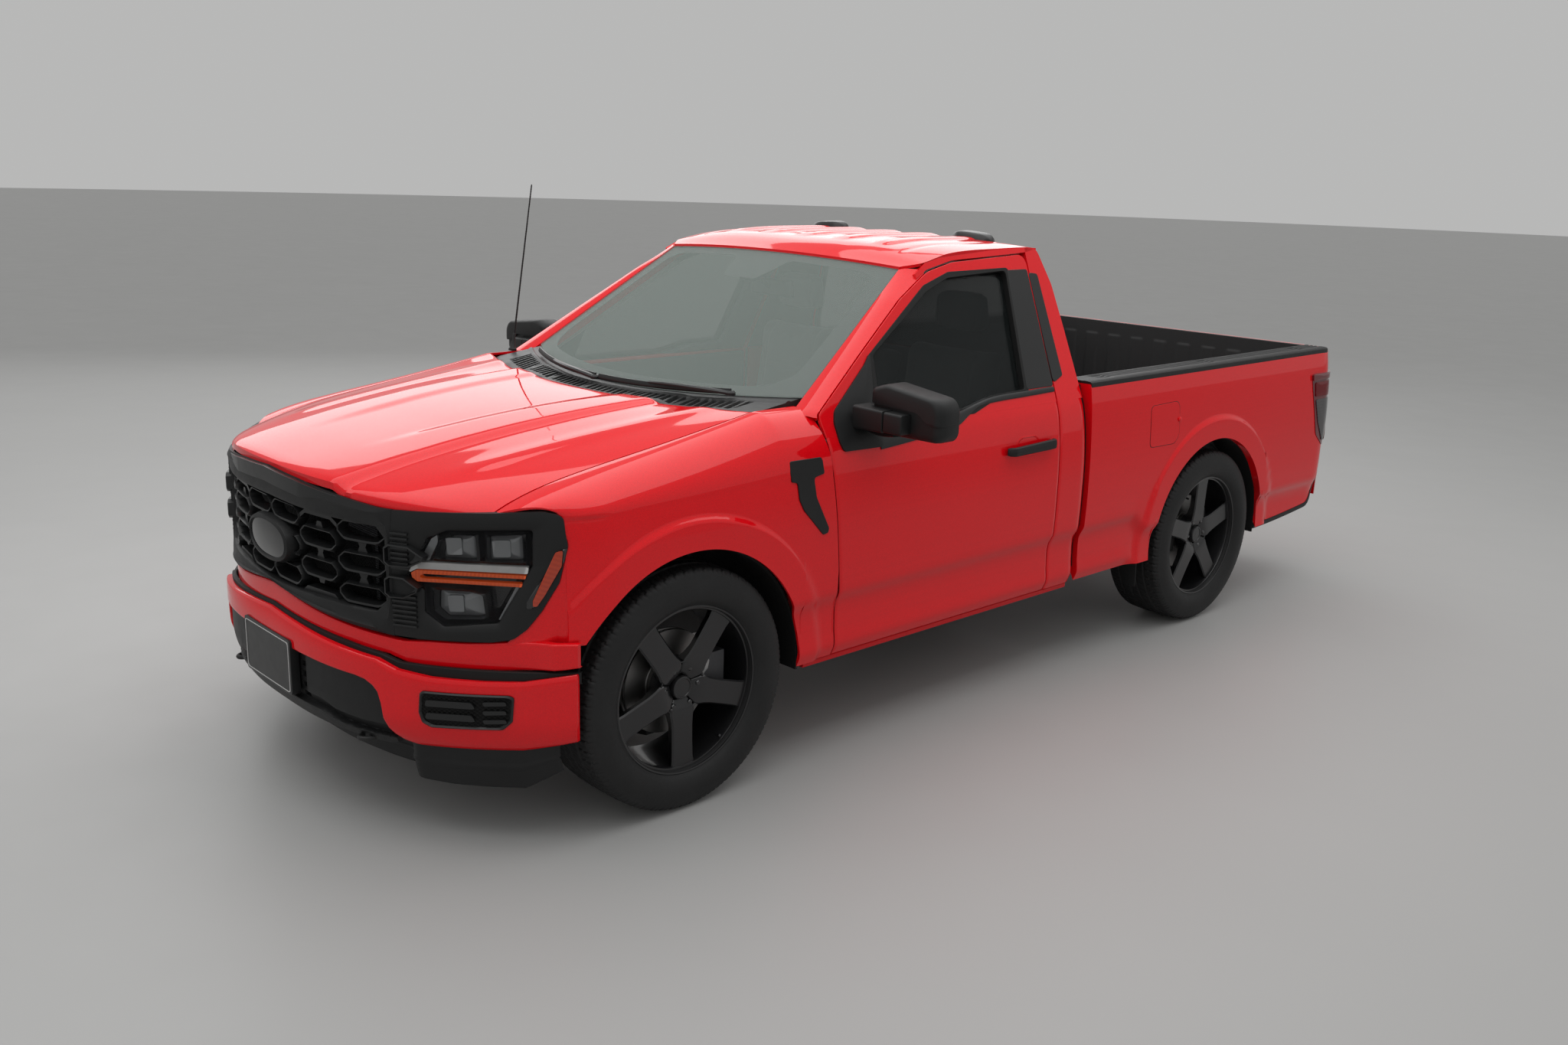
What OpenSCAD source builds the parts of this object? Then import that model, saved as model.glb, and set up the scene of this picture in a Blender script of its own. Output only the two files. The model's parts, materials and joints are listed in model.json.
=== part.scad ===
// Full-size pickup truck: single cab, two doors and a short open bed, lowered on 22-inch wheels.
// Millimetres. The front faces -Y, the truck's left side is +X, and Z is up from the ground.

/* [Layout] */
// Distance between the front and rear axles
wheelbase = 3119; // [2600:1:3750]
// From the nose to the front axle
front_overhang = 951; // [860:1:1140]
// From the rear axle to the tail
rear_overhang = 1241; // [1040:1:1490]
// Width of the body over the wheel arches
body_w = 2028; // [1700:1:2430]
// Length of a door along its lower edge
door_len = 1232; // [1040:1:1400]
// Gap round doors, hood and tailgate
shut_gap = 6; // [5:0.5:8]

/* [Heights] */
// Lower edge of the doors above the ground
sill_z = 376; // [340:1:450]
// Window line, where the side glass starts
belt_z = 1160; // [1080:1:1250]
// Top of the roof
roof_z = 1770; // [1600:1:2000]
// Top of the bed's side rails
rail_z = 1210; // [1120:1:1260]
// Top of the bed floor
bed_floor_z = 680; // [660:1:760]

/* [Wheels] */
// Radius of the tyre
tyre_r = 407.5; // [380:0.5:440]
// Width of the tyre
tyre_w = 285; // [240:1:300]
// Radius of the rim at the tyre's bead
rim_r = 282; // [250:1:300]
// Radius of the wheel arches' lips
arch_r = 478; // [460:1:500]
// Radius of the brake discs
disc_r = 175; // [150:1:190]
// Radius of the circle of wheel studs
stud_circle_r = 67.5; // [60:0.5:80]
// Number of spokes
spokes = 5; // [3:1:9]

/* [Panels] */
// Thickness of a door below its window
door_t = 124; // [100:1:160]
// Thickness of the window frames and roof pillars
frame_t = 50; // [40:1:60]
// Thickness of fenders, hood and bumper skins
skin_t = 14; // [8:1:20]
// Thickness of the fixed and door glass
glass_t = 5; // [4:0.5:8]
// Width of a bed side across its double wall
bed_wall_t = 170; // [150:1:200]

/* [Chassis] */
// Distance from the centre line to the middle of a frame rail
rail_x = 425; // [380:1:440]
// Width of a frame rail
rail_w = 70; // [60:1:80]
// Top of the frame rails under the cab
frame_z = 480; // [460:1:500]

/* [Hidden] */
$fn = 48;

hw = body_w / 2;
overall_l = front_overhang + wheelbase + rear_overhang;
nose_y = -overall_l / 2;
tail_y = overall_l / 2;
front_axle = nose_y + front_overhang;
rear_axle_y = front_axle + wheelbase;
door_y0 = front_axle + 662;
door_y1 = door_y0 + door_len;
cab_y1 = door_y1 + 182;
bed_y0 = cab_y1 + 33;
bed_y1 = tail_y - 95;
gate_y = bed_y1 - 15;
gate_t = 60;
seat_gap = 0.3;

// Tyres sit just inside the arches
tyre_x = hw - 12 - tyre_w / 2;
hub_x = tyre_x + 44;
kingpin_x = tyre_x - 88;
shaft_r = 30;
shaft_fit = 0.05;

// Side profile: height, and how far the skin lies inside the widest point
side_table = [[376, 46], [421, 27], [480, 36], [560, 37], [640, 14], [760, 10], [900, 11], [1040, 24],
    [1130, 45], [1160, 55], [1210, 70]];
bed_table = [[376, 46], [421, 27], [480, 36], [560, 37], [640, 14], [760, 10], [900, 11], [1040, 18],
    [1130, 26], [1210, 38]];
function side_x(z) = hw - lookup(z, side_table);
function bed_x(z) = hw - lookup(z, bed_table);
belt_x = side_x(belt_z);
lean = atan(0.44);
cabin_h = roof_z - belt_z;
function up(f) = belt_z + f * cabin_h;
function lean_x(z) = belt_x - (z - belt_z) * tan(lean);

function clamp(v) = min(1, max(0, v));
function ease(v) = let (c = clamp(v)) c * c * (3 - 2 * c);
function mix(a, b, k) = a + (b - a) * k;

// A curved sheet: a grid of outer points and a matching grid of inner points, closed round its rim.
module sheet(outer, inner) {
    nu = len(outer);
    nv = len(outer[0]);
    n = nu * nv;
    function at(i, j) = i * nv + j;
    points = [for (g = [outer, inner]) for (row = g) for (p = row) p];
    skin = [for (i = [0:nu - 2]) for (j = [0:nv - 2])
        each [[at(i, j), at(i, j + 1), at(i + 1, j + 1)], [at(i, j), at(i + 1, j + 1), at(i + 1, j)]]];
    back = [for (f = skin) [n + f[2], n + f[1], n + f[0]]];
    low = [for (i = [0:nu - 2]) [at(i, 0), at(i + 1, 0)]];
    high = [for (i = [0:nu - 2]) [at(i + 1, nv - 1), at(i, nv - 1)]];
    first = [for (j = [0:nv - 2]) [at(0, j + 1), at(0, j)]];
    last = [for (j = [0:nv - 2]) [at(nu - 1, j), at(nu - 1, j + 1)]];
    rim = [for (e = concat(low, high, first, last))
        each [[e[0], e[1], n + e[1]], [e[0], n + e[1], n + e[0]]]];
    polyhedron(points, concat(skin, back, rim));
}

// A bar through rings of points: the convex stretch between each ring and the next
module loft(rings) {
    for (k = [0:len(rings) - 2]) let (points = concat(rings[k], rings[k + 1]))
        hull() polyhedron(points, [for (i = [0:len(points) - 3]) [i, i + 1, i + 2]]);
}

// Both sides of the truck
module pair() {
    children();
    mirror([1, 0, 0]) children();
}

// A flat outline in (y, z), from x0 to x1
module side_slab(x0, x1) {
    translate([x0, 0, 0]) rotate([90, 0, 90]) linear_extrude(x1 - x0) children();
}

// A flat outline in (y, height up the slope), lying on the leaning side of the cabin
module lean_slab(depth0, depth1) {
    translate([belt_x, 0, belt_z]) rotate([0, -lean, 0]) rotate([90, 0, 90])
        translate([0, 0, -depth1]) linear_extrude(depth1 - depth0) children();
}
function on_slope(points) = [for (p = points) [p[0], (p[1] - belt_z) / cos(lean)]];

// A box from its low corner to its high corner
module block(low, high) {
    translate(low) cube(high - low);
}

// ---- Nose surfaces -------------------------------------------------------------------------------
// The fascia and the bumper sweep back from the centre towards the corners.
function fascia_y(x) = nose_y + 35 + 450 * pow(abs(x) / (hw - 64), 2.6);
function bumper_y(x) = nose_y + 8 + 496 * pow(abs(x) / (hw - 9), 2.77);

// A sheet on the nose from x0 to x1. Its lower and upper edges are functions of x.
module nose_sheet(x0, x1, low, high, t, n, bumper = false, tuck = 0) {
    function face_y(x) = bumper ? bumper_y(x) : fascia_y(x);
    xs = [for (i = [0:n]) mix(x0, x1, i / n)];
    sheet([for (x = xs) [for (k = [0, 0.5, 1]) [x, face_y(x) + tuck * abs(2 * k - 1), mix(low(x), high(x), k)]]],
        [for (x = xs) [for (k = [0, 0.5, 1]) [x, face_y(x) + t, mix(low(x), high(x), k)]]]);
}
function level(z) = function (x) z;

// ---- Hood and fenders ----------------------------------------------------------------------------
seam_x = hw - 204;
hood_rear_y = front_axle + 406;
hood_front_z = 1084;
hood_rear_z = 1228;
seam_front_z = 1044;
hood_t = 26;
under_hood = function (x) hood_z(x, 0) - hood_t - 5;
seam_rear_z = 1246;
cowl_bow = 160;
function hood_front_y(x) = fascia_y(x) + 14;
function hood_back_y(x) = hood_rear_y - cowl_bow * (1 - pow(abs(x) / seam_x, 2));
// Height along the hood, k from 0 at the front to 1 at the rear, u from 0 at the centre to 1 at the seam
function hood_mid_z(k) = mix(hood_front_z, hood_rear_z, 1 - pow(1 - k, 1.9));
function seam_z(k) = mix(seam_front_z, seam_rear_z, 0.32 * (1 - pow(1 - k, 7)) + 0.68 * pow(k, 1.35));
function dome(x, k) = 14 * ease((400 - abs(x)) / 60) * ease(k / 0.25);
function hood_z(x, k) = let (u = abs(x) / seam_x)
    mix(hood_mid_z(k), seam_z(k), pow(u, 2.4)) + dome(x, k);

// Hood hinges: the pins lie inside the rear corners of the panel
cowl_gap = 11;
pin_r = 4;
hinge_x = seam_x - 60;
hood_pin = [hood_back_y(hinge_x) - 9, hood_z(hinge_x, 1) - 12];
module hood() {
    xs = [for (u = [-1, -0.9, -0.78, -0.65, -0.5, -0.42, -0.25, 0, 0.25, 0.42, 0.5, 0.65, 0.78, 0.9, 1])
        u * (seam_x - shut_gap / 2)];
    ks = [0, 0.04, 0.12, 0.25, 0.45, 0.65, 0.85, 1];
    function place(x, k, drop) =
        [x, mix(hood_front_y(x), hood_back_y(x), k), hood_z(x, k) - drop];
    color("firebrick") difference() {
        sheet([for (x = xs) [for (k = ks) place(x, k, 0)]],
            [for (x = xs) [for (k = ks) place(x, k, hood_t)]]);
        pair() {
            block([hinge_x - 10, hood_pin[0] - 11, hood_pin[1] - 60], [hinge_x + 10, hood_pin[0] + 60, hood_pin[1] + 40]);
            translate([hinge_x - 21, hood_pin[0], hood_pin[1]]) rotate([0, 90, 0])
                cylinder(r = pin_r + shaft_fit, h = 42);
        }
    }
}

// How far a point on the side lies outside the plain profile, near a wheel arch
function flare(y, z, axle) =
    let (d = norm([y - axle, z - tyre_r + 8]))
    lookup(z, [[400, 14], [640, 14], [1000, 14]]) * ease((arch_r + 112 - d) / 60) * 0.9;
function arch_z(y, axle, low) =
    let (dy = abs(y - axle)) dy >= arch_r ? low : max(low, tyre_r - 8 + sqrt(arch_r * arch_r - dy * dy));
function nose_taper(y) = 44 * pow(clamp((front_axle - 290 - y) / 165), 2);
function fender_x(y, z) = min(hw, side_x(z) + flare(y, z, front_axle)) - nose_taper(y);
fender_low_front = 582;
shoulder_z = 1035;
fender_front_y = nose_y + 500;
function fender_rear_y(z) = door_y0 - shut_gap - lookup(z, [[570, 0], [1114, 52], [1160, 60], [1260, 70]]);

module fender_left() {
    lip = [for (a = [152, 140, 128, 115, 100, 85, 70, 55, 40, 26, 13, 0]) front_axle + arch_r * cos(a)];
    ys = concat([fender_front_y], lip, [front_axle + arch_r + 14, door_y0 - 60, door_y0]);
    n = len(ys) - 1;
    // Rows follow the heights of the side profile, so that the rear edge lies flush with the door
    up_side = concat([0], [for (r = side_table) if (r[0] > sill_z && r[0] < shoulder_z)
        (r[0] - sill_z) / (shoulder_z - sill_z)], [1]);
    over = [22, 45, 68, 90];
    function low_z(y) = y < front_axle - arch_r * 0.88 ? fender_low_front : arch_z(y, front_axle, sill_z);
    function seam_k(y) = clamp((y - hood_front_y(seam_x)) / (hood_back_y(seam_x) - hood_front_y(seam_x)));
    // Places on the shoulder run back along the headlamp before they meet the seam
    function point(i, a, f, t) =
        let (
            y = ys[i],
            low = low_z(y),
            z_side = mix(low, shoulder_z, f),
            x_side = fender_x(y, z_side),
            in_x = seam_x + shut_gap / 2,
            x = a == 0 ? x_side : in_x + (x_side - in_x) * cos(a),
            reach = max(0, 1 - i / 6),
            y_front = a == 0 ? y : min(y, hood_front_y(x)),
            y_mid = mix(y, y_front, reach * reach),
            top = seam_z(seam_k(y_mid)),
            z = a == 0 ? z_side : shoulder_z + (top - shoulder_z) * sin(a),
            y_end = i == n ? fender_rear_y(z) - 2.4 * t : i == n - 1 ? fender_rear_y(z) - 60 : y_mid
        )
        [x - t * cos(a), y_end, z - t * sin(a)];
    function row(i, t) = concat([for (f = up_side) point(i, 0, f, t)], [for (a = over) point(i, a, 1, t)]);
    sheet([for (i = [0:n]) row(i, 0)], [for (i = [0:n]) row(i, skin_t)]);
}
module fenders() {
    color("firebrick") pair() fender_left();
}

// ---- Doors ---------------------------------------------------------------------------------------
// The edges of a door, each moved outwards by g, as (y, z)
function door_low(g) = [[door_y0 - g, sill_z - g], [door_y0 - g, 570], [door_y0 - 52 - g, 1114],
    [door_y0 - 58 - g, belt_z + 8], [door_y1 + 8 + g, belt_z + 8], [door_y1 + g, 900], [door_y1 + g, sill_z - g]];
function door_up(g) = [[door_y0 - 58 - g, belt_z - 4], [door_y0 - 68 - g, up(0.118)],
    [door_y0 + 218 - 0.55 * g, up(0.418) + 0.84 * g], [door_y0 + 482 - 0.55 * g, up(0.687) + 0.84 * g],
    [door_y0 + 669 - 0.3 * g, up(0.836) + 0.95 * g], [door_y0 + 825, up(0.885) + g],
    [door_y1 + 55 + g, up(0.918) + g], [door_y1 + 8 + g, belt_z - 4]];
// The window in the door, each edge moved inwards by g
function window(g) = [[door_y0 + 218 + g, up(0.028) + g], [door_y0 + 256 + g, up(0.395) - g],
    [door_y0 + 629 + g, up(0.731) - g], [door_y0 + 777, up(0.805) - g], [door_y1 - 90 - g, up(0.826) - g],
    [door_y1 - 167 - g, up(0.092) + g], [door_y0 + 851 + g, up(0.08) + g], [door_y0 + 720 + g, up(0.028) + g]];
// Door hinges: the pin's place in plan, its height on each hinge, and the pocket round it
hinge_pin = [hw - 44, door_y0 + 8];
hinge_zs = [600, 930];
hinge_h = 12;
neck_x = hw - 110;
door_lap = 54;
door_inset = 20;
door_edge_t = 15;

module door_section() {
    outer = [for (r = side_table) if (r[0] <= belt_z) [hw - r[1], r[0]]];
    polygon(concat([[side_x(sill_z), sill_z]], [for (p = outer) if (p[1] > sill_z && p[1] < belt_z) p],
        [[belt_x, belt_z], [hw - 10 - door_t, belt_z], [hw - 10 - door_t, sill_z + 104],
        [hw - door_lap - 10, sill_z + 104], [hw - door_lap - 10, sill_z]]));
}
module door_left_shape() {
    intersection() {
        translate([0, door_y1 + 60, 0]) rotate([90, 0, 0]) linear_extrude(door_len + 200) door_section();
        union() {
            side_slab(hw - door_lap - 10, hw + 5) polygon(door_low(0));
            side_slab(hw - 10 - door_t - 5, hw - door_lap - 10) polygon(door_low(-door_inset));
        }
    }
    difference() {
        union() {
            lean_slab(0, door_edge_t) polygon(on_slope(door_up(0)));
            lean_slab(door_edge_t, frame_t) polygon(on_slope(door_up(-door_inset)));
        }
        lean_slab(-5, frame_t + 5) polygon(on_slope(window(0)));
        block([0, door_y0 - 200, 0], [hw + 50, door_y1 + 200, belt_z - 1]);
    }
}
module door_left() {
    color("firebrick") door_with_hinges();
}
module door_right() {
    color("firebrick") mirror([1, 0, 0]) door_with_hinges();
}
module door_with_hinges() {
    difference() {
        door_left_shape();
        for (z = hinge_zs) {
            block([hw - door_t - 20, door_y0 - 100, z - hinge_h - 2], [hinge_pin[0] + 11, hinge_pin[1] + 11, z + hinge_h + 2]);
            translate([hinge_pin[0], hinge_pin[1], z - 31]) cylinder(r = pin_r + shaft_fit, h = 62);
        }
    }
}
// The fixed half of a door hinge: a goose neck from the hinge pillar to the pin
module door_hinge(z) {
    block([neck_x - 7, door_y0 - 76, z - hinge_h], [neck_x + 7, hinge_pin[1] + 7, z + hinge_h]);
    block([neck_x - 7, hinge_pin[1] - 7, z - hinge_h], [hinge_pin[0], hinge_pin[1] + 7, z + hinge_h]);
    translate([hinge_pin[0], hinge_pin[1], z - hinge_h]) cylinder(r = 9, h = 2 * hinge_h);
    translate([hinge_pin[0], hinge_pin[1], z - 30]) cylinder(r = pin_r, h = 60);
}
module door_glass_shape() {
    intersection() {
        lean_slab(22, 22 + glass_t) polygon(on_slope(window(0.3)));
        block([0, door_y0, belt_z + 1], [hw, door_y1, roof_z]);
    }
}
module door_glass_left() {
    color("dimgray") door_glass_shape();
}
module door_glass_right() {
    color("dimgray") mirror([1, 0, 0]) door_glass_shape();
}

// ---- Mirrors -------------------------------------------------------------------------------------
mirror_y = door_y0 + 110;
mirror_z = belt_z + 60;
mirror_reach = 290;
module mirror_shape() {
    block([lean_x(mirror_z) - 60, mirror_y + 20, mirror_z - 50], [lean_x(mirror_z) + 130, mirror_y + 90, mirror_z + 30]);
    block([lean_x(mirror_z) + 90, mirror_y, mirror_z - 60], [hw + mirror_reach, mirror_y + 115, mirror_z + 120]);
}
module mirror_left() {
    color("black") difference() {
        mirror_shape();
        translate([seat_gap, 0, 0]) door_mask();
    }
}
module door_mask() {
    lean_slab(0, 200) polygon(on_slope([[door_y0 - 300, belt_z - 300], [door_y0 - 300, roof_z],
        [door_y1, roof_z], [door_y1, belt_z - 300]]));
    translate([0, door_y1, 0]) rotate([90, 0, 0]) linear_extrude(door_len + 200) door_section();
}
module mirror_right() {
    color("black") mirror([1, 0, 0]) difference() {
        mirror_shape();
        translate([seat_gap, 0, 0]) door_mask();
    }
}

// ---- Cab -----------------------------------------------------------------------------------------
cab_in_x = hw - 170;
cab_floor_z = frame_z + 5;
shield_corner = [hw - 212, front_axle + 640];
shield_top = [hw - 350, front_axle + 1250];
shield_bow = 245;
// The windshield's edge at height share k and across share u
function shield_y(u, k) = mix(shield_corner[1] - shield_bow * (1 - u * u), shield_top[1] - 46 * (1 - u * u), k);
function shield_z(u, k) = mix(mix(belt_z + 85, belt_z + 111, u * u), mix(up(0.885), up(0.846), u * u), k);
function shield_x(u, k) = u * mix(shield_corner[0], shield_top[0], k);

pillar_in_x = hw - 10 - door_t - 16;
module cab_side_left() {
    difference() {
        union() {
            // Sill, hinge pillar and rear quarter below the window line
            block([cab_in_x, door_y0 - 130, sill_z - 30], [hw - 74, cab_y1, sill_z + 94]);
            block([cab_in_x, door_y0 - 130, sill_z + 90], [hw - 95, door_y0 - 76, belt_z + 20]);
            block([cab_in_x, door_y0 - 130, sill_z + 90], [pillar_in_x, door_y0 - 10, belt_z - 5]);
            intersection() {
                translate([0, cab_y1, 0]) rotate([90, 0, 0]) linear_extrude(cab_y1 - door_y1 + 20) door_section();
                side_slab(hw - 10 - door_t - 1, hw + 5)
                    polygon([[door_y1 + shut_gap, sill_z], [door_y1 + shut_gap, 900],
                        [door_y1 + 8 + shut_gap, belt_z], [cab_y1, belt_z], [cab_y1, sill_z]]);
            }
            // Rear quarter and roof rail above the window line
            difference() {
                lean_slab(0, frame_t) polygon(on_slope(concat(roof_line(-edge_t - seat_gap),
                    [[cab_y1 - 4, up(0.72)], [cab_y1, up(0.44)], [cab_y1, belt_z - 4], [door_y1 - 300, belt_z - 4]])));
                lean_slab(-5, frame_t + 5) polygon(on_slope(door_up(shut_gap)));
                block([0, door_y0 - 200, 0], [hw, door_y1 + 400, belt_z - 1]);
            }
        }
    }
    pillar_left();
    // Bracket that carries the fender's rear edge
    block([hw - 96, door_y0 - 122, 700], [side_x(720) - skin_t - 0.7, door_y0 - 92, 740]);
}
// The roof's side edge, each point raised by g, as (y, z)
function roof_line(g) = [[door_y0 + 500, up(0.77) + g], [door_y0 + 669, up(0.89) + g], [door_y0 + 825, up(0.938) + g],
    [door_y1 - 60, up(0.958) + g], [door_y1 + 70, up(0.96) + g], [cab_y1 - 42, up(0.952) + g]];
edge_t = 10;
pillar_gap = 2.2;
// The windshield pillar runs from the hinge pillar to the roof rail
module pillar_left() {
    function edge_y(z) = lookup(z, [for (p = door_up(0)) if (p[1] > belt_z + 20 && p[0] < door_y0 + 700) [p[1], p[0]]]);
    function ring(k) = let (x0 = shield_x(1, k) + pillar_gap, z = shield_z(1, k), y = shield_y(1, k),
            x1 = lean_x(z) - 1, x2 = lean_x(z) - frame_t / cos(lean) - 8)
        [[x0, y - 6, z - 6], [x1, edge_y(z) - 18, z], [x1, edge_y(z - 14) - 18, z - 14], [x2, edge_y(z) + 14, z - 24],
            [x0, y + 40, z - 48]];
    x0 = shield_x(1, 0) + pillar_gap;
    low = [for (p = [[x0, -90], [pillar_in_x - 16, -90], [pillar_in_x - 16, -72], [pillar_in_x - 40, -60], [x0, -40]])
        [p[0], door_y0 + p[1], belt_z - 8]];
    loft([low, ring(0), ring(0.33), ring(0.66), ring(1)]);
}
module cab_sides() {
    color("firebrick") pair() cab_side_left();
}
module door_hinges() {
    color("firebrick") pair() for (z = hinge_zs) door_hinge(z);
}

module cab_back() {
    back = [[cab_y1 - 35, cab_floor_z], [cab_y1, cab_floor_z], [cab_y1, up(0.44)],
        [cab_y1 - 4, up(0.72)], [cab_y1 - 42, up(0.915)], [cab_y1 - 77, up(0.915)], [cab_y1 - 39, up(0.72)],
        [cab_y1 - 35, up(0.44)]];
    x0 = hw - 10 - door_t - seat_gap;
    x1 = lean_x(belt_z + 1) - frame_t / cos(lean) - 0.6;
    top = up(0.915);
    x2 = lean_x(top + 5) - frame_t / cos(lean) - 0.6;
    color("firebrick") difference() {
        intersection() {
            side_slab(-hw, hw) polygon(back);
            rotate([90, 0, 0]) translate([0, 0, -tail_y]) linear_extrude(overall_l)
                polygon([[-cab_in_x + seat_gap, 0], [-cab_in_x + seat_gap, sill_z + 95], [-x0, sill_z + 95],
                    [-x0, belt_z + 1], [-x1, belt_z + 1], [-x2, top + 5], [x2, top + 5], [x1, belt_z + 1],
                    [x0, belt_z + 1], [x0, sill_z + 95], [cab_in_x - seat_gap, sill_z + 95], [cab_in_x - seat_gap, 0]]);
        }
        rotate([90, 0, 0]) translate([0, 0, -tail_y]) linear_extrude(overall_l)
            polygon(rear_window(0));
    }
}
function rear_window(g) = [[-600 + g, up(0.16) + g], [-540 + g, up(0.74) - g], [540 - g, up(0.74) - g],
    [600 - g, up(0.16) + g]];

module roof() {
    line = roof_line(0);
    front = [shield_top[1] + 0.4, shield_z(1, 1) + edge_t + seat_gap, shield_top[0] + 4];
    edge = concat([front], [for (i = [1:5]) [line[i][0], line[i][1], lean_x(line[i][1])]]);
    crown = [shield_z(0, 1) + edge_t + seat_gap, up(0.955), up(0.985), roof_z, roof_z - 4, up(0.975)];
    bow = [46, 20, 0, 0, 0, 0];
    function place(i, u, t) =
        let (e = edge[i], s = 1 - pow(abs(u), i == 0 ? 2 : 3))
        [u * e[2], e[0] - bow[i] * (1 - u * u), mix(e[1], crown[i], s) - t];
    function depth(i, u) = abs(u) > 0.9 || i == 0 || i == 5 ? edge_t : 22;
    color("firebrick") sheet(
        [for (u = across) [for (i = [0:5]) place(i, u, 0)]],
        [for (u = across) [for (i = [0:5]) place(i, u, depth(i, u))]]);
}

across = [-1, -0.94, -0.75, -0.5, -0.25, 0, 0.25, 0.5, 0.75, 0.94, 1];
module fixed_glass() {
    ks = [0, 0.33, 0.66, 1];
    color("dimgray") {
        sheet([for (u = across) [for (k = ks) [shield_x(u, k), shield_y(u, k), shield_z(u, k)]]],
            [for (u = across) [for (k = ks) [shield_x(u, k), shield_y(u, k) + 3, shield_z(u, k) - glass_t]]]);
        translate([0, cab_y1 - 20, 0]) rotate([90, 0, 0]) linear_extrude(glass_t) polygon(rear_window(0.2));
    }
}

module cab_floor() {
    x = cab_in_x - seat_gap;
    wall_y = door_y0 - 110;
    color("dimgray") {
        difference() {
            union() {
                block([-x, wall_y, cab_floor_z], [x, cab_y1 - 35 - seat_gap, cab_floor_z + 20]);
                block([-x, wall_y - 20, cab_floor_z], [x, wall_y, belt_z - 12]);
            }
            block([-160, wall_y + 60, cab_floor_z - 5], [160, wall_y + 700, cab_floor_z + 5]);
        }
    }
}

module dashboard() {
    y0 = door_y0 - 105;
    x = cab_in_x - 40 - seat_gap;
    color("dimgray") {
        side_slab(-x, x) polygon([[y0, belt_z - 260], [y0 + 170, belt_z - 330], [y0 + 260, belt_z - 240],
            [y0 + 270, belt_z - 60], [y0 + 190, belt_z - 14], [y0, belt_z - 14]]);
        block([-140, y0 + 5, cab_floor_z + 20], [140, y0 + 165, belt_z - 255]);
        translate(column_end) rotate([-column_tilt, 0, 0]) translate([0, 0, -170]) cylinder(r = 32, h = 170 - seat_gap);
    }
}
column_x = 385;
column_tilt = 62;
column_end = [column_x, door_y0 + 255, belt_z - 125];
wheel_rim_r = 185;
module steering_wheel() {
    color("black") translate(column_end) rotate([-column_tilt, 0, 0]) {
        rotate_extrude() translate([wheel_rim_r, 20]) circle(14, $fn = 32);
        cylinder(r = 62, h = 34);
        for (a = [0, 180, 270])
            rotate([0, 0, a]) translate([50, -18, 10]) cube([wheel_rim_r - 55, 36, 16]);
    }
}

seat_y = door_y0 + 560;
seat_x = hw - 10 - door_t - 130;
module seat_cushion() {
    top = cab_floor_z + 330;
    color("gray") {
        for (s = [-1, 1]) translate([s * (seat_x / 2 + 100), 0, 0])
            side_slab(-seat_x / 2 + 105, seat_x / 2 - 105) polygon([[seat_y, top - 120], [seat_y + 20, top],
                [seat_y + 500, top - 40], [seat_y + 500, top - 150]]);
        side_slab(-190, 190) polygon([[seat_y, top - 120], [seat_y + 20, top], [seat_y + 500, top - 40],
            [seat_y + 500, top - 150]]);
        block([-seat_x + 30, seat_y + 60, cab_floor_z + 20], [seat_x - 30, seat_y + 460, top - 139]);
    }
}
module seat_back() {
    low = cab_floor_z + 250;
    color("gray") {
        for (c = [[-seat_x / 2 - 100, seat_x - 210], [0, 380], [seat_x / 2 + 100, seat_x - 210]])
            translate([c[0] - c[1] / 2, 0, 0]) side_slab(0, c[1])
                polygon([[seat_y + 500.3, low], [seat_y + 600, low + 620], [seat_y + 690, low + 600],
                    [seat_y + 640, low]]);
        for (c = [-seat_x / 2 - 100, seat_x / 2 + 100]) {
            block([c - 125, seat_y + 600, low + 650], [c + 125, seat_y + 700, low + 830]);
            for (s = [-60, 60]) translate([c + s, seat_y + 645, low + 560]) cylinder(r = 7, h = 100);
        }
    }
}

// Height of the cowl's top at (x, y)
function cowl_front(x) = hood_back_y(x) + cowl_gap;
function cowl_rear(u) = [shield_x(u, 0), shield_y(u, 0) + 3, shield_z(u, 0) - glass_t - 0.6];
function cowl_z(x, y) = let (u = x / shield_corner[0], rear = cowl_rear(u))
    mix(hood_z(x, 1) - 10, rear[2], (y - cowl_front(x)) / (rear[1] - cowl_front(x)));
module cowl() {
    us = [for (u = across) u * 0.99];
    function place(u, k, t) =
        let (rear = cowl_rear(u), x = rear[0], y = mix(cowl_front(x), rear[1], k))
        [x, y, cowl_z(x, y) - t];
    color("black") {
        sheet([for (u = us) [for (k = [0, 0.5, 1]) place(u, k, 0)]],
            [for (u = us) [for (k = [0, 0.5, 1]) place(u, k, 40)]]);
        // Straps and pins for the hood
        pair() {
            block([hinge_x - 7, hood_pin[0] - 7, hood_pin[1] - 40], [hinge_x + 7, cowl_front(hinge_x) + 30, hood_pin[1] - 12]);
            block([hinge_x - 7, hood_pin[0] - 7, hood_pin[1] - 14], [hinge_x + 7, hood_pin[0] + 6, hood_pin[1] + 5]);
            translate([hinge_x - 20, hood_pin[0], hood_pin[1]]) rotate([0, 90, 0]) cylinder(r = pin_r, h = 40);
        }
    }
}
module wipers() {
    function base(x) = let (u = x / shield_corner[0]) [x, shield_y(u, 0) - 24, shield_z(u, 0)];
    color("black") for (start = [590, -10]) {
        p = base(start);
        z = cowl_z(start, p[1] + 11) + 0.6;
        translate([start, p[1], z]) cylinder(r = 11, h = p[2] + 19 - z);
        loft([for (x = [start + 6, start - 150, start - 320, start - 560]) let (q = base(x))
            [[x, q[1] - 7, q[2] + 6], [x, q[1] + 7, q[2] + 6], [x, q[1] + 7, q[2] + 18], [x, q[1] - 7, q[2] + 18]]]);
    }
}
antenna_lean = 9;
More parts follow.
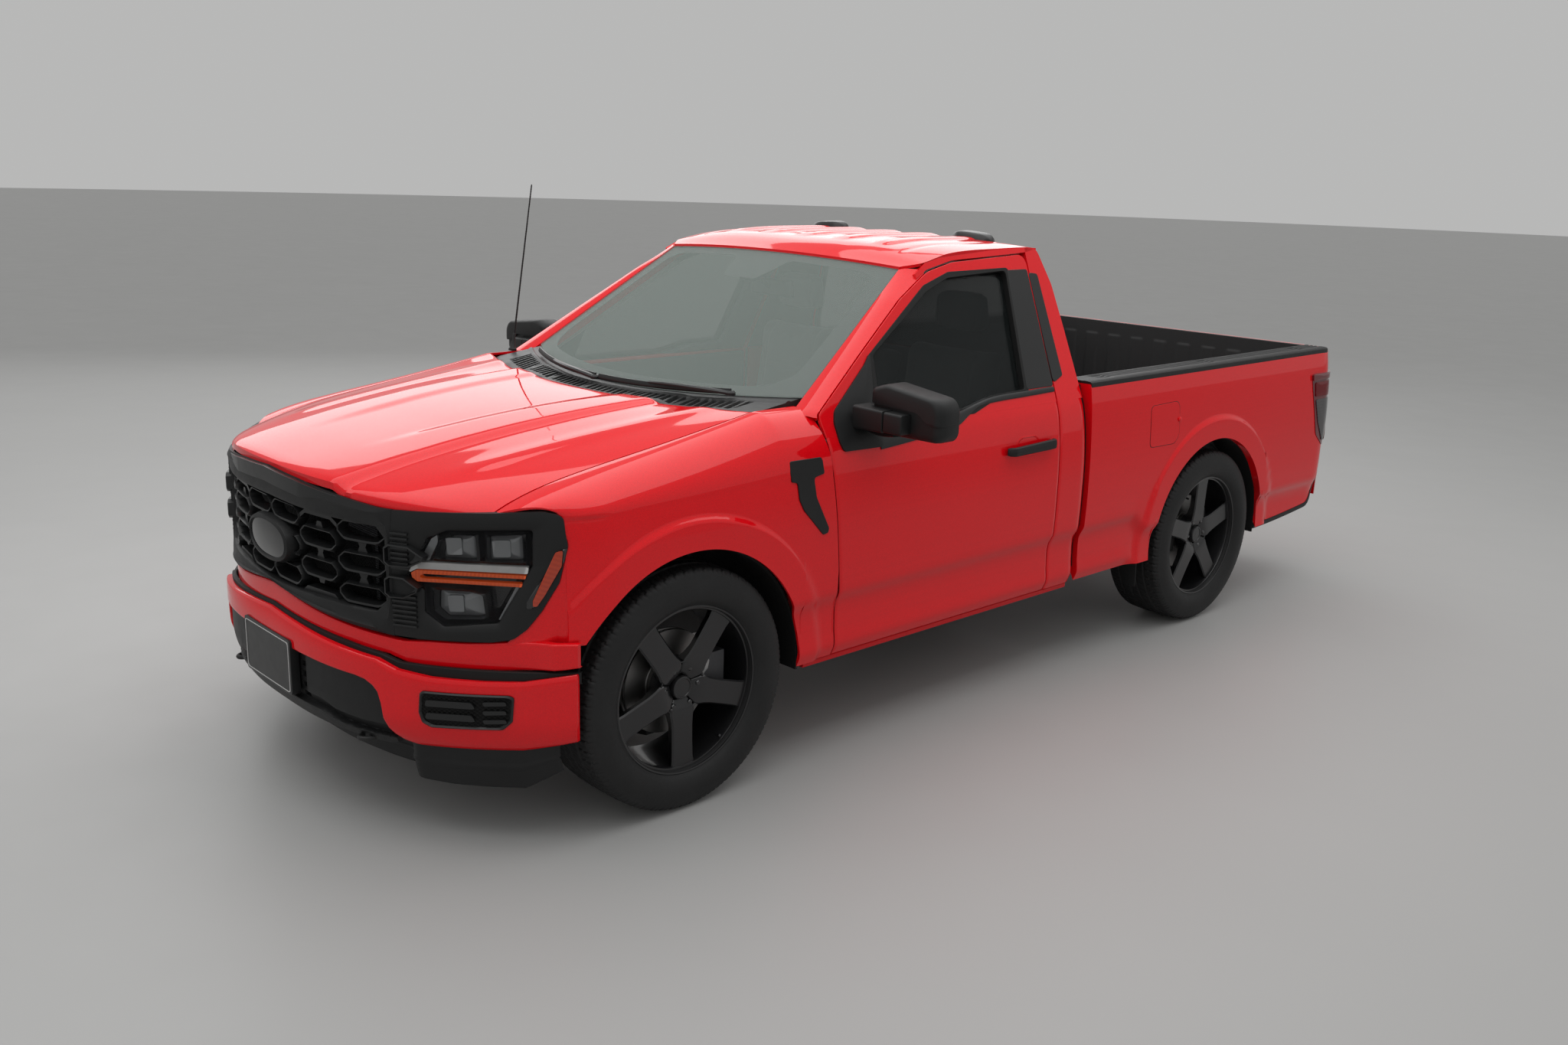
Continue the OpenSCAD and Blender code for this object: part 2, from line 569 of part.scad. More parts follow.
module antenna() {
    x = -hw + 183;
    y = front_axle + 518;
    z = seam_rear_z + seat_gap;
    color("black") {
        translate([x, y, z]) cylinder(r = 16, h = 40);
        translate([x, y, z + 30]) rotate([-antenna_lean, 0, 0]) cylinder(r = 3, h = 690);
    }
}

// ---- Front end -----------------------------------------------------------------------------------
lamp_x0 = hw - 414;
lamp_x1 = hw - 64;
module grille() {
    color("black") nose_sheet(-lamp_x0 + seat_gap, lamp_x0 - seat_gap, level(663 + seat_gap), under_hood, 60, 12);
}
module headlamps() {
    color("dimgray") pair() nose_sheet(lamp_x0, lamp_x1 - 14, level(663 + seat_gap), under_hood, 60, 6);
}
insert_x = hw - 456;
module front_bumper() {
    color("firebrick") {
        pair() nose_sheet(insert_x + seat_gap, hw - 12, level(345), level(552), 45, 8, true, 14);
        nose_sheet(-insert_x - 1, insert_x + 1, level(524 + seat_gap), level(606), 45, 12, true, 8);
        nose_sheet(-hw + 75, hw - 75, level(605), level(663), 44, 16);
    }
}
module air_dam() {
    color("black") {
        nose_sheet(-insert_x, insert_x, level(300), level(524), 70, 12, true, 20);
        nose_sheet(-hw + 90, hw - 90, level(190), level(299.5), 24, 16);
        block([-164, nose_y, 383], [164, nose_y + 7.9, 547]);
    }
}
module radiator() {
    color("dimgray") {
        block([-420, nose_y + 190, frame_z + 30], [420, nose_y + 250, 980]);
        for (s = [-1, 1]) block([s * rail_x - 20, nose_y + 200, frame_z], [s * rail_x + 20, nose_y + 240, frame_z + 40]);
    }
}
liner_r = 486;
module wheel_liners() {
    x0 = cab_in_x - 340;
    x1 = hw - 100;
    color("black") pair() difference() {
        translate([x0, front_axle, tyre_r]) rotate([0, 90, 0]) difference() {
            cylinder(r = liner_r + 8, h = x1 - x0, $fn = 96);
            translate([0, 0, -5]) cylinder(r = liner_r, h = x1 - x0 + 10, $fn = 96);
        }
        block([x0 - 10, front_axle - 600, -200], [hw, front_axle + 600, tyre_r + 110]);
    }
    color("black") pair() block([x1 - 20, front_axle - 30, tyre_r + liner_r + 1], [hw - skin_t - 0.7, front_axle + 30, tyre_r + liner_r + 6]);
}

// ---- Bed -----------------------------------------------------------------------------------------
bed_in_x = hw - bed_wall_t;
house_r = 444;
house_x = tyre_x - tyre_w / 2 - 74;
module bed_side_left() {
    lip = [for (a = [180, 168, 154, 140, 125, 110, 95, 80, 65, 50, 36, 22, 8]) rear_axle_y + arch_r * cos(a)];
    ys = concat([bed_y0, mix(bed_y0, rear_axle_y - arch_r, 0.5), rear_axle_y - arch_r - 14], lip,
        [rear_axle_y + arch_r + 12, mix(rear_axle_y + arch_r, bed_y1, 0.5), bed_y1]);
    fs = [0, 0.1, 0.22, 0.36, 0.5, 0.66, 0.84, 1];
    last = len(ys) - 1;
    function low(y) = y > rear_axle_y + arch_r ? mix(sill_z, 612, pow((y - rear_axle_y - arch_r) / (bed_y1 - rear_axle_y - arch_r), 3))
        : arch_z(y, rear_axle_y, sill_z);
    function tuck(y) = 60 * pow(clamp((y - bed_y1 + 130) / 130), 2.5);
    function x_at(y, z) = min(hw, bed_x(z) + flare(y, z, rear_axle_y)) - tuck(y);
    function z_at(y, f) = mix(low(y), rail_z, f);
    sheet([for (y = ys) [for (f = fs) let (z = z_at(y, f)) [x_at(y, z), y, z]]],
        [for (y = ys) [for (f = fs) [bed_in_x, y, z_at(y, f)]]]);
}
module bed_sides() {
    color("firebrick") pair() difference() {
        bed_side_left();
        // Pocket for the tail lamp
        block([bed_in_x + 60, bed_y1 - 240, 720], [hw + 10, bed_y1 + 10, 1104]);
        // The tailgate's jamb
        block([bed_in_x - 5, gate_y - gate_t - 9, bed_floor_z - 60], [bed_in_x + 14, bed_y1 + 5, rail_z + 5]);
        translate([bed_in_x, gate_pin[0], gate_pin[1]]) rotate([0, 90, 0])
            cylinder(r = gate_pin_r + shaft_fit, h = 40);
    }
}
module tail_lamps() {
    color("darkred") pair() intersection() {
        block([bed_in_x + 60.3, bed_y1 - 239.7, 720.3], [hw + 10, bed_y1 + 10, 1103.7]);
        loft([for (y = [bed_y1 - 239, bed_y1 - 130, bed_y1 - 65, bed_y1 + 4])
            let (tuck = 60 * pow(clamp((y - bed_y1 + 130) / 130), 2.5), a = bed_x(730) - tuck, b = bed_x(900) - tuck,
                c = bed_x(1090) - tuck)
            [[bed_in_x + 60.3, y, 720], [a, y, 720], [b, y, 900], [c, y, 1104], [bed_in_x + 60.3, y, 1104]]]);
    }
}
module rail_caps() {
    color("black") pair() {
        block([bed_in_x + 14, bed_y0 + 2, rail_z], [bed_x(rail_z) - 6, bed_y1 - 66, rail_z + 12]);
    }
}
module bed_floor() {
    x = bed_in_x - seat_gap;
    rear = gate_y - gate_t - gate_gap;
    front = bed_y0 + 40;
    color("dimgray") {
        difference() {
            union() {
                block([-x, front + 0.3, bed_floor_z - 30], [x, rear, bed_floor_z]);
                pair() intersection() {
                    translate([house_x, rear_axle_y, tyre_r]) rotate([0, 90, 0])
                        cylinder(r = house_r + 14, h = x - house_x, $fn = 96);
                    block([house_x, rear_axle_y - 600, bed_floor_z - 30], [x, rear_axle_y + 600, tyre_r + 460]);
                }
            }
            pair() translate([house_x + 14, rear_axle_y, tyre_r]) rotate([0, 90, 0])
                cylinder(r = house_r, h = x, $fn = 96);
        }
        // Cross sills carry the floor on the frame
        for (y = [bed_y0 + 120, rear_axle_y - 470, rear_axle_y + 490, rear - 130])
            block([-x + 30, y - 35, max(rear_rail_z(y - 35), rear_rail_z(y + 35))], [x - 30, y + 35, bed_floor_z - 29]);
    }
}
module bed_front() {
    x = bed_in_x - seat_gap;
    color("dimgray") block([-x, bed_y0, bed_floor_z - 30], [x, bed_y0 + 40, rail_z]);
}
gate_gap = 10;
gate_pin = [gate_y - 18, bed_floor_z - 36 + 18];
gate_pin_r = 9;
module tailgate() {
    x = bed_in_x + 14 - shut_gap;
    color("firebrick") {
        side_slab(-x, x) polygon([[gate_y - gate_t, bed_floor_z - 36], [gate_y, bed_floor_z - 36],
            [gate_y, 900], [gate_y + 10, rail_z - 40], [gate_y + 6, rail_z + 4], [gate_y - gate_t, rail_z + 4]]);
        translate([-x - 24, gate_pin[0], gate_pin[1]]) rotate([0, 90, 0]) cylinder(r = gate_pin_r, h = 2 * x + 48);
    }
}

module rear_bumper() {
    z0 = 440;
    z1 = bed_floor_z - 66;
    color("firebrick") {
        difference() {
            linear_extrude_z(z0, z1) polygon([[-hw + 60, tail_y - 88], [-hw + 70, tail_y - 60],
                [-hw + 150, tail_y - 12], [-hw + 330, tail_y], [hw - 330, tail_y], [hw - 150, tail_y - 12],
                [hw - 70, tail_y - 60], [hw - 60, tail_y - 88]]);
            // Licence plate recess, and the hole for a tow ball's shank
            block([-165, tail_y - 14, z0 + 20], [165, tail_y + 5, z1 - 22]);
            translate([0, tail_y - 50, z0 - 1]) cylinder(r = 16, h = z1 - z0 + 2);
        }
        for (s = [-1, 1]) block([s * rail_x - 30, bumper_mount_y, z0 + 30], [s * rail_x + 30, tail_y - 87, z0 + 120]);
    }
}
module linear_extrude_z(z0, z1) {
    translate([0, 0, z0]) linear_extrude(z1 - z0) children();
}

// ---- Chassis -------------------------------------------------------------------------------------
bumper_mount_y = tail_y - 200;
rail_h = 120;
kick = 130;
kick_y0 = rear_axle_y - 700;
kick_y1 = rear_axle_y - 400;
kick_y2 = rear_axle_y + 400;
kick_y3 = rear_axle_y + 620;
rear_drop = 40;
function rear_rail_z(y) = frame_z + lookup(y, [[kick_y0, 0], [kick_y1, kick], [kick_y2, kick], [kick_y3, kick - rear_drop]]);
module frame() {
    ys = [nose_y + 150, kick_y0, kick_y1, kick_y2, kick_y3, bumper_mount_y - seat_gap];
    outline = concat([for (y = ys) [y, rear_rail_z(y) - rail_h]],
        [for (i = [len(ys) - 1:-1:0]) [ys[i], rear_rail_z(ys[i])]]);
    x0 = rail_x - rail_w / 2;
    x1 = rail_x + rail_w / 2;
    color("dimgray") {
        pair() side_slab(x0, x1) polygon(outline);
        // Cross members: under the rails ahead of the bed, above the axle behind it
        for (y = [nose_y + 190, front_axle + 260, door_y0 + 500, cab_y1 + 60])
            block([-x1, y - 30, frame_z - rail_h - 30], [x1, y + 30, frame_z - rail_h + 1]);
        for (y = [rear_axle_y - 330, rear_axle_y + 200, bumper_mount_y - 60])
            block([-x0 - 1, y - 30, rear_rail_z(y) - rail_h + 40], [x0 + 1, y + 30, rear_rail_z(y) - rail_h + 90]);
        // Cab mounts
        pair() for (y = [door_y0 - 40, door_y1 - 60])
            translate([rail_x, y, frame_z - 1]) cylinder(r = 32, h = cab_floor_z - frame_z + 1);
        // Outriggers to the sills
        pair() for (y = [door_y0 + 60, door_y1 - 100])
            block([x1 - 1, y - 30, sill_z - 10], [cab_in_x - seat_gap, y + 30, sill_z + 40]);
        // Front bumper brackets, towers for the control arms, and spring hangers
        pair() block([x0, bumper_y(x1) + 71, 400], [x1, nose_y + 160, 470]);
        pair() difference() {
            block([x1 - 1, front_axle - 120, frame_z - rail_h - 20], [x1 + 18, front_axle + 120, 620]);
            block([x1 - 2, front_axle - 90, 330], [x1 + 20, front_axle + 90, 560]);
        }
    }
}

arm_z = 215;
upper_arm_z = 600;
module control_arms() {
    x0 = rail_x + rail_w / 2 + 18 + seat_gap;
    color("dimgray") pair() {
        // Lower arm
        linear_extrude_z(arm_z - 14, arm_z + 14) polygon([[kingpin_x + 30, front_axle - 30], [kingpin_x + 30, front_axle + 30],
            [x0 + 60, front_axle + 150], [x0 - 100, front_axle + 150], [x0 - 100, front_axle - 150],
            [x0 + 60, front_axle - 150]]);
        for (s = [-1, 1]) block([x0 - 100, front_axle + s * 125 - 25, arm_z + 10],
            [x0 - 60, front_axle + s * 125 + 25, frame_z - rail_h - seat_gap]);
        // Upper arm
        linear_extrude_z(upper_arm_z - 10, upper_arm_z + 10) polygon([[kingpin_x + 22, front_axle - 22],
            [kingpin_x + 22, front_axle + 22], [x0 + 50, front_axle + 95], [x0, front_axle + 95], [x0, front_axle + 60],
            [x0 + 60, front_axle], [x0, front_axle - 60], [x0, front_axle - 95], [x0 + 50, front_axle - 95]]);
        // Spring and damper
        translate([x0 + 80, front_axle, arm_z + 13]) cylinder(r = 50, h = upper_arm_z - arm_z - 90);
    }
}

module knuckle_left_shape() {
    low = arm_z + 14 + seat_gap;
    high = upper_arm_z - 10 - seat_gap;
    difference() {
        union() {
            translate([kingpin_x, front_axle, low]) cylinder(r = 24, h = high - low);
            translate([kingpin_x - 34, front_axle, tyre_r]) rotate([0, 90, 0]) cylinder(r = 66, h = 72);
            // Steering arm, and the bracket of the caliper behind the hub
            block([kingpin_x - 20, front_axle + 10, tyre_r - 90], [kingpin_x + 10, front_axle + 150, tyre_r - 60]);
            block([kingpin_x - 20, front_axle + 40, tyre_r - 70], [kingpin_x + 12, front_axle + disc_r + 40, tyre_r + 70]);
            block([kingpin_x - 20, front_axle + disc_r + 8, tyre_r - 70],
                [disc_x + 44, front_axle + disc_r + 40, tyre_r + 70]);
            block([disc_x + 20, front_axle + disc_r - 60, tyre_r - 70],
                [disc_x + 44, front_axle + disc_r + 40, tyre_r + 70]);
        }
        translate([kingpin_x - 60, front_axle, tyre_r]) rotate([0, 90, 0]) cylinder(r = shaft_r + shaft_fit, h = 200);
    }
}
module knuckle_left() {
    color("silver") knuckle_left_shape();
}
module knuckle_right() {
    color("silver") mirror([1, 0, 0]) knuckle_left_shape();
}

module engine() {
    y1 = front_axle + 330;
    color("gray") {
        block([-250, front_axle - 400, 400], [250, y1, 960]);
        block([-150, y1 - 1, frame_z - 150], [150, y1 + 720, frame_z]);
        // Engine mounts on the rails
        pair() block([249, front_axle - 60, 430], [rail_x - rail_w / 2 - seat_gap, front_axle + 60, 480]);
    }
}
module exhaust() {
    x = -230;
    z = frame_z - rail_h - 30 - 32 - seat_gap;
    color("silver") {
        translate([x, door_y0 - 100, z]) rotate([-90, 0, 0]) cylinder(r = 32, h = rear_axle_y - door_y0 - 300);
        block([x - 100, door_y0 + 900, z - 55], [x + 100, door_y0 + 1400, z + 31]);
    }
}
module fuel_tank() {
    x0 = rail_x + rail_w / 2;
    color("black") {
        block([x0 + 4, door_y0 + 110, 270], [x0 + 210, door_y1 - 150, sill_z + 70]);
        for (y = [door_y0 + 250, door_y1 - 290]) block([x0 + seat_gap, y - 25, 400], [x0 + 5, y + 25, 430]);
    }
}
spring_x = rail_x + rail_w / 2 + 52;
module rear_axle() {
    end_x = tyre_x - 46;
    color("dimgray") {
        difference() {
            union() {
                translate([-end_x, rear_axle_y, tyre_r]) rotate([0, 90, 0]) cylinder(r = 45, h = 2 * end_x);
                translate([0, rear_axle_y, tyre_r]) sphere(r = 135);
            }
            pair() translate([end_x - 90, rear_axle_y, tyre_r]) rotate([0, 90, 0])
                cylinder(r = shaft_r + shaft_fit, h = 200);
        }
        translate([0, rear_axle_y - 120, tyre_r]) rotate([90, 0, 0])
            cylinder(r = 45, h = rear_axle_y - 120 - (front_axle + 1050) - 1);
        // Brake calipers ahead of the axle
        pair() difference() {
            block([end_x - 60, rear_axle_y - disc_r - 40, tyre_r - 70], [disc_x + 44, rear_axle_y - 40, tyre_r + 70]);
            translate([disc_x - 18, rear_axle_y, tyre_r]) rotate([0, 90, 0]) cylinder(r = disc_r + 6, h = 36);
            translate([disc_x - 19, rear_axle_y - disc_r + 60, tyre_r - 80]) cube([80, 200, 160]);
        }
    }
}
module leaf_springs() {
    drop = 45;
    top = tyre_r - drop - seat_gap;
    half = 600;
    function arc(y) = top + 62 * pow((y - rear_axle_y) / half, 2);
    ys = [for (i = [-6:6]) rear_axle_y + half * i / 6];
    color("dimgray") pair() {
        side_slab(spring_x - 32, spring_x + 32)
            polygon(concat([for (y = ys) [y, arc(y) - 30]], [for (i = [len(ys) - 1:-1:0]) [ys[i], arc(ys[i])]]));
        // Hangers on the rail
        for (y = [rear_axle_y - half, rear_axle_y + half])
            block([rail_x + rail_w / 2 + seat_gap, y - 25, arc(y) - 40], [spring_x + 32, y + 25, rear_rail_z(y) - rail_h + 70]);
    }
}

// ---- Wheels --------------------------------------------------------------------------------------
disc_x = hub_x - 45;
module tyre_shape(x, y) {
    side_r = (tyre_r - rim_r) / 2;
    shoulder = 18;
    half = tyre_w / 2;
    profile = [[rim_r, -half + 26], [rim_r + 14, -half + 8], [rim_r + side_r, -half], [tyre_r - shoulder, -half + 6],
        [tyre_r - 4, -half + 24], [tyre_r, -half + 50], [tyre_r, half - 50], [tyre_r - 4, half - 24],
        [tyre_r - shoulder, half - 6], [rim_r + side_r, half], [rim_r + 14, half - 8], [rim_r, half - 26]];
    translate([x, y, tyre_r]) rotate([0, 90, 0]) rotate_extrude($fn = 96) polygon(profile);
}
// Rim, spokes, hub with its shaft, and brake disc; the outside faces +X
module wheel_shape(y) {
    half = tyre_w / 2 - 22;
    face = tyre_x + 96;
    translate([0, y, tyre_r]) rotate([0, 90, 0]) {
        difference() {
            union() {
                rotate_extrude($fn = 96) polygon([[rim_r - 30, tyre_x - half], [rim_r - seat_gap, tyre_x - half],
                    [rim_r - seat_gap, tyre_x + half], [rim_r - 12, tyre_x + half], [rim_r - 12, face - 10],
                    [rim_r - 22, tyre_x + 30], [rim_r - 22, tyre_x - half + 12], [rim_r - 30, tyre_x - half + 12]]);
                translate([0, 0, hub_x]) cylinder(r = 92, h = face - hub_x - 6);
                for (i = [0:spokes - 1]) rotate([0, 0, 180 + i * 360 / spokes])
                    translate([0, 0, face - 44]) linear_extrude(38)
                        polygon([[60, -38], [rim_r - 7, -46], [rim_r - 7, 46], [60, 38]]);
            }
            translate([0, 0, hub_x - 1]) cylinder(r = 43.5, h = 100);
            for (i = [0:5]) rotate([0, 0, i * 60]) translate([stud_circle_r, 0, hub_x - 1]) cylinder(r = 7.5, h = 100);
        }
        translate([0, 0, hub_x - 8]) cylinder(r = 92, h = 8);
        translate([0, 0, disc_x - 14]) cylinder(r = disc_r, h = 28);
        translate([0, 0, disc_x]) cylinder(r = 88, h = hub_x - disc_x);
        translate([0, 0, kingpin_x - 30]) cylinder(r = shaft_r, h = disc_x - kingpin_x + 30);
    }
}
module wheel_node() {
    color("black") children();
}
module wheel_front_left() {
    wheel_node() wheel_shape(front_axle);
}
module wheel_front_right() {
    wheel_node() mirror([1, 0, 0]) wheel_shape(front_axle);
}
module wheel_rear_left() {
    wheel_node() wheel_shape(rear_axle_y);
}
module wheel_rear_right() {
    wheel_node() mirror([1, 0, 0]) wheel_shape(rear_axle_y);
}
module tyre_front_left() {
    wheel_node() tyre_shape(tyre_x, front_axle);
}
module tyre_front_right() {
    wheel_node() tyre_shape(-tyre_x, front_axle);
}
module tyre_rear_left() {
    wheel_node() tyre_shape(tyre_x, rear_axle_y);
}
module tyre_rear_right() {
    wheel_node() tyre_shape(-tyre_x, rear_axle_y);
}
module spare_wheel() {
    top = frame_z + kick - rear_drop - 8;
    y = rear_axle_y + 600;
    r = 340;
    color("black") {
        translate([0, y, top - 180]) difference() {
            cylinder(r = r, h = 180);
            translate([0, 0, -1]) cylinder(r = r - 130, h = 140);
        }
        block([-20, y - 20, top - 1], [20, y + 20, bed_floor_z - 30]);
    }
}

frame();
engine();
exhaust();
fuel_tank();
control_arms();
rear_axle();
leaf_springs();
spare_wheel();
cab_floor();
cab_sides();
door_hinges();
cab_back();
roof();
fixed_glass();
dashboard();
seat_cushion();
seat_back();
fenders();
wheel_liners();
radiator();
grille();
headlamps();
front_bumper();
air_dam();
cowl();
wipers();
antenna();
bed_floor();
bed_front();
bed_sides();
rail_caps();
tail_lamps();
rear_bumper();
hood();
tailgate();
door_left();
door_right();
door_glass_left();
door_glass_right();
mirror_left();
mirror_right();
steering_wheel();
knuckle_left();
knuckle_right();
tyre_front_left();
tyre_front_right();
tyre_rear_left();
tyre_rear_right();
wheel_front_left();
wheel_front_right();
wheel_rear_left();
wheel_rear_right();
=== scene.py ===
"""Pickup truck with a single cab and a short bed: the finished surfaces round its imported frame.

Shapes are worked out in millimetres on grids of points and scaled to metres when they become meshes.
The front of the truck faces -Y, its left side is +X and the ground is z = 0.
"""
import json
import math

import bmesh
import bpy
import numpy as np
from mathutils import Matrix, Vector

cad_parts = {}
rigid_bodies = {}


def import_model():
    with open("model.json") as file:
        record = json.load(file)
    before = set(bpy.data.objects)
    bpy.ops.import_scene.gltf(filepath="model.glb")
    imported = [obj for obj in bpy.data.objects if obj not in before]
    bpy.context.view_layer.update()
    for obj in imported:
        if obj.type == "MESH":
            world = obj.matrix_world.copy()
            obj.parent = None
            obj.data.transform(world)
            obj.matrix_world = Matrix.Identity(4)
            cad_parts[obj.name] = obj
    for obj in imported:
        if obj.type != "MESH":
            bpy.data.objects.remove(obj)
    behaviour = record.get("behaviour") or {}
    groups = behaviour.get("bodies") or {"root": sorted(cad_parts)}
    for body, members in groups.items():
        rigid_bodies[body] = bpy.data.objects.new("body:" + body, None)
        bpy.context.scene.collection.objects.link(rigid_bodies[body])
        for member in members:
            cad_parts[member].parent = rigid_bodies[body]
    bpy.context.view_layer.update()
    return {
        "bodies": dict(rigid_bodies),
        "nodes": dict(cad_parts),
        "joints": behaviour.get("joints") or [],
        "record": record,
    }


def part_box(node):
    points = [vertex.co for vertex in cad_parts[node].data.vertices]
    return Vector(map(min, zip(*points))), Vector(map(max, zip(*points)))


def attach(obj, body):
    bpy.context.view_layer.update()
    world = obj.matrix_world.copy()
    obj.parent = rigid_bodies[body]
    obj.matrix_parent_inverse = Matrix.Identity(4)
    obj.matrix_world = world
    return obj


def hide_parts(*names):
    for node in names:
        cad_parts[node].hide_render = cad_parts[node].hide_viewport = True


bl_info = {
    "name": "Pickup Truck",
    "version": (1, 0, 0),
    "blender": (4, 5, 0),
    "location": "View3D > Sidebar > Pickup",
    "description": "Builds the panels, glass, lamps, wheels, cab and bed of a pickup truck",
    "category": "Object",
}

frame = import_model()
NODES = frame["nodes"]


def node_box(name):
    """A node's lowest and highest corners, in millimetres."""
    low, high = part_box(name)
    return np.array(low) * 1000, np.array(high) * 1000


# ---- Places taken from the frame ------------------------------------------------------------------
_front, _rear = node_box("tyre_front_left"), node_box("tyre_rear_left")
TYRE_R = (_front[1][2] - _front[0][2]) / 2
TYRE_W = _front[1][0] - _front[0][0]
TYRE_X = (_front[1][0] + _front[0][0]) / 2
FRONT_AXLE = (_front[1][1] + _front[0][1]) / 2
REAR_AXLE = (_rear[1][1] + _rear[0][1]) / 2
HW = 1014.0  # half of the width over the doors
NOSE_Y, TAIL_Y = -2655.5, 2655.5
DOOR_Y0, DOOR_Y1 = FRONT_AXLE + 662, FRONT_AXLE + 662 + 1232
CAB_Y1 = DOOR_Y1 + 182
BED_Y0, BED_Y1 = CAB_Y1 + 33, TAIL_Y - 95
GATE_Y = BED_Y1 - 15
SILL_Z, BELT_Z, ROOF_Z, RAIL_Z, FLOOR_Z = 376.0, 1160.0, 1770.0, 1210.0, 680.0
ARCH_R, RIM_R = 478.0, 282.0
LEAN = 0.44  # how far the cabin's sides lean in for each mm up
BED_IN_X = HW - 170
CAB_IN_X = HW - 170
SEAM_X = HW - 204
SHUT = 6.0
GLASS_T = 5.0
MERGE_MM = 0.01
BEVEL_FROM = 32


# ---- Numbers --------------------------------------------------------------------------------------
def mix(a, b, k):
    return a + (b - a) * k


def ease(v):
    """Rises smoothly from 0 to 1 as v goes from 0 to 1."""
    c = np.clip(v, 0, 1)
    return c * c * (3 - 2 * c)


def curve(v, table):
    """Smooth curve through a table of (place, value): cubic pieces whose slopes at each entry are the
    mean of the slopes on both sides, and level where the table turns round."""
    x, y = np.array(table, float).T
    step = np.diff(y) / np.diff(x)
    slope = np.concatenate([[step[0]], (step[1:] + step[:-1]) / 2, [step[-1]]])
    turn = np.concatenate([[False], step[1:] * step[:-1] <= 0, [False]])
    slope[turn] = 0
    v = np.clip(np.asarray(v, float), x[0], x[-1])
    i = np.clip(np.searchsorted(x, v, side="right") - 1, 0, len(x) - 2)
    h = x[i + 1] - x[i]
    k = (v - x[i]) / h
    return (
        (2 * k**3 - 3 * k**2 + 1) * y[i]
        + (k**3 - 2 * k**2 + k) * h * slope[i]
        + (3 * k**2 - 2 * k**3) * y[i + 1]
        + (k**3 - k**2) * h * slope[i + 1]
    )


def up(f):
    """Height at share f of the cabin, from the window line to the roof."""
    return BELT_Z + f * (ROOF_Z - BELT_Z)


# ---- Shapes ---------------------------------------------------------------------------------------
class Shape:
    """Points in millimetres and the faces between them, as lists of index arrays."""

    def __init__(self, points, faces):
        self.points = np.asarray(points, float).reshape(-1, 3)
        self.faces = [np.asarray(f, int) for f in faces]

    def __add__(self, other):
        n = len(self.points)
        return Shape(np.vstack([self.points, other.points]), self.faces + [f + n for f in other.faces])

    def __radd__(self, other):
        return self

    def flipped(self):
        return Shape(self.points, [f[:, ::-1] for f in self.faces])

    def mirrored(self):
        """The same shape on the truck's other side."""
        return Shape(self.points * [-1, 1, 1], [f[:, ::-1] for f in self.faces])

    def moved(self, x=0, y=0, z=0):
        return Shape(self.points + [x, y, z], self.faces)

    def turned(self, axis, degrees, about=(0, 0, 0)):
        turn = np.array(Matrix.Rotation(math.radians(degrees), 3, Vector(axis)))
        return Shape((self.points - about) @ turn.T + about, self.faces)


def pair(shape):
    """A shape together with its mirror image."""
    return shape + shape.mirrored()


def surface(grid, wrap_u=False, wrap_v=False):
    """Quads over a grid of points, joined end to end along u or v where it wraps."""
    g = np.asarray(grid, float)
    nu, nv = g.shape[:2]
    ids = np.arange(nu * nv).reshape(nu, nv)
    a = np.vstack([ids, ids[:1]]) if wrap_u else ids
    a = np.hstack([a, a[:, :1]]) if wrap_v else a
    quads = np.stack([a[:-1, :-1], a[1:, :-1], a[1:, 1:], a[:-1, 1:]], -1).reshape(-1, 4)
    return Shape(g, [quads])


def capped(grid):
    """A tube of rings along u, closed at both ends with one face each."""
    s = surface(grid, wrap_v=True)
    nu, nv = np.asarray(grid).shape[:2]
    ends = np.arange(nu * nv).reshape(nu, nv)
    return Shape(s.points, s.faces + [ends[:1, ::-1], ends[-1:]])


def slab(outer, inner):
    """A wall between two grids: each ring runs over the outer grid's row and back along the inner one."""
    return capped(np.concatenate([np.asarray(outer), np.asarray(inner)[:, ::-1]], 1))


def lathe(profile, centre, count=96):
    """A profile of (place along X, radius) turned round the X axis through centre = (y, z)."""
    x, r = np.asarray(profile, float).T
    a = np.linspace(0, 2 * math.pi, count, endpoint=False)[:, None]
    grid = np.stack(
        np.broadcast_arrays(x[None], centre[0] + r[None] * np.sin(a), centre[1] + r[None] * np.cos(a)), -1
    )
    return surface(grid, wrap_u=True)


def sweep(path, section, upward=(0, 0, 1), closed=False):
    """A closed section of (across, up) points carried along a path, kept upright."""
    p = np.asarray(path, float)
    t = np.roll(p, -1, 0) - np.roll(p, 1, 0) if closed else np.gradient(p, axis=0)
    t /= np.linalg.norm(t, axis=1)[:, None]
    side = np.cross(t, upward)
    side /= np.linalg.norm(side, axis=1)[:, None]
    top = np.cross(side, t)
    s = np.asarray(section, float)
    if s.ndim == 2:
        s = np.broadcast_to(s, (len(p),) + s.shape)
    grid = p[:, None] + s[..., :1] * side[:, None] + s[..., 1:] * top[:, None]
    return surface(grid, wrap_u=True, wrap_v=True) if closed else capped(grid)


def circle(r, n=16, squash=1.0):
    a = np.linspace(0, 2 * math.pi, n, endpoint=False)
    return np.stack([r * np.cos(a), r * squash * np.sin(a)], -1)


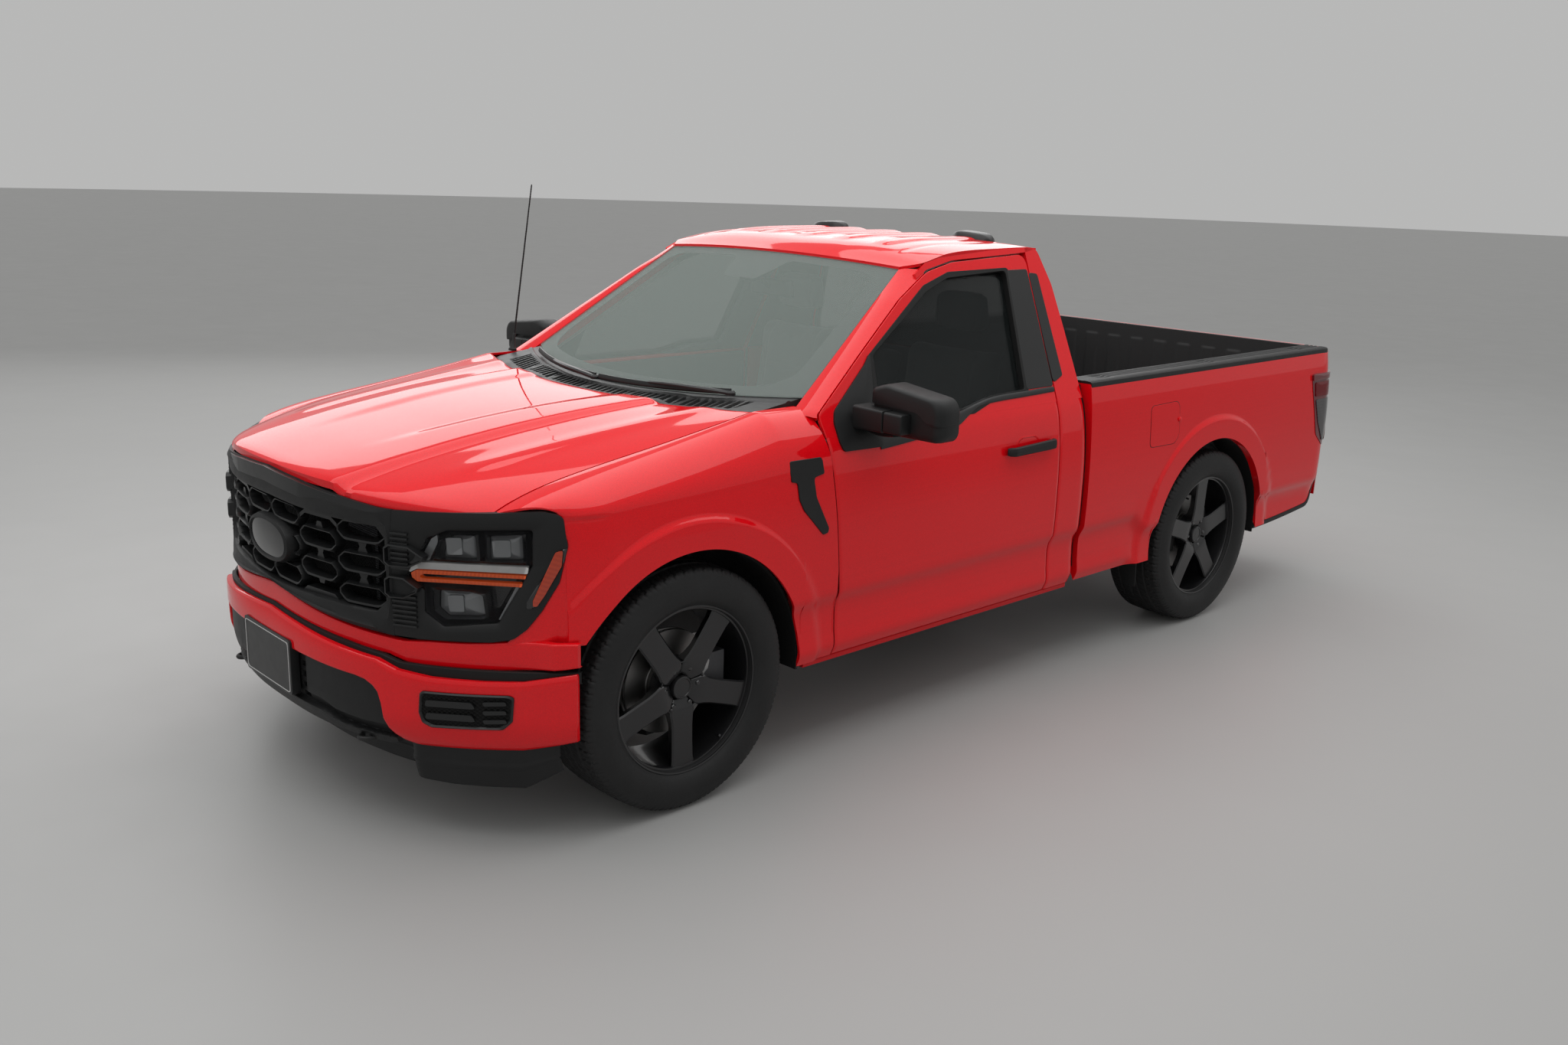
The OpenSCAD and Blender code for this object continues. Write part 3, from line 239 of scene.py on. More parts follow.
def rounded(corners, r, n=5):
    """A flat outline with its corners rounded to radius r, or to one radius for each corner."""
    c = np.asarray(corners, float)
    r = np.broadcast_to(np.asarray(r, float), len(c))[:, None]
    back, ahead = np.roll(c, 1, 0) - c, np.roll(c, -1, 0) - c
    lb, la = np.linalg.norm(back, axis=1)[:, None], np.linalg.norm(ahead, axis=1)[:, None]
    back, ahead = back / lb, ahead / la
    half = np.arccos(np.clip((back * ahead).sum(1), -1, 1))[:, None] / 2
    reach = np.minimum(r / np.tan(half), 0.48 * np.minimum(lb, la))
    k = np.linspace(0, 1, n)[None, :, None]
    a, b = (c + back * reach)[:, None], (c + ahead * reach)[:, None]
    # Points of a quadratic curve from one tangent point to the other
    return ((1 - k) ** 2 * a + 2 * k * (1 - k) * c[:, None] + k**2 * b).reshape(-1, 2)


def block(low, high):
    (x0, y0, z0), (x1, y1, z1) = low, high
    ring = [[x0, y0], [x1, y0], [x1, y1], [x0, y1]]
    return capped([[[x, y, z] for x, y in ring] for z in (z0, z1)]).flipped()


def plate(outline, place, depth0, depth1):
    """A flat outline in (a, b) made solid between two depths; place(a, b, depth) gives the points."""
    a, b = np.asarray(outline, float).T
    rings = [np.stack(np.broadcast_arrays(*place(a, b, np.full_like(a, d))), -1) for d in (depth0, depth1)]
    return capped(rings)


def ray_radii(outline, centre, angles):
    """Distance from centre to a star-shaped outline in each direction."""
    p = np.asarray(outline, float) - centre
    q = np.roll(p, -1, 0)
    d = np.stack([np.cos(angles), np.sin(angles)], -1)[:, None]
    e = (q - p)[None]
    cross = d[..., 0] * e[..., 1] - d[..., 1] * e[..., 0]
    cross = np.where(np.abs(cross) < 1e-9, 1e-9, cross)
    t = (p[None, :, 0] * e[..., 1] - p[None, :, 1] * e[..., 0]) / cross
    s = (p[None, :, 0] * d[..., 1] - p[None, :, 1] * d[..., 0]) / cross
    good = (t > 0) & (s >= -1e-6) & (s <= 1 + 1e-6)
    return np.where(good, t, np.inf).min(1)


def band(outer, inner, centre, place, profile, count=120):
    """The band between two outlines that both surround centre. The profile is a closed list of (share of
    the way from the outer to the inner outline, depth)."""
    corners = np.vstack([outer, inner]) - centre
    angles = np.unique(
        np.round(
            np.concatenate([np.arctan2(corners[:, 1], corners[:, 0]),
                            np.linspace(-math.pi, math.pi, count)[:-1]]), 5
        )
    )
    direction = np.stack([np.cos(angles), np.sin(angles)], -1)
    far, near = (np.asarray(centre) + direction * ray_radii(o, centre, angles)[:, None] for o in (outer,
        inner))
    k, depth = np.array(profile, float).T
    at = mix(far[:, None], near[:, None], k[None, :, None])
    grid = np.stack(np.broadcast_arrays(*place(at[..., 0], at[..., 1], depth[None] + 0 * at[..., 0])), -1)
    return surface(grid, wrap_u=True, wrap_v=True)


def ring_plate(outer, inner, centre, place, depth0, depth1, count=120):
    """The band between two outlines, made solid between two depths."""
    return band(outer, inner, centre, place, [(0, depth0), (1, depth0), (1, depth1), (0, depth1)], count)


def patch(outline, centre, place, depth0, depth1, rings=5, count=72, dome=0.0):
    """A panel whose front is rings of points that shrink from its outline to its centre, raised by dome in
    the middle, with a rim that joins them to depth1 behind."""
    a = np.linspace(-math.pi, math.pi, count, endpoint=False)
    corners = np.asarray(outline, float) - centre
    a = np.unique(np.round(np.concatenate([a, np.arctan2(corners[:, 1], corners[:, 0])]), 4))
    r = ray_radii(outline, centre, a)
    ks = np.concatenate([[1.0], np.linspace(1, 0.002, rings + 1)])[:, None]
    ds = np.concatenate([[depth1], depth0 + dome * (1 - np.linspace(1, 0, rings + 1) ** 2)])[:, None]
    at0, at1 = centre[0] + ks * r * np.cos(a), centre[1] + ks * r * np.sin(a)
    grid = np.stack(np.broadcast_arrays(*place(at0, at1, ds + 0 * at0)), -1)
    s = surface(grid, wrap_v=True)
    ends = np.arange(grid.shape[0] * len(a)).reshape(grid.shape[0], -1)
    return Shape(s.points, s.faces + [ends[:1, ::-1], ends[-1:]])


def inside(x, z, corners):
    """Distance inside a closed outline, negative outside it, at many places at once."""
    c = np.asarray(corners, float)
    best = np.full(x.shape, np.inf)
    odd = np.zeros(x.shape, bool)
    for (ax, az), (bx, bz) in zip(c, np.roll(c, -1, 0)):
        ex, ez = bx - ax, bz - az
        t = np.clip(((x - ax) * ex + (z - az) * ez) / (ex * ex + ez * ez), 0, 1)
        best = np.minimum(best, np.hypot(x - ax - t * ex, z - az - t * ez))
        if az != bz:
            odd ^= ((az > z) != (bz > z)) & (x < (bx - ax) * (z - az) / (bz - az) + ax)
    return np.where(odd, best, -best)


# ---- Pieces ---------------------------------------------------------------------------------------
def piece(name, shape, material, body="truck", replaces=(), slot=None, bevel=0.0, angle=35):
    """Makes a mesh object of a shape, smooth except at sharp edges, and lets it ride on a body."""
    material = finish(material)
    mesh = bpy.data.meshes.new(name)
    faces = [f.tolist() for group in shape.faces for f in group]
    mesh.from_pydata((shape.points / 1000).tolist(), [], faces)
    mesh.validate()
    work = bmesh.new()
    work.from_mesh(mesh)
    bmesh.ops.remove_doubles(work, verts=work.verts, dist=MERGE_MM / 1000)
    bmesh.ops.dissolve_degenerate(work, edges=work.edges, dist=1e-6)
    bmesh.ops.recalc_face_normals(work, faces=work.faces)
    work.to_mesh(mesh)
    work.free()
    mesh.shade_smooth()
    mesh.set_sharp_from_angle(angle=math.radians(angle))
    obj = bpy.data.objects.new(name, mesh)
    bpy.context.scene.collection.objects.link(obj)
    mesh.materials.append(material)
    if bevel:
        m = obj.modifiers.new("Rounded edges", "BEVEL")
        m.width, m.segments, m.use_clamp_overlap = bevel / 1000, 2, True
        m.limit_method, m.angle_limit = "ANGLE", math.radians(BEVEL_FROM)
    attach(obj, body)
    if replaces:
        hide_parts(*replaces)
    return obj


def both(name, shape, material, body="truck", replaces=(), **how):
    """The left piece and its mirror image. A {} in a name or body becomes left or right."""
    for side, s in (("left", shape), ("right", shape.mirrored())):
        full_name = name.format(side) if "{}" in name else f"{name}_{side}"
        piece(full_name, s, material, body.format(side), [r.format(side) for r in replaces], **how)


def dress(nodes, material):
    """Gives CAD nodes a material, by its name."""
    for n in nodes:
        mesh = NODES[n].data
        mesh.materials.clear()
        mesh.materials.append(finish(material))


# ---- Materials ------------------------------------------------------------------------------------
class Socket:
    """A value in a material's node tree. Python's operators on it add Math nodes."""

    def __init__(self, tree, link):
        self.tree, self.link = tree, link

    def node(self, kind, output=0, settings=None, **inputs):
        """Adds a node, sets its settings, then its inputs by name or by _number, and returns an output."""
        n = self.tree.nodes.new(kind)
        for key, value in (settings or {}).items():
            if key == "stops":
                ramp = n.color_ramp
                while len(ramp.elements) > len(value):
                    ramp.elements.remove(ramp.elements[-1])
                for i, (place, colour) in enumerate(value):
                    e = ramp.elements[i] if i < len(ramp.elements) else ramp.elements.new(place)
                    e.position, e.color = place, (*colour, 1) if len(colour) == 3 else colour
            else:
                setattr(n, key, value)
        for key, value in inputs.items():
            socket = n.inputs[int(key[1:])] if key[0] == "_" else n.inputs[key.replace("__", " ")]
            if isinstance(value, Socket):
                self.tree.links.new(value.link, socket)
            else:
                socket.default_value = value
        return Socket(self.tree, n.outputs[output])

    def math(self, operation, *values):
        return self.node("ShaderNodeMath", settings={"operation": operation},
                         **{f"_{i}": v for i, v in enumerate((self,) + values)})

    def __add__(self, o): return self.math("ADD", o)
    __radd__ = __add__
    def __mul__(self, o): return self.math("MULTIPLY", o)
    __rmul__ = __mul__
    def __sub__(self, o): return self.math("SUBTRACT", o)
    def __rsub__(self, o): return self.math("MULTIPLY", -1.0).math("ADD", o)
    def __truediv__(self, o): return self.math("DIVIDE", o)
    def over(self, low, high):
        """0 below low, 1 above high, and a straight rise between."""
        return self.node("ShaderNodeMapRange", settings={"clamp": True},
                         _0=self, _1=low, _2=high, _3=0.0, _4=1.0)


class Finish:
    """A material under construction: its principled shader, its coordinates and what they feed."""

    def __init__(self, name, colour, roughness, slot, metallic=0.0, **sockets):
        self.material = bpy.data.materials.new(name)
        self.material.use_nodes = True
        self.material["slot"] = slot
        self.tree = self.material.node_tree
        self.shader = next(n for n in self.tree.nodes if n.type == "BSDF_PRINCIPLED")
        self.colour = colour
        self.set("Base Color", (*colour, 1))
        self.set("Roughness", roughness)
        self.set("Metallic", metallic)
        for key, value in sockets.items():
            self.set(key.replace("_", " "), value)
        start = Socket(self.tree, None)
        self.place = start.node("ShaderNodeTexCoord", output="Object")
        self.split = start.node("ShaderNodeSeparateXYZ", _0=self.place)
        n = self.split.link.node
        self.x, self.y, self.z = (Socket(self.tree, n.outputs[i]) for i in range(3))
        self.bumps = None

    def set(self, name, value):
        """Sets one input of the shader to a value, or links a Socket to it."""
        socket = self.shader.inputs[name]
        if isinstance(value, Socket):
            self.tree.links.new(value.link, socket)
        else:
            socket.default_value = value
        return self

    def noise(self, scale, detail=3.0, roughness=0.5, stretch=None):
        """Smooth noise from 0 to 1, with scale blotches to the metre."""
        place = self.place
        if stretch:
            place = place.node("ShaderNodeMapping", _0=place, Scale=stretch)
        return place.node("ShaderNodeTexNoise", output=0, Vector=place, Scale=scale, Detail=detail,
                          Roughness=roughness)

    def cells(self, scale, feature="F1", output="Distance", stretch=None):
        """A cell pattern, with scale cells to the metre."""
        place = self.place
        if stretch:
            place = place.node("ShaderNodeMapping", _0=place, Scale=stretch)
        return place.node("ShaderNodeTexVoronoi", output=output, settings={"feature": feature},
                          Vector=place, Scale=scale)

    def blend(self, factor, a, b):
        """A colour between a and b."""
        n = self.tree.nodes.new("ShaderNodeMix")
        n.data_type = "RGBA"
        for socket, value in ((n.inputs[0], factor), (n.inputs[6], a), (n.inputs[7], b)):
            if isinstance(value, Socket):
                self.tree.links.new(value.link, socket)
            else:
                socket.default_value = value if not isinstance(value,
                    tuple) or len(value) == 4 else (*value, 1)
        return Socket(self.tree, n.outputs[2])

    def bump(self, height, distance, strength=1.0):
        """Adds relief, in metres, on top of the relief so far."""
        inputs = dict(Height=height, Distance=distance, Strength=strength)
        if self.bumps:
            inputs["Normal"] = self.bumps
        self.bumps = self.place.node("ShaderNodeBump", **inputs)
        self.set("Normal", self.bumps)
        return self

    def shade(self, factor, dark):
        """Darkens the colour where factor is 0."""
        self.set("Base Color", self.blend(factor, tuple(c * dark for c in self.colour), self.colour))
        return self


def make_finishes(look):
    """Every material of the truck, by a plain name."""
    F = {}

    def keep(name, f):
        F[name] = f.material
        return f

    red = tuple(look.paint)[:3]
    f = keep("paint",
             Finish("red_metallic_paint", red, 0.34, "body_red", metallic=0.05, Specular_IOR_Level=0.0,
                             Coat_Weight=0.9, Coat_Roughness=0.04, Coat_IOR=1.5))
    flake = f.x.node("ShaderNodeSeparateXYZ", _0=f.cells(900.0, output="Color"))
    f.set("Base Color", f.blend(flake, tuple(c * 0.84 for c in red), tuple(min(1, c * 1.14) for c in red)))
    f.set("Roughness", flake * 0.10 + 0.30)
    f.bump(f.noise(160.0, 2.0), 0.00004)
    # Painted shade: the paint inside the openings is a copy of the body colour at 0.8 of its brightness; its
    # rougher finish without a coat is its own.
    f = keep("jamb",
             Finish("red_paint_inside_shaded", tuple(c * 0.8 for c in red), 0.42, "body_red",
                    Specular_IOR_Level=0.3))
    f.set("Roughness", f.noise(40.0) * 0.2 + 0.32)

    def grain(name, colour, roughness, scale=1400.0, depth=0.00012, slot="black_plastic", **more):
        """Grained plastic: cells depth metres deep, and a roughness that drifts."""
        f = keep(name, Finish(name, colour, roughness, slot, **more))
        cells = f.cells(scale)
        f.shade(f.noise(5.0).over(0.3, 0.7), 0.8)
        f.set("Roughness", f.noise(28.0) * 0.14 + (roughness - 0.07))
        f.bump(cells, depth, 0.7)
        return f

    grain("cowl_trim", (0.026, 0.0265, 0.027), 0.42, depth=0.00005, Specular_IOR_Level=0.45)
    grain("trim", (0.0095, 0.0098, 0.0102), 0.50, Specular_IOR_Level=0.35)
    grain("satin_trim", (0.012, 0.0125, 0.013), 0.34, depth=0.00005, Specular_IOR_Level=0.45)
    grain("grey_trim", (0.22, 0.225, 0.23), 0.55, slot="grey_plastic")
    grain("dark_grey_trim", (0.13, 0.135, 0.137), 0.6, slot="grey_plastic")
    grain("headliner", (0.55, 0.56, 0.55), 0.9, scale=800.0, slot="grey_plastic")
    f = keep("gloss_black",
             Finish("gloss_black", (0.006, 0.006, 0.007), 0.10, "black_plastic", Coat_Weight=0.6,
                    Coat_Roughness=0.04))
    f.set("Roughness", f.noise(30.0) * 0.06 + 0.07)
    f = keep("seal",
             Finish("rubber_seal", (0.008, 0.008, 0.008), 0.62, "black_plastic", Specular_IOR_Level=0.3))
    f.set("Roughness", f.noise(60.0) * 0.2 + 0.5)

    f = keep("liner", Finish("sprayed_bed_liner", (0.021, 0.021, 0.0215), 0.6, "liner"))
    coarse = f.noise(420.0, 4.0, 0.7)
    # Painted shade: the liner is darker where its coarse relief is low, in the hollows of the spray.
    f.shade(coarse.over(0.35, 0.6), 0.55)
    f.set("Roughness", coarse * 0.3 + 0.45)
    f.bump(coarse, 0.0008, 0.9)

    f = keep("tyre", Finish("tyre_rubber", (0.011, 0.011, 0.0115), 0.62, "tyre", Specular_IOR_Level=0.4))
    f.set("Roughness", f.noise(90.0) * 0.16 + 0.52)
    f.shade(f.noise(9.0).over(0.35, 0.65), 0.75)
    f.bump(f.noise(700.0), 0.0001, 0.5)

    f = keep("wheel", Finish("satin_black_wheel", (0.009, 0.009, 0.010), 0.34, "wheel_black", metallic=0.3,
                             Coat_Weight=0.5, Coat_Roughness=0.12))
    f.set("Roughness", f.noise(24.0) * 0.1 + 0.30)
    f.bump(f.noise(900.0), 0.00002, 0.5)
    f = keep("steel", Finish("turned_steel", (0.22, 0.215, 0.21), 0.38, "exhaust_steel", metallic=1.0))
    f.set("Roughness", f.noise(18.0, stretch=(1, 14, 14)) * 0.25 + 0.28)
    f = keep("cast", Finish("cast_metal", (0.10, 0.10, 0.105), 0.6, "engine_iron", metallic=0.7))
    f.set("Roughness", f.noise(60.0) * 0.25 + 0.45)
    f.bump(f.noise(260.0), 0.0004, 0.6)
    f = keep("bright_cast",
             Finish("bright_cast_metal", (0.42, 0.42, 0.42), 0.4, "engine_iron", metallic=0.9))
    f.set("Roughness", f.noise(60.0) * 0.2 + 0.3)
    f.bump(f.noise(260.0), 0.0003, 0.5)
    f = keep("chassis", Finish("black_chassis_paint", (0.014, 0.014, 0.014), 0.5, "frame_black"))
    f.set("Roughness", f.noise(16.0) * 0.24 + 0.38)
    f.shade(f.noise(6.0).over(0.3, 0.7), 0.7)
    f.bump(f.noise(120.0), 0.0003, 0.5)
    f = keep("exhaust", Finish("aluminised_steel", (0.36, 0.34, 0.32), 0.42, "exhaust_steel", metallic=0.9))
    f.set("Roughness", f.noise(24.0) * 0.24 + 0.3)
    f.shade(f.noise(5.0).over(0.3, 0.7), 0.6)
    f = keep("fins", Finish("radiator_fins", (0.12, 0.12, 0.13), 0.5, "radiator_alu", metallic=0.8))
    f.bump((f.z * 900.0).math("SINE"), 0.001, 0.8)
    # Painted shade: the fins are darker in the grooves between them, where their relief is low.
    f.shade((f.z * 900.0).math("SINE").over(-0.4, 0.6), 0.3)
    f = keep("mesh",
             Finish("dark_mesh", (0.005, 0.005, 0.005), 0.6, "black_plastic", Specular_IOR_Level=0.2))
    weave = (f.x * 500.0).math("SINE") * (f.z * 500.0).math("SINE")
    # Painted shade: the mesh is darker where its woven relief is low.
    f.shade(weave.over(-0.2, 0.3), 0.2)
    f.bump(weave, 0.001, 0.8)

    def glass(name, colour, alpha, edge, slot="glass", specular=0.3):
        """Thin glass as a see-through layer of its colour: alpha where it faces the camera, and edge more
        where it is seen aslant. A pale colour on it is a painted reflection.
        """
        f = keep(name, Finish(name, colour, 0.02, slot, IOR=1.5, Specular_IOR_Level=specular))
        facing = f.place.node("ShaderNodeLayerWeight", output="Fresnel", Blend=0.35)
        f.set("Alpha", (facing * edge + alpha).over(0.0, 1.0))
        f.set("Roughness", f.noise(3.0) * 0.02 + 0.01)
        return f

    # Painted reflection: the windshield has no specular, and its pale grey-green layer, denser where it is
    # seen aslant, is the glass's tint together with a painted reflection of the surroundings.
    glass("shield_glass", (0.40, 0.46, 0.43), 0.10, 0.22, specular=0.0)
    glass("side_glass", (0.012, 0.015, 0.015), 0.42, 0.3)
    glass("smoked_lens", (0.02, 0.02, 0.022), 0.12, 0.35, "lamp_clear")
    glass("red_lens", (0.16, 0.004, 0.008), 0.88, 0.2, "lamp_red")
    f = keep("dark_red",
             Finish("dark_red_lens", (0.13, 0.004, 0.009), 0.12, "lamp_red", Coat_Weight=0.6,
                    Coat_Roughness=0.04))
    f.set("Roughness", f.noise(30.0) * 0.06 + 0.09)
    f = keep("grey_lens",
             Finish("grey_lens", (0.055, 0.05, 0.053), 0.16, "lamp_clear", Coat_Weight=0.6,
                    Coat_Roughness=0.04))
    f.shade((f.z * 400.0).math("SINE").over(-1.0, 1.0), 0.6)
    f = keep("mirror", Finish("mirror_glass", (0.75, 0.77, 0.78), 0.02, "glass", metallic=1.0))
    f.set("Roughness", f.noise(3.0) * 0.02 + 0.01)
    f = keep("bright", Finish("bright_reflector", (0.34, 0.35, 0.36), 0.25, "lamp_clear", metallic=0.5))
    f.set("Roughness", f.noise(30.0) * 0.1 + 0.14)
    f = keep("amber", Finish("amber_lens", (0.72, 0.10, 0.006), 0.14, "lamp_clear", Coat_Weight=0.6))
    # Painted glow: the amber strips give off a faint light of their own. Painted shade and highlight: they
    # are darker in the troughs of their ridges and lighter on the crests.
    f.set("Emission Color", (1.0, 0.13, 0.006, 1)).set("Emission Strength", 0.12)
    f.set("Base Color",
          f.blend((f.x * 700.0).math("SINE").over(-1.0, 1.0), (0.48, 0.045, 0.003), (0.62, 0.075, 0.005)))
    f.bump((f.x * 700.0).math("SINE"), 0.0004, 0.4)
    f = keep("marker", Finish("marker_lens", (0.42, 0.040, 0.004), 0.14, "lamp_clear", Coat_Weight=0.6))
    ridges = (f.z * 420.0 + f.x * 200.0).math("SINE")
    f.set("Base Color", f.blend(ridges.over(-1.0, 1.0), (0.36, 0.026, 0.003), (0.42, 0.034, 0.004)))
    f = keep("white_bar", Finish("white_light_bar", (0.52, 0.51, 0.50), 0.2, "lamp_clear", Coat_Weight=0.5))
    f.set("Base Color", f.blend(f.noise(50.0), (0.44, 0.44, 0.44), (0.60, 0.59, 0.58)))

    f = keep("cloth",
             Finish("seat_cloth", (0.19, 0.195, 0.195), 0.9, "seat_cloth", Sheen_Weight=0.25,
                    Sheen_Roughness=0.5))
    weave = (f.x * 2600.0 + f.z * 900.0).math("SINE") * (f.y * 2600.0 - f.z * 2300.0).math("SINE")
    # Painted shade: the cloth is darker where its woven relief is low.
    f.shade(weave.over(-0.5, 0.5), 0.55)
    f.set("Roughness", f.noise(30.0) * 0.15 + 0.8)
    f.bump(weave, 0.0004, 0.7)
    return F


# ---- Body surfaces --------------------------------------------------------------------------------
# How far the doors and fenders, and then the bed, lie inside the half width, as (height, distance)
SIDE_TABLE = [[340, 60], [376, 46], [421, 30], [480, 35], [572, 33], [612, 14], [650, 11], [760, 9],
              [900, 11], [1040, 24], [1130, 43], [1160, 55], [1210, 70]]
BED_TABLE = [[340, 60], [376, 46], [421, 30], [480, 35], [572, 33], [612, 14], [650, 11], [760, 9],
             [900, 11], [1040, 18], [1130, 26], [1210, 38]]
BELT_X = HW - 55.0


def side_x(z):
    return HW - curve(z, SIDE_TABLE)


def bed_x(z, y=0.0):
    """Side of the bed. Its lower crease drops ahead of the rear wheel and stays low behind it."""
    drop = 65 * ease((y - (REAR_AXLE - 644)) / 107) * ease((720 - z) / 60)
    return HW - curve(z + drop, BED_TABLE)


def lean_x(z):
    """The leaning side of the cabin above the window line."""
    return BELT_X - (z - BELT_Z) * LEAN


def flare(y, z, axle, rise=13.0, width=26.0):
    """A raised band round the wheel arch that fades into the side beyond a soft crest."""
    d = np.hypot(y - axle, z - TYRE_R + 8)
    return rise * ease((ARCH_R + 112 - d) / width)


def arch_z(y, axle, low):
    dy = np.abs(y - axle)
    return np.where(dy >= ARCH_R, low,
                    np.maximum(low, TYRE_R - 8 + np.sqrt(np.maximum(ARCH_R**2 - dy**2, 0))))


def tail_tuck(y):
    """How far the side turns in towards its rear end."""
    return 60 * np.clip((y - BED_Y1 + 130) / 130, 0, 1) ** 2.5


def bed_low_z(y):
    """Lower edge of the bed side: the wheel arch, a slow rise behind it and a turn up at the tail."""
    k = np.clip((y - REAR_AXLE - ARCH_R) / (BED_Y1 - REAR_AXLE - ARCH_R), 0, 1)
    rise = 45 * k**1.5 + (612 - SILL_Z - 45) * np.clip((k - 0.78) / 0.22, 0, 1) ** 2
    return np.where(y > REAR_AXLE + ARCH_R, SILL_Z + rise, arch_z(y, REAR_AXLE, SILL_Z))


def fascia_y(x):
    return NOSE_Y + 35 + 450 * (np.abs(x) / (HW - 64)) ** 2.6


def bumper_y(x):
    return NOSE_Y + 8 + 496 * (np.abs(x) / (HW - 9)) ** 2.77


def hood_front_y(x):
    return fascia_y(x) + 14


def hood_back_y(x):
    return FRONT_AXLE + 406 - 160 * (1 - (np.abs(x) / SEAM_X) ** 2)


def hood_mid_z(k):
    return mix(1084, 1228, 1 - (1 - k) ** 1.9)


def seam_z(k):
    return mix(1044, 1246, 0.32 * (1 - (1 - k) ** 7) + 0.68 * k**1.35)


def hood_z(x, k):
    """Height of the hood: a crown between the seams, a raised middle that steps up at the nose and widens
    to the rear, a shallow dish inside it and a ridge near each seam."""
    a = np.abs(x)
    base = mix(hood_mid_z(k), seam_z(k), (a / SEAM_X) ** 2.4)
    crest = mix(378, 430, k)
    dome = mix(20, 16, ease(k / 0.3)) * ease((crest + 30 - a) / 58)
    dish = -7 * ease((mix(200, 300, k) - a) / 60) * ease((k - 0.16) / 0.3)
    outer = 5 * np.exp(-(((a - mix(560, 640, k)) / 46) ** 2)) * ease((k - 0.12) / 0.2)
    return base + dome + dish + outer


def fender_x(y, z):
    taper = 44 * np.clip((FRONT_AXLE - 290 - y) / 165, 0, 1) ** 2
    return np.minimum(HW, side_x(z) + flare(y, z, FRONT_AXLE)) - taper


# Where the fender meets the grille surround, as (height, distance from the middle)
SURROUND_EDGE = [[655, 846], [672, 860], [705, 888], [760, 916], [850, 950], [960, 966], [1046, 955]]


def fender_rear_y(z):
    swing = np.interp(z, [572, 612, 700], [1, 7, 0])
    return DOOR_Y0 - SHUT - swing - np.interp(z, [570, 1114, 1160, 1260], [0, 52, 60, 70])


def door_front_y(z):
    return np.interp(z, [570, 1114, 1160], [DOOR_Y0, DOOR_Y0 - 52, DOOR_Y0 - 58])


def door_rear_y(z):
    return np.interp(z, [900, 1160], [DOOR_Y1, DOOR_Y1 + 8])


def on_side(x_of, offset=0.0):
    """Puts points (y, z, depth) on a side surface, depth outwards."""

    def place(y, z, depth):
        return x_of(y, z) + depth + offset, y, z

    return place


def on_lean(y, z, depth):
    """Puts points (y, z, depth) on the leaning side of the cabin, depth inwards along its normal."""
    n = 1 / math.hypot(1, LEAN)
    return lean_x(z) - depth * n, y, z - depth * n * LEAN


# ---- Body panels ----------------------------------------------------------------------------------
def hood_shape():
    """x across from seam to seam and k along from nose to cowl; the underside lies 20 mm lower."""
    x = np.linspace(-1, 1, 141)[:, None] * (SEAM_X - SHUT / 2)
    k = np.concatenate([[0, 0.008, 0.02], np.linspace(0.04, 0.99, 76), [1]])[None]
    y = mix(hood_front_y(x), hood_back_y(x), k)
    z = hood_z(x, k) - 7 * (1 - np.clip(k / 0.02, 0, 1)) ** 2 - 4 * np.clip((k - 0.99) / 0.01, 0, 1) ** 2
    x, y, z = np.broadcast_arrays(x, y, z)
    outer = np.stack([x, y, z], -1)
    drop = 22 - 10 * (np.abs(x) / SEAM_X) ** 6
    inner = np.stack([x, y, z - drop], -1)
    return slab(outer, inner)


def fender_shape():
    """Columns follow the arch and rows run up the side, then over the shoulder to the hood seam. The first
    columns run round the front corner to the lamp surround's outer edge."""
    lip = FRONT_AXLE + ARCH_R * np.cos(np.radians(np.linspace(150, 0, 70)))
    front = np.linspace(NOSE_Y + 500, lip[0], 4)[:-1]
    ys = np.concatenate([front, lip, np.linspace(FRONT_AXLE + ARCH_R + 8, DOOR_Y0 - 60, 8),
                         [DOOR_Y0 - 30, DOOR_Y0]])[:, None]
    f = np.linspace(0, 1, 44)
    a = np.radians(np.concatenate([np.zeros(44), np.linspace(5, 90, 16)]))[None]
    f = np.concatenate([f, np.ones(16)])[None]
    reach = np.interp(ys, [-2155.5, -2126.5, -2070.7, -1998.8, -1906.5, -1787.5, -1662.8],
                      [1, 0.833, 0.667, 0.5, 0.333, 0.167, 0])
    low = np.where(ys < FRONT_AXLE, np.maximum(655.0, arch_z(ys, FRONT_AXLE, SILL_Z)),
                   arch_z(ys, FRONT_AXLE, SILL_Z))
    z_side = mix(low, 1035.0, f)
    x_side = fender_x(ys, z_side)
    in_x = SEAM_X + SHUT / 2
    x = in_x + (x_side - in_x) * np.cos(a)
    y_front = np.minimum(ys, hood_front_y(x) + 2)
    y_mid = np.where(a > 0, mix(ys, y_front, reach**2), ys)
    back, ahead = hood_back_y(SEAM_X), hood_front_y(SEAM_X)
    top = seam_z(np.clip((y_mid - ahead) / (back - ahead), 0, 1))
    z = np.where(a > 0, 1035 + (top - 1035) * np.sin(a), z_side)
    last = np.zeros_like(ys, bool)
    last[-1] = True
    y = np.where(last, fender_rear_y(z), np.minimum(y_mid, fender_rear_y(z) - 2))
    x, y, z = np.broadcast_arrays(x, y, z)
    # Round the corner: x runs from the first column to the surround's edge and y follows the fascia
    s = np.linspace(1, 0, 11)[:-1, None]
    edge_x = np.interp(z[:1], *np.array(SURROUND_EDGE).T)
    corner_x = np.where(a > 0, x[:1], mix(x[:1], edge_x, s))
    corner_y = np.where(a > 0, y[:1], mix(y[:1], fascia_y(corner_x) + 2, np.minimum(1, 2.5 * s)))
    x, y, z = (np.vstack([c + 0 * s, v]) for c, v in ((corner_x, x), (corner_y, y), (z[:1], z)))
    outer = np.stack([x, y, z], -1)
    flush = np.zeros((len(x), 1), bool)
    flush[-1] = True
    t = np.where(flush, 1.5, 9.0)
    inner = np.stack([x - t * np.cos(a), np.where(flush, y - 7, y), z - t * np.sin(a)], -1)
    return slab(outer, inner)


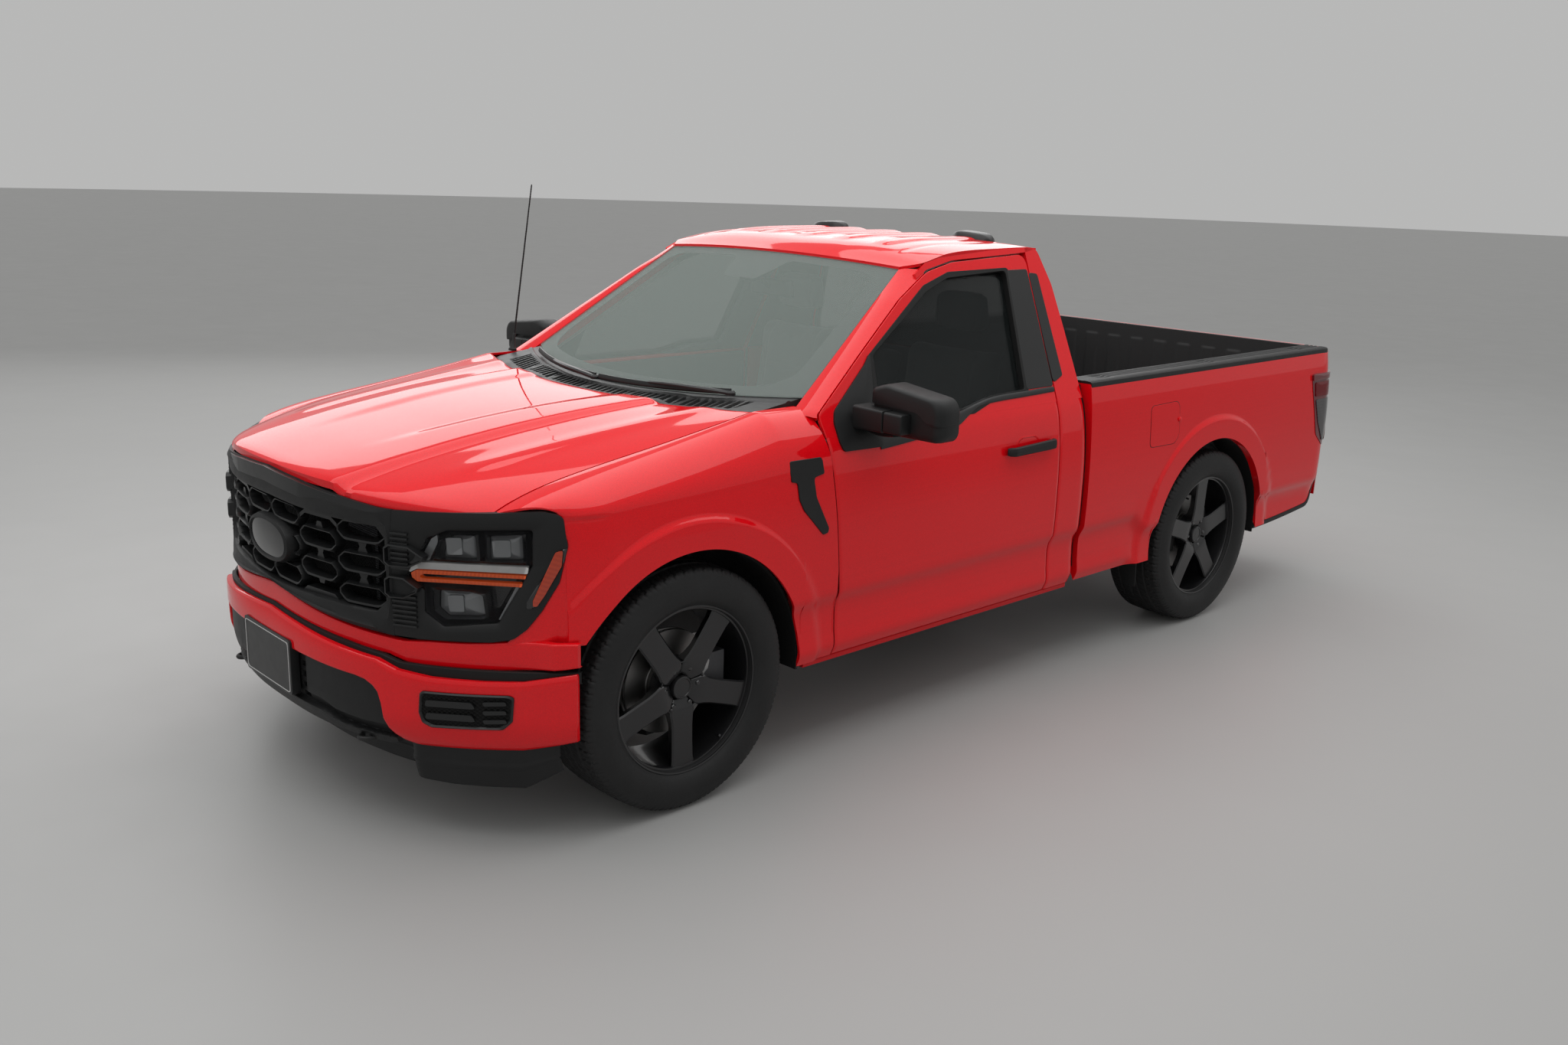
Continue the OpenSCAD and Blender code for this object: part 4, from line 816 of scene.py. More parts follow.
def bed_side_shape():
    """Rows of points up the outer skin, over the rail and down the inner wall, one row for each place
    along the bed."""
    lip = REAR_AXLE + ARCH_R * np.cos(np.radians(np.linspace(180, 0, 80)))
    ys = np.concatenate([[BED_Y0, BED_Y0 + 5], np.linspace(BED_Y0 + 40, lip[0] - 10, 30), lip,
                         np.linspace(lip[-1] + 10, BED_Y1 - 6, 26), [BED_Y1]])[:, None]
    low = bed_low_z(ys)
    f = np.linspace(0, 1, 80)[None]
    z = mix(low, RAIL_Z, f)
    x = np.minimum(HW, bed_x(z, ys) + flare(ys, z, REAR_AXLE)) - tail_tuck(ys) - 3 * (f > 0.999)
    wall = np.stack(np.broadcast_arrays(x, ys, z), -1)
    zi = mix(np.maximum(low, 640), RAIL_Z, np.linspace(1, 0, 12)[None])
    inner = np.stack(np.broadcast_arrays(BED_IN_X + 1.0, ys, zi), -1)
    return capped(np.concatenate([wall, inner], 1))


def bed_trim_shape():
    """Black edging under the bed side behind the wheel, and the flap that hangs ahead of the rear tyre."""
    y = np.linspace(REAR_AXLE + ARCH_R + 4, BED_Y1 - 30, 40)
    path = np.stack([bed_x(bed_low_z(y), y) - tail_tuck(y) - 4, y, bed_low_z(y) + 2], -1)
    edging = sweep(path, rounded([[-14, -12], [-14, 10], [7, 10], [7, -12]], 3, 3))
    s = np.linspace(0, 1, 14)
    flap = np.stack([np.full(14, 905.0), REAR_AXLE - ARCH_R - 22 + 34 * s**2, mix(400, 235, s)], -1)
    wide = rounded([[-46, -3], [-46, 3], [46, 3], [46, -3]], 2, 3)
    return edging + sweep(flap, wide[None] * np.stack([1 - 0.35 * s**3, 1 + 0 * s], -1)[:, None],
                          (0, 1, 0.3))


def door_skin():
    """The door below the window line: rows follow its front and rear edges, columns the side profile."""
    k = np.concatenate([[0, 0.003], np.linspace(0.012, 0.988, 76), [0.997, 1]])[:, None]
    z = np.concatenate([[SILL_Z, SILL_Z + 3], np.linspace(SILL_Z + 10, BELT_Z - 4, 70), [BELT_Z]])[None]
    y = mix(door_front_y(z), door_rear_y(z), k)
    roll = 3.0 * ((k < 0.002) | (k > 0.998)) + 2.5 * (z < SILL_Z + 1)
    x = side_x(z) - roll
    x, y, z = np.broadcast_arrays(x, y, z)
    outer = np.stack([x, y, z], -1)
    lap = mix(5, np.minimum(38, x - (HW - 110)), ease((y - DOOR_Y0 - 20) / 12))
    inner = np.stack([x - lap, mix(y, (DOOR_Y0 + DOOR_Y1) / 2, 0.004), z], -1)
    return slab(outer, inner)


def door_body():
    """The thick inner part of the door, behind its skin."""
    y0, y1 = DOOR_Y0 + 34, DOOR_Y1 - 20
    z = np.array([SILL_Z + 108, SILL_Z + 300, 900, BELT_Z])
    low_x = HW - 10 - 122
    rings = []
    for y, e in ((y0, 4.0), (y0 + 8, 0.0), (y1 - 8, 0.0), (y1, 4.0)):
        out = np.stack([side_x(z) - 36, np.full(4, y), z], -1)
        inn = np.stack([np.full(4, low_x + e), np.full(4, y), z], -1)[::-1]
        rings.append(np.concatenate([out, inn]))
    return capped(rings)


def door_card_shape():
    """Lining of the door's inner face: a flat board with a raised armrest, its pad and a low pocket."""
    x = HW - 134.0
    place = lambda y, z, d: (x - d + 0 * y, y, z)
    y0, y1 = DOOR_Y0 + 40, DOOR_Y1 - 34
    board = rounded([[y0, 480], [y0, 1120], [y0, BELT_Z - 10], [y1, BELT_Z - 10], [y1, 480]],
                    [30, 4, 14, 14, 50], 5)
    at = np.array([(y0 + y1) / 2, 800.0])
    shape = patch(board[::-1], at, place, 8, 0, 4, 80)
    rest = rounded([[y0 + 260, 900], [y0 + 240, 950], [y0 + 330, 985], [y1 - 120, 990], [y1 - 100, 930]],
                   18, 5)
    shape += patch(rest[::-1], rest.mean(0), place, 50, 4, 5, 60, 6)
    pocket = rounded([[y0 + 130, 520], [y0 + 110, 640], [y1 - 260, 660], [y1 - 240, 530]], 26, 5)
    return shape + patch(pocket[::-1], pocket.mean(0), place, 30, 4, 5, 60, 4)


# The door's frame above the belt and the window in it, as (place along the truck, height)
DOOR_UP = [[DOOR_Y0 - 58, BELT_Z - 4], [DOOR_Y0 - 68, up(0.118)], [DOOR_Y0 + 218, up(0.418)],
           [DOOR_Y0 + 482, up(0.687)], [DOOR_Y0 + 669, up(0.836)], [DOOR_Y0 + 825, up(0.885)],
           [DOOR_Y1 + 55, up(0.918)], [DOOR_Y1 + 8, BELT_Z - 4]]
WINDOW = [[DOOR_Y0 + 218, up(0.028)], [DOOR_Y0 + 256, up(0.395)], [DOOR_Y0 + 629, up(0.731)],
          [DOOR_Y0 + 777, up(0.805)], [DOOR_Y1 - 90, up(0.826)], [DOOR_Y1 - 167, up(0.092)],
          [DOOR_Y0 + 851, up(0.08)], [DOOR_Y0 + 720, up(0.028)]]
WINDOW_AT = np.array([DOOR_Y0 + 640, up(0.42)])


def grown(outline, centre, by):
    """An outline moved outwards from its centre by a distance."""
    c = np.asarray(outline, float)
    away = c - centre
    return c + away / np.linalg.norm(away, axis=1)[:, None] * by


def door_frame():
    """The painted frame round the door's window, and its thinner inner half with a lining."""
    outer = rounded(DOOR_UP, [4, 30, 200, 300, 260, 200, 46, 4], 8)
    inner = grown(rounded(WINDOW, [16, 24, 60, 60, 26, 18, 40, 40]), WINDOW_AT, 9)
    red = ring_plate(outer, inner, WINDOW_AT, on_lean, 0, 15)
    shrunk = grown(outer, WINDOW_AT, -20)
    return red, ring_plate(shrunk, inner, WINDOW_AT, on_lean, 15, 48)


def window_trim():
    """Black seal round the door's glass, a little proud of the frame."""
    glass = rounded(WINDOW, [10, 20, 60, 60, 20, 12, 40, 40])
    return ring_plate(grown(glass, WINDOW_AT, 17), grown(glass, WINDOW_AT, -9), WINDOW_AT, on_lean, -2.5,
                      22)


def quarter_trim():
    """Black panel behind the glass, on the door as far as its rear edge."""
    door = [[DOOR_Y1 - 163, up(0.094)], [DOOR_Y1 - 88, up(0.822)], [DOOR_Y1 + 40, up(0.822)],
            [DOOR_Y1 + 9, up(0.094)]]
    cab = [[DOOR_Y1 + 16, up(0.11)], [DOOR_Y1 + 46, up(0.80)], [DOOR_Y1 + 100, up(0.79)],
           [DOOR_Y1 + 88, up(0.15)]]
    return (plate(rounded(door, 12), on_lean, -3.0, 8), plate(rounded(cab, 14), on_lean, -3.0, 8))


# The roof's lower edge over the door, in the same measures
ROOF_LINE = [[DOOR_Y0 + 600, up(0.83)], [DOOR_Y0 + 669, up(0.89)], [DOOR_Y0 + 825, up(0.938)],
             [DOOR_Y1 - 60, up(0.958)], [DOOR_Y1 + 70, up(0.96)], [CAB_Y1 - 42, up(0.952)]]


def cab_side_shapes():
    """Behind the door: side skin up to the window line and the leaning quarter above it. Also the roof rail,
    the rocker under the door and the plates that close the door opening's front and rear."""
    z = np.concatenate([np.linspace(SILL_Z, BELT_Z, 50)])[None]
    k = np.concatenate([[0, 0.03], np.linspace(0.08, 0.92, 8), [0.97, 1]])[:, None]
    y = mix(door_rear_y(z) + SHUT, CAB_Y1, k)
    x = side_x(z) - 3.0 * (k < 0.01) - 7.0 * ease((k - 0.9) / 0.1)
    x, y, z = np.broadcast_arrays(x, y, z)
    side = slab(np.stack([x, y, z], -1), np.stack([x - 60, y, z], -1))
    quarter = [[DOOR_Y1 + 14, BELT_Z - 2], [DOOR_Y1 + 61, up(0.918)], [DOOR_Y1 + 64, up(0.955)],
               [CAB_Y1 - 42, up(0.950)], [CAB_Y1 - 4, up(0.72)], [CAB_Y1, up(0.44)], [CAB_Y1, BELT_Z - 2]]
    back = plate(rounded(quarter, [2, 20, 4, 36, 120, 60, 2], 6), on_lean, 0, 48)
    top = np.array(ROOF_LINE) - [0, 2]
    under = np.array([[DOOR_Y0 + 600, up(0.781) + 10], [DOOR_Y0 + 669, up(0.836) + 7],
                      [DOOR_Y0 + 825, up(0.885) + 6.5], [DOOR_Y1 - 60, up(0.912) + 4],
                      [DOOR_Y1 + 55, up(0.918) + 6], [DOOR_Y1 + 70, up(0.93)]])
    rail = plate(np.vstack([top, under[::-1]]), on_lean, 0, 48)
    section = [[806, 350], [955, 350], [958, 366], [954, 371], [918, 384], [916, 468], [880, 479],
               [806, 479]]
    rocker = capped([[[px, py, pz] for px, pz in section] for py in (FRONT_AXLE + 534, CAB_Y1 - 4)])
    posts = block((860, FRONT_AXLE + 534, SILL_Z), (870, DOOR_Y0 + 4, BELT_Z - 30))
    posts += block((860, DOOR_Y1 - 10, SILL_Z), (870, CAB_Y1 - 20, BELT_Z))
    return side + back + rail, rocker + posts


def shield_y(u, k):
    return mix(FRONT_AXLE + 640 - 245 * (1 - u * u), FRONT_AXLE + 1250 - 46 * (1 - u * u), k)


def shield_z(u, k):
    return mix(mix(BELT_Z + 85, BELT_Z + 111, u * u), mix(up(0.885), up(0.846), u * u), k)


def shield_x(u, k):
    return u * mix(HW - 212, HW - 350, k)


def shield_point(u, k, depth=0.0):
    """A point of the windshield, depth behind its outer face."""
    return np.stack(np.broadcast_arrays(shield_x(u, k), shield_y(u, k) + depth * 0.55,
                                        shield_z(u, k) - depth * 0.83), -1)


def pillar_shape():
    """The windshield pillar: rings from the hood's corner up to the roof rail, between the glass and the
    door frame's leading edge."""
    edge = np.array([p for p in DOOR_UP if p[0] < DOOR_Y0 + 700 and p[1] > BELT_Z])
    k = np.linspace(-0.12, 1.0, 40)[:, None]
    z = shield_z(1, k)
    y = shield_y(1, k)
    x0 = shield_x(1, k) + 3
    edge_y = np.interp(z, edge[:, 1], edge[:, 0])
    x1 = lean_x(z) - 2
    outline = [(x0, y - 2, z - 1), (mix(x0, x1, 0.35), mix(y, edge_y - 10, 0.25) - 7, z + 4),
               (mix(x0, x1, 0.75), mix(y, edge_y - 10, 0.68) - 8, z + 3), (x1 + 1, edge_y - 9, z),
               (x1 - 3, edge_y - 7, z - 10), (x1 - 50, edge_y + 12, z - 22), (x0, y + 36, z - 44)]
    rings = np.stack([np.concatenate([np.broadcast_to(c, z.shape) for c in p], 1) for p in outline], 1)
    return capped(rings)


def pillar_lining_shape():
    """Lining on the inner side of the windshield pillar."""
    k = np.linspace(0.02, 0.96, 30)[:, None]
    z = shield_z(1, k)
    y = shield_y(1, k)
    x = lean_x(z) - 56
    outline = [(x + 8, y + 40, z - 44), (x - 4, y + 60, z - 50), (x, y + 92, z - 52),
               (x + 8, y + 96, z - 52)]
    rings = np.stack([np.concatenate([np.broadcast_to(c, z.shape) for c in p], 1) for p in outline], 1)
    return capped(rings)


def roof_shape(drop=0.0, thick=11.0, inset=1.0):
    """u across from rail to rail and v from the windshield to the rear edge, with five raised ribs."""
    line = np.array(ROOF_LINE)
    edge_y = np.concatenate([[FRONT_AXLE + 1252], line[1:, 0]])
    edge_z = np.concatenate([[shield_z(1, 1) + 9], line[1:, 1]])
    edge_x = np.concatenate([[HW - 348], lean_x(line[1:, 1])])
    s = np.concatenate([[0], np.cumsum(np.hypot(np.diff(edge_y), np.diff(edge_z)))])
    s /= s[-1]
    v = np.unique(np.concatenate([s, np.linspace(0, 1, 60)]))[None]

    def along(values):
        return curve(v, np.stack([s, values], -1))

    crown = along([shield_z(0, 1) + 9, up(0.962), up(0.992), ROOF_Z, ROOF_Z - 5, up(0.972)])
    u = np.linspace(-1, 1, 121)[:, None]
    a = np.abs(u)
    z = mix(along(edge_z), crown, 1 - mix(a**2, a**3.2, np.clip(v / 0.15, 0, 1)))
    ribs = sum(np.exp(-(((a - c) / 0.055) ** 6)) for c in (0.0, 0.30, 0.60))
    z = z + 8 * ribs * ease((v - 0.16) / 0.1) * ease((0.94 - v) / 0.08) * (drop == 0)
    z = z - 3 * np.exp(-(((a - 0.80) / 0.02) ** 2)) * ease((v - 0.1) / 0.1)
    y = along(edge_y) - along([46, 22, 6, 0, 0, 0]) * (1 - u * u)
    outer = np.stack(np.broadcast_arrays(u * along(edge_x) * inset, y, z - drop), -1)
    return slab(outer, outer - [0, 0, thick])


def roof_pods_shape():
    """Two low black pods near the roof's rear edge: long domes that taper to their sides."""
    s = np.linspace(0, 1, 21)
    rings = []
    for k in s:
        w = math.sqrt(max(0.0, 1 - (2 * k - 1) ** 4))
        ring = rounded([[-46 * w - 2, 0], [-34 * w - 1, 30 * w + 1], [26 * w + 1, 34 * w + 1],
                        [46 * w + 2, 0]], [4, 16, 20, 6], 4)
        x = 320 + 205 * k
        lift = ROOF_Z - 4 - 26 * (x / 640) ** 3
        rings.append(np.stack([np.full(len(ring), x), DOOR_Y1 + 84 + ring[:, 0], lift + ring[:, 1]], -1))
    pod = capped(rings)
    return pair(pod)


def cab_back_shape():
    """The cab's rear wall with its window, the seal round it and the lining inside."""
    top = up(0.915)
    outline = [[-lean_x(BELT_Z) + 53, BELT_Z], [-lean_x(top) + 53, top + 22], [lean_x(top) - 53, top + 22],
               [lean_x(BELT_Z) - 53, BELT_Z], [HW - 136, BELT_Z], [CAB_IN_X, 485], [-CAB_IN_X, 485],
               [-HW + 136, BELT_Z]]
    window = rounded([[-600, up(0.16)], [-540, up(0.74)], [540, up(0.74)], [600, up(0.16)]], 60, 8)
    at = np.array([0.0, up(0.45)])

    def place(x, z, depth):
        y = np.interp(z, [up(0.44), up(0.72), up(0.915), up(0.98)],
                      [CAB_Y1, CAB_Y1 - 4, CAB_Y1 - 40, CAB_Y1 - 62])
        return x, y - depth, z

    wall = ring_plate(rounded(outline, 12, 4), window, at, place, 0, 34, 200)
    seal = ring_plate(grown(window, at, 6), grown(window, at, -22), at, place, -4, 14, 200)
    lining = ring_plate(grown(rounded(outline, 12, 4), at, -6), grown(window, at, -3), at, place, 32, 40,
                        200)
    return wall, seal, lining


def quarter_lining_shape():
    """Lining on the inner side of the cab behind the door, below and above the window line."""
    y0, y1 = DOOR_Y1 - 8, CAB_Y1 - 22
    low = plate([[y0, 482], [y0, BELT_Z - 2], [y1, BELT_Z - 2], [y1, 482]],
                lambda y, z, d: (CAB_IN_X + 44 - d, y, z), 0, 8)
    high = [[DOOR_Y1 + 18, BELT_Z - 2], [DOOR_Y1 + 61, up(0.918)], [y1 - 40, up(0.930)], [y1, up(0.72)],
            [y1, BELT_Z - 2]]
    return low + plate(high, on_lean, 47, 54)


def cowl_shape():
    """Between the hood and the windshield: a dark grille with slanted slots in groups inside a raised
    border."""
    u = np.linspace(-1, 1, 621)[:, None]
    k = np.linspace(0, 1, 31)[None]
    x = shield_x(u, 0) * 0.985
    front = hood_back_y(np.minimum(np.abs(x), SEAM_X)) + 5
    rear = shield_y(u, 0) + 2
    y = mix(front, rear, k)
    z = mix(hood_z(x, 1.0) - 13, shield_z(u, 0) - 6.5, k)
    group = np.abs(((x / 235.0) % 1) - 0.5) < 0.46
    band_of = (k > 0.22) & (k < 0.70) & (np.abs(x) < 690)
    slot = (np.abs((((x + 46 * k) / 29.0) % 1) - 0.5) < 0.31) & band_of & group
    z = z - 15 * slot - 5 * ease((0.12 - k) / 0.12) + 4 * ((k > 0.72) & (k < 0.78))
    outer = np.stack(np.broadcast_arrays(x, y, z), -1)
    return slab(outer, outer - [0, 0, 28])


def wiper_shapes():
    """Two arms and blades lying along the foot of the windshield."""
    parts = Shape(np.zeros((0, 3)), [])
    for start in (590, -30):
        xs = np.linspace(start - 5, start - 600, 40)
        u = xs / (HW - 212)
        base = np.stack([xs, shield_y(u, 0) - 25, shield_z(u, 0) + 10], -1)
        blade = np.stack([xs, base[:, 1] + 2, base[:, 2]], -1)
        parts += sweep(blade, np.array([[-4, -4], [4, -4], [5, 1], [1.5, 9], [-1.5, 9], [-5, 1]]) * 1.5)
        t = np.linspace(0, 1, 24)
        path = np.stack([mix(start, start - 330, t),
                         mix(base[0, 1] - 6, base[20, 1] - 2, t) - 26 * np.sin(math.pi * t),
                         mix(base[0, 2] - 2, base[20, 2] + 12, t) + 8 * np.sin(math.pi * t)], -1)
        wide = np.linspace(14, 8, 24)[:, None, None]
        parts += sweep(path,
                       np.array([[-1, -0.35], [1, -0.35], [1, 0.2], [0.5, 0.6], [-0.5, 0.6],
                                 [-1, 0.2]])[None] * wide)
        hub = np.array([[0, 0.1], [0, 17], [9, 17], [15, 12], [15, 0.1]])
        parts += lathe(hub, (0, 0), 24).turned((0, 1, 0), -90).moved(start, base[0, 1] - 4, base[0, 2] - 8)
    return parts


def antenna_shape():
    """Foot and thin whip, wound with a fine ridge, leaning rearwards."""
    x, y, z = -HW + 183, FRONT_AXLE + 518, 1246.0
    foot = [[0, 0.1], [0, 17], [8, 17], [16, 11], [34, 8], [38, 6], [70, 6], [74, 4]]
    turns = np.linspace(0, 1, 220)
    rod_r = 3.6 - 1.0 * turns + 0.5 * (np.abs((turns * 60) % 1 - 0.5) < 0.18)
    rod = np.stack([74 + turns * 612, rod_r], -1)
    whip = lathe(np.vstack([foot, rod, [[688, 2.6], [690, 0.1]]]), (0, 0), 14).turned((0, 1, 0), -90)
    return whip.turned((1, 0, 0), -9).moved(x, y, z)


# ---- Nose -----------------------------------------------------------------------------------------
def on_fascia(x, z, depth):
    """Puts points (x, z, depth) on the upright front face, depth rearwards along its normal. The face leans
    back near its top."""
    slope = 450 * 2.6 / (HW - 64) * (np.abs(x) / (HW - 64)) ** 1.6
    n = np.sqrt(1 + slope**2)
    lean = 14 * np.clip((z - 960) / 120, 0, 1) ** 2
    return x - np.sign(x) * depth * slope / n, fascia_y(x) + depth / n + lean, z


def on_bumper(x, z, depth):
    """The same on the bumper, whose face curves back towards its lower edge and rolls in at its top."""
    slope = 496 * 2.77 / (HW - 9) * (np.abs(x) / (HW - 9)) ** 1.77
    n = np.sqrt(1 + slope**2)
    tuck = 46 * np.clip((430 - z) / 130, 0, 1) ** 2 + 10 * np.clip((z - 560) / 60, 0, 1) ** 2
    return x - np.sign(x) * (depth + tuck) * slope / n, bumper_y(x) + (depth + tuck) / n, z


def mirror_outline(half):
    """A whole outline from its right half, listed from the top centre round to the bottom centre."""
    h = np.asarray(half, float)
    return np.vstack([h, (h * [-1, 1])[::-1][int(h[-1, 0] == 0):]])


# Outlines on the nose, as (distance from the middle, height): the surround's top edge, the lamp with its
# centre, and the right half of the opening for the grille
SURROUND_TOP = [[0, 1086], [190, 1077], [370, 1060], [532, 1041], [672, 1043], [817, 1051], [914, 1059]]
LAMP = [[607, 838], [626, 866], [667, 964], [718, 992], [900, 1004], [899, 897], [878, 840], [829, 719],
        [704, 700], [657, 739], [658, 806]]
LAMP_AT = np.array([772.0, 862.0])
OPENING = [[0, 987], [520, 981], [548, 950], [550, 760], [513, 722], [337, 726], [180, 722], [0, 720]]
PLATE_AT = 465.0


def surround_shape():
    """Matt black frame of the grille and lamps: a band round the grille opening, and one round each lamp."""
    middle = mirror_outline([[0, 1086], [190, 1077], [370, 1060], [532, 1041], [572, 1040], [572, 655],
                             [334, 675], [0, 713]])
    opening = mirror_outline(OPENING)[:-1]
    front = [(0, 40), (0, -3.5), (0.12, -6), (0.24, -9), (0.36, -3), (0.8, -1), (0.93, 3), (1.0, 14),
             (1.0, 60)]
    shape = band(middle, opening, np.array([0.0, 860.0]), on_fascia, front, 260)
    corner = rounded([[562, 1039], [672, 1043], [817, 1051], [914, 1060], [954, 1048], [966, 960],
                      [950, 850], [916, 760], [888, 705], [860, 672], [812, 660], [662, 655], [562, 657]],
                     [1, 30, 30, 30, 26, 60, 60, 60, 40, 30, 40, 30, 1], 5)
    lens = rounded(LAMP, 9, 4)
    edge = [(0, 34), (0, -2.6), (0.08, -3), (0.5, -5), (0.9, 0), (1, 6), (1, 40)]
    side = band(corner, lens, LAMP_AT, on_fascia, edge, 150)
    return shape + pair(side)


def lip_shape():
    """The shiny raised strip along the surround's upper edge, ending in a taper beside the hood's step."""
    x = np.linspace(-410, 410, 121)
    z = np.interp(np.abs(x), *np.array(SURROUND_TOP).T)
    taper = np.clip((410 - np.abs(x)) / 190, 0.05, 1)
    path = np.stack([x, fascia_y(x) + 4 + 6 * (1 - taper), z - 20 * taper - 5], -1)
    section = np.array([[0, -22], [-9, -17], [-15, -3], [-12, 13], [-3, 23], [12, 24], [12, -22]])
    scale = np.stack([mix(0.35, 1, taper), taper], -1)[:, None]
    return sweep(path, section * scale, (0, 0, 1))


def hex_cell(cx, cz, half_w=92, half_h=33, depth=0):
    """One elongated ring of the grille, bolder along its lower bar."""
    w, h = half_w, half_h
    outer = np.array([[-w, -9], [-w, 9], [26 - w, h - 1], [w - 26, h - 1], [w, 9], [w, -9],
                      [w - 26, -h - 3], [26 - w, -h - 3]])
    inner = np.array([[10 - w, -6], [10 - w, 6], [31 - w, h - 10], [w - 31, h - 10], [w - 10, 6],
                      [w - 10, -6], [w - 31, 12 - h], [31 - w, 12 - h]])
    centre = np.array([cx, cz])
    return band(outer + centre, inner + centre, centre, on_fascia,
                [(0, depth + 30), (0, depth + 5), (0.35, depth - 6), (0.75, depth - 4), (1, depth + 12),
                 (1, depth + 34)], 8)


def grille_shape():
    """Rings in six columns, each column half a step above or below the next, with small hooks between."""
    columns = [(s * c, rows) for s in (-1, 1) for c, rows in
               ((92.5, (955, 858, 760)), (277.5, (906, 810)), (460, (955, 858, 760)))]
    shape = Shape(np.zeros((0, 3)), [])
    for cx, rows in columns:
        for cz in rows:
            shape += hex_cell(cx, cz, 90 if abs(cx) > 400 else 92.5, 33, 16)
            for s in (-1, 1):
                hook = [[cx - 18, cz + s * 32], [cx + 18, cz + s * 32], [cx + 10, cz + s * 50],
                        [cx - 10, cz + s * 50]]
                shape += plate(hook[::s], on_fascia, 22, 46)
        if abs(cx) == 277.5:
            for bar in ([[-92, 722], [92, 722], [68, 740], [-68, 740]],
                        [[-92, 953], [-62, 973], [62, 973], [92, 953], [92, 967], [62, 986], [-62, 986],
                         [-92, 967]]):
                shape += plate(np.array(bar) + [cx, 0], on_fascia, 14, 46)
    return shape


def nacelle_shape():
    """Two closed hexagonal pockets that point outwards, between the grille and the lamp, on a ribbed
    panel."""
    shape = Shape(np.zeros((0, 3)), [])
    for cz, x1 in ((908, 668), (812, 652)):
        x0 = 556
        c = np.array([(x0 + x1) / 2, cz])
        outer = np.array([[x0, cz - 24], [x0, cz + 24], [x0 + 14, cz + 36], [x1 - 40, cz + 34],
                          [x1, cz + 4], [x1 - 4, cz - 10], [x1 - 40, cz - 34], [x0 + 14, cz - 36]])
        inner = (outer - c) * [0.84, 0.74] + c
        shape += band(outer, inner, c, on_fascia,
                      [(0, 8), (0.25, -20), (0.75, -22), (1, -6), (1, 12), (0, 12)], 8)
        shape += patch((outer - c) * [0.85, 0.75] + c, c, on_fascia, -3, 12, 4, 24, 6)
    for z in list(np.arange(866, 972, 15.0)) + list(np.arange(690, 782, 15.0)):
        x1 = 622 if z > 840 else 640
        shape += plate([[574, z], [574, z + 6], [x1, z + 6], [x1, z]], on_fascia, -11, 8)
    return shape


def oval(half_w, half_h, cx=0.0, cz=853.0, n=64):
    """A flattened oval: the superellipse of power 2.3."""
    a = np.linspace(0, 2 * math.pi, n, endpoint=False)
    c, s = np.cos(a), np.sin(a)
    return np.stack([cx + half_w * np.sign(c) * np.abs(c) ** (2 / 2.3),
                     cz + half_h * np.sign(s) * np.abs(s) ** (2 / 2.3)], -1)


def on_flat(y0):
    """A flat upright face at y0, depth rearwards."""

    def place(x, z, depth):
        return x, y0 + depth, z

    return place


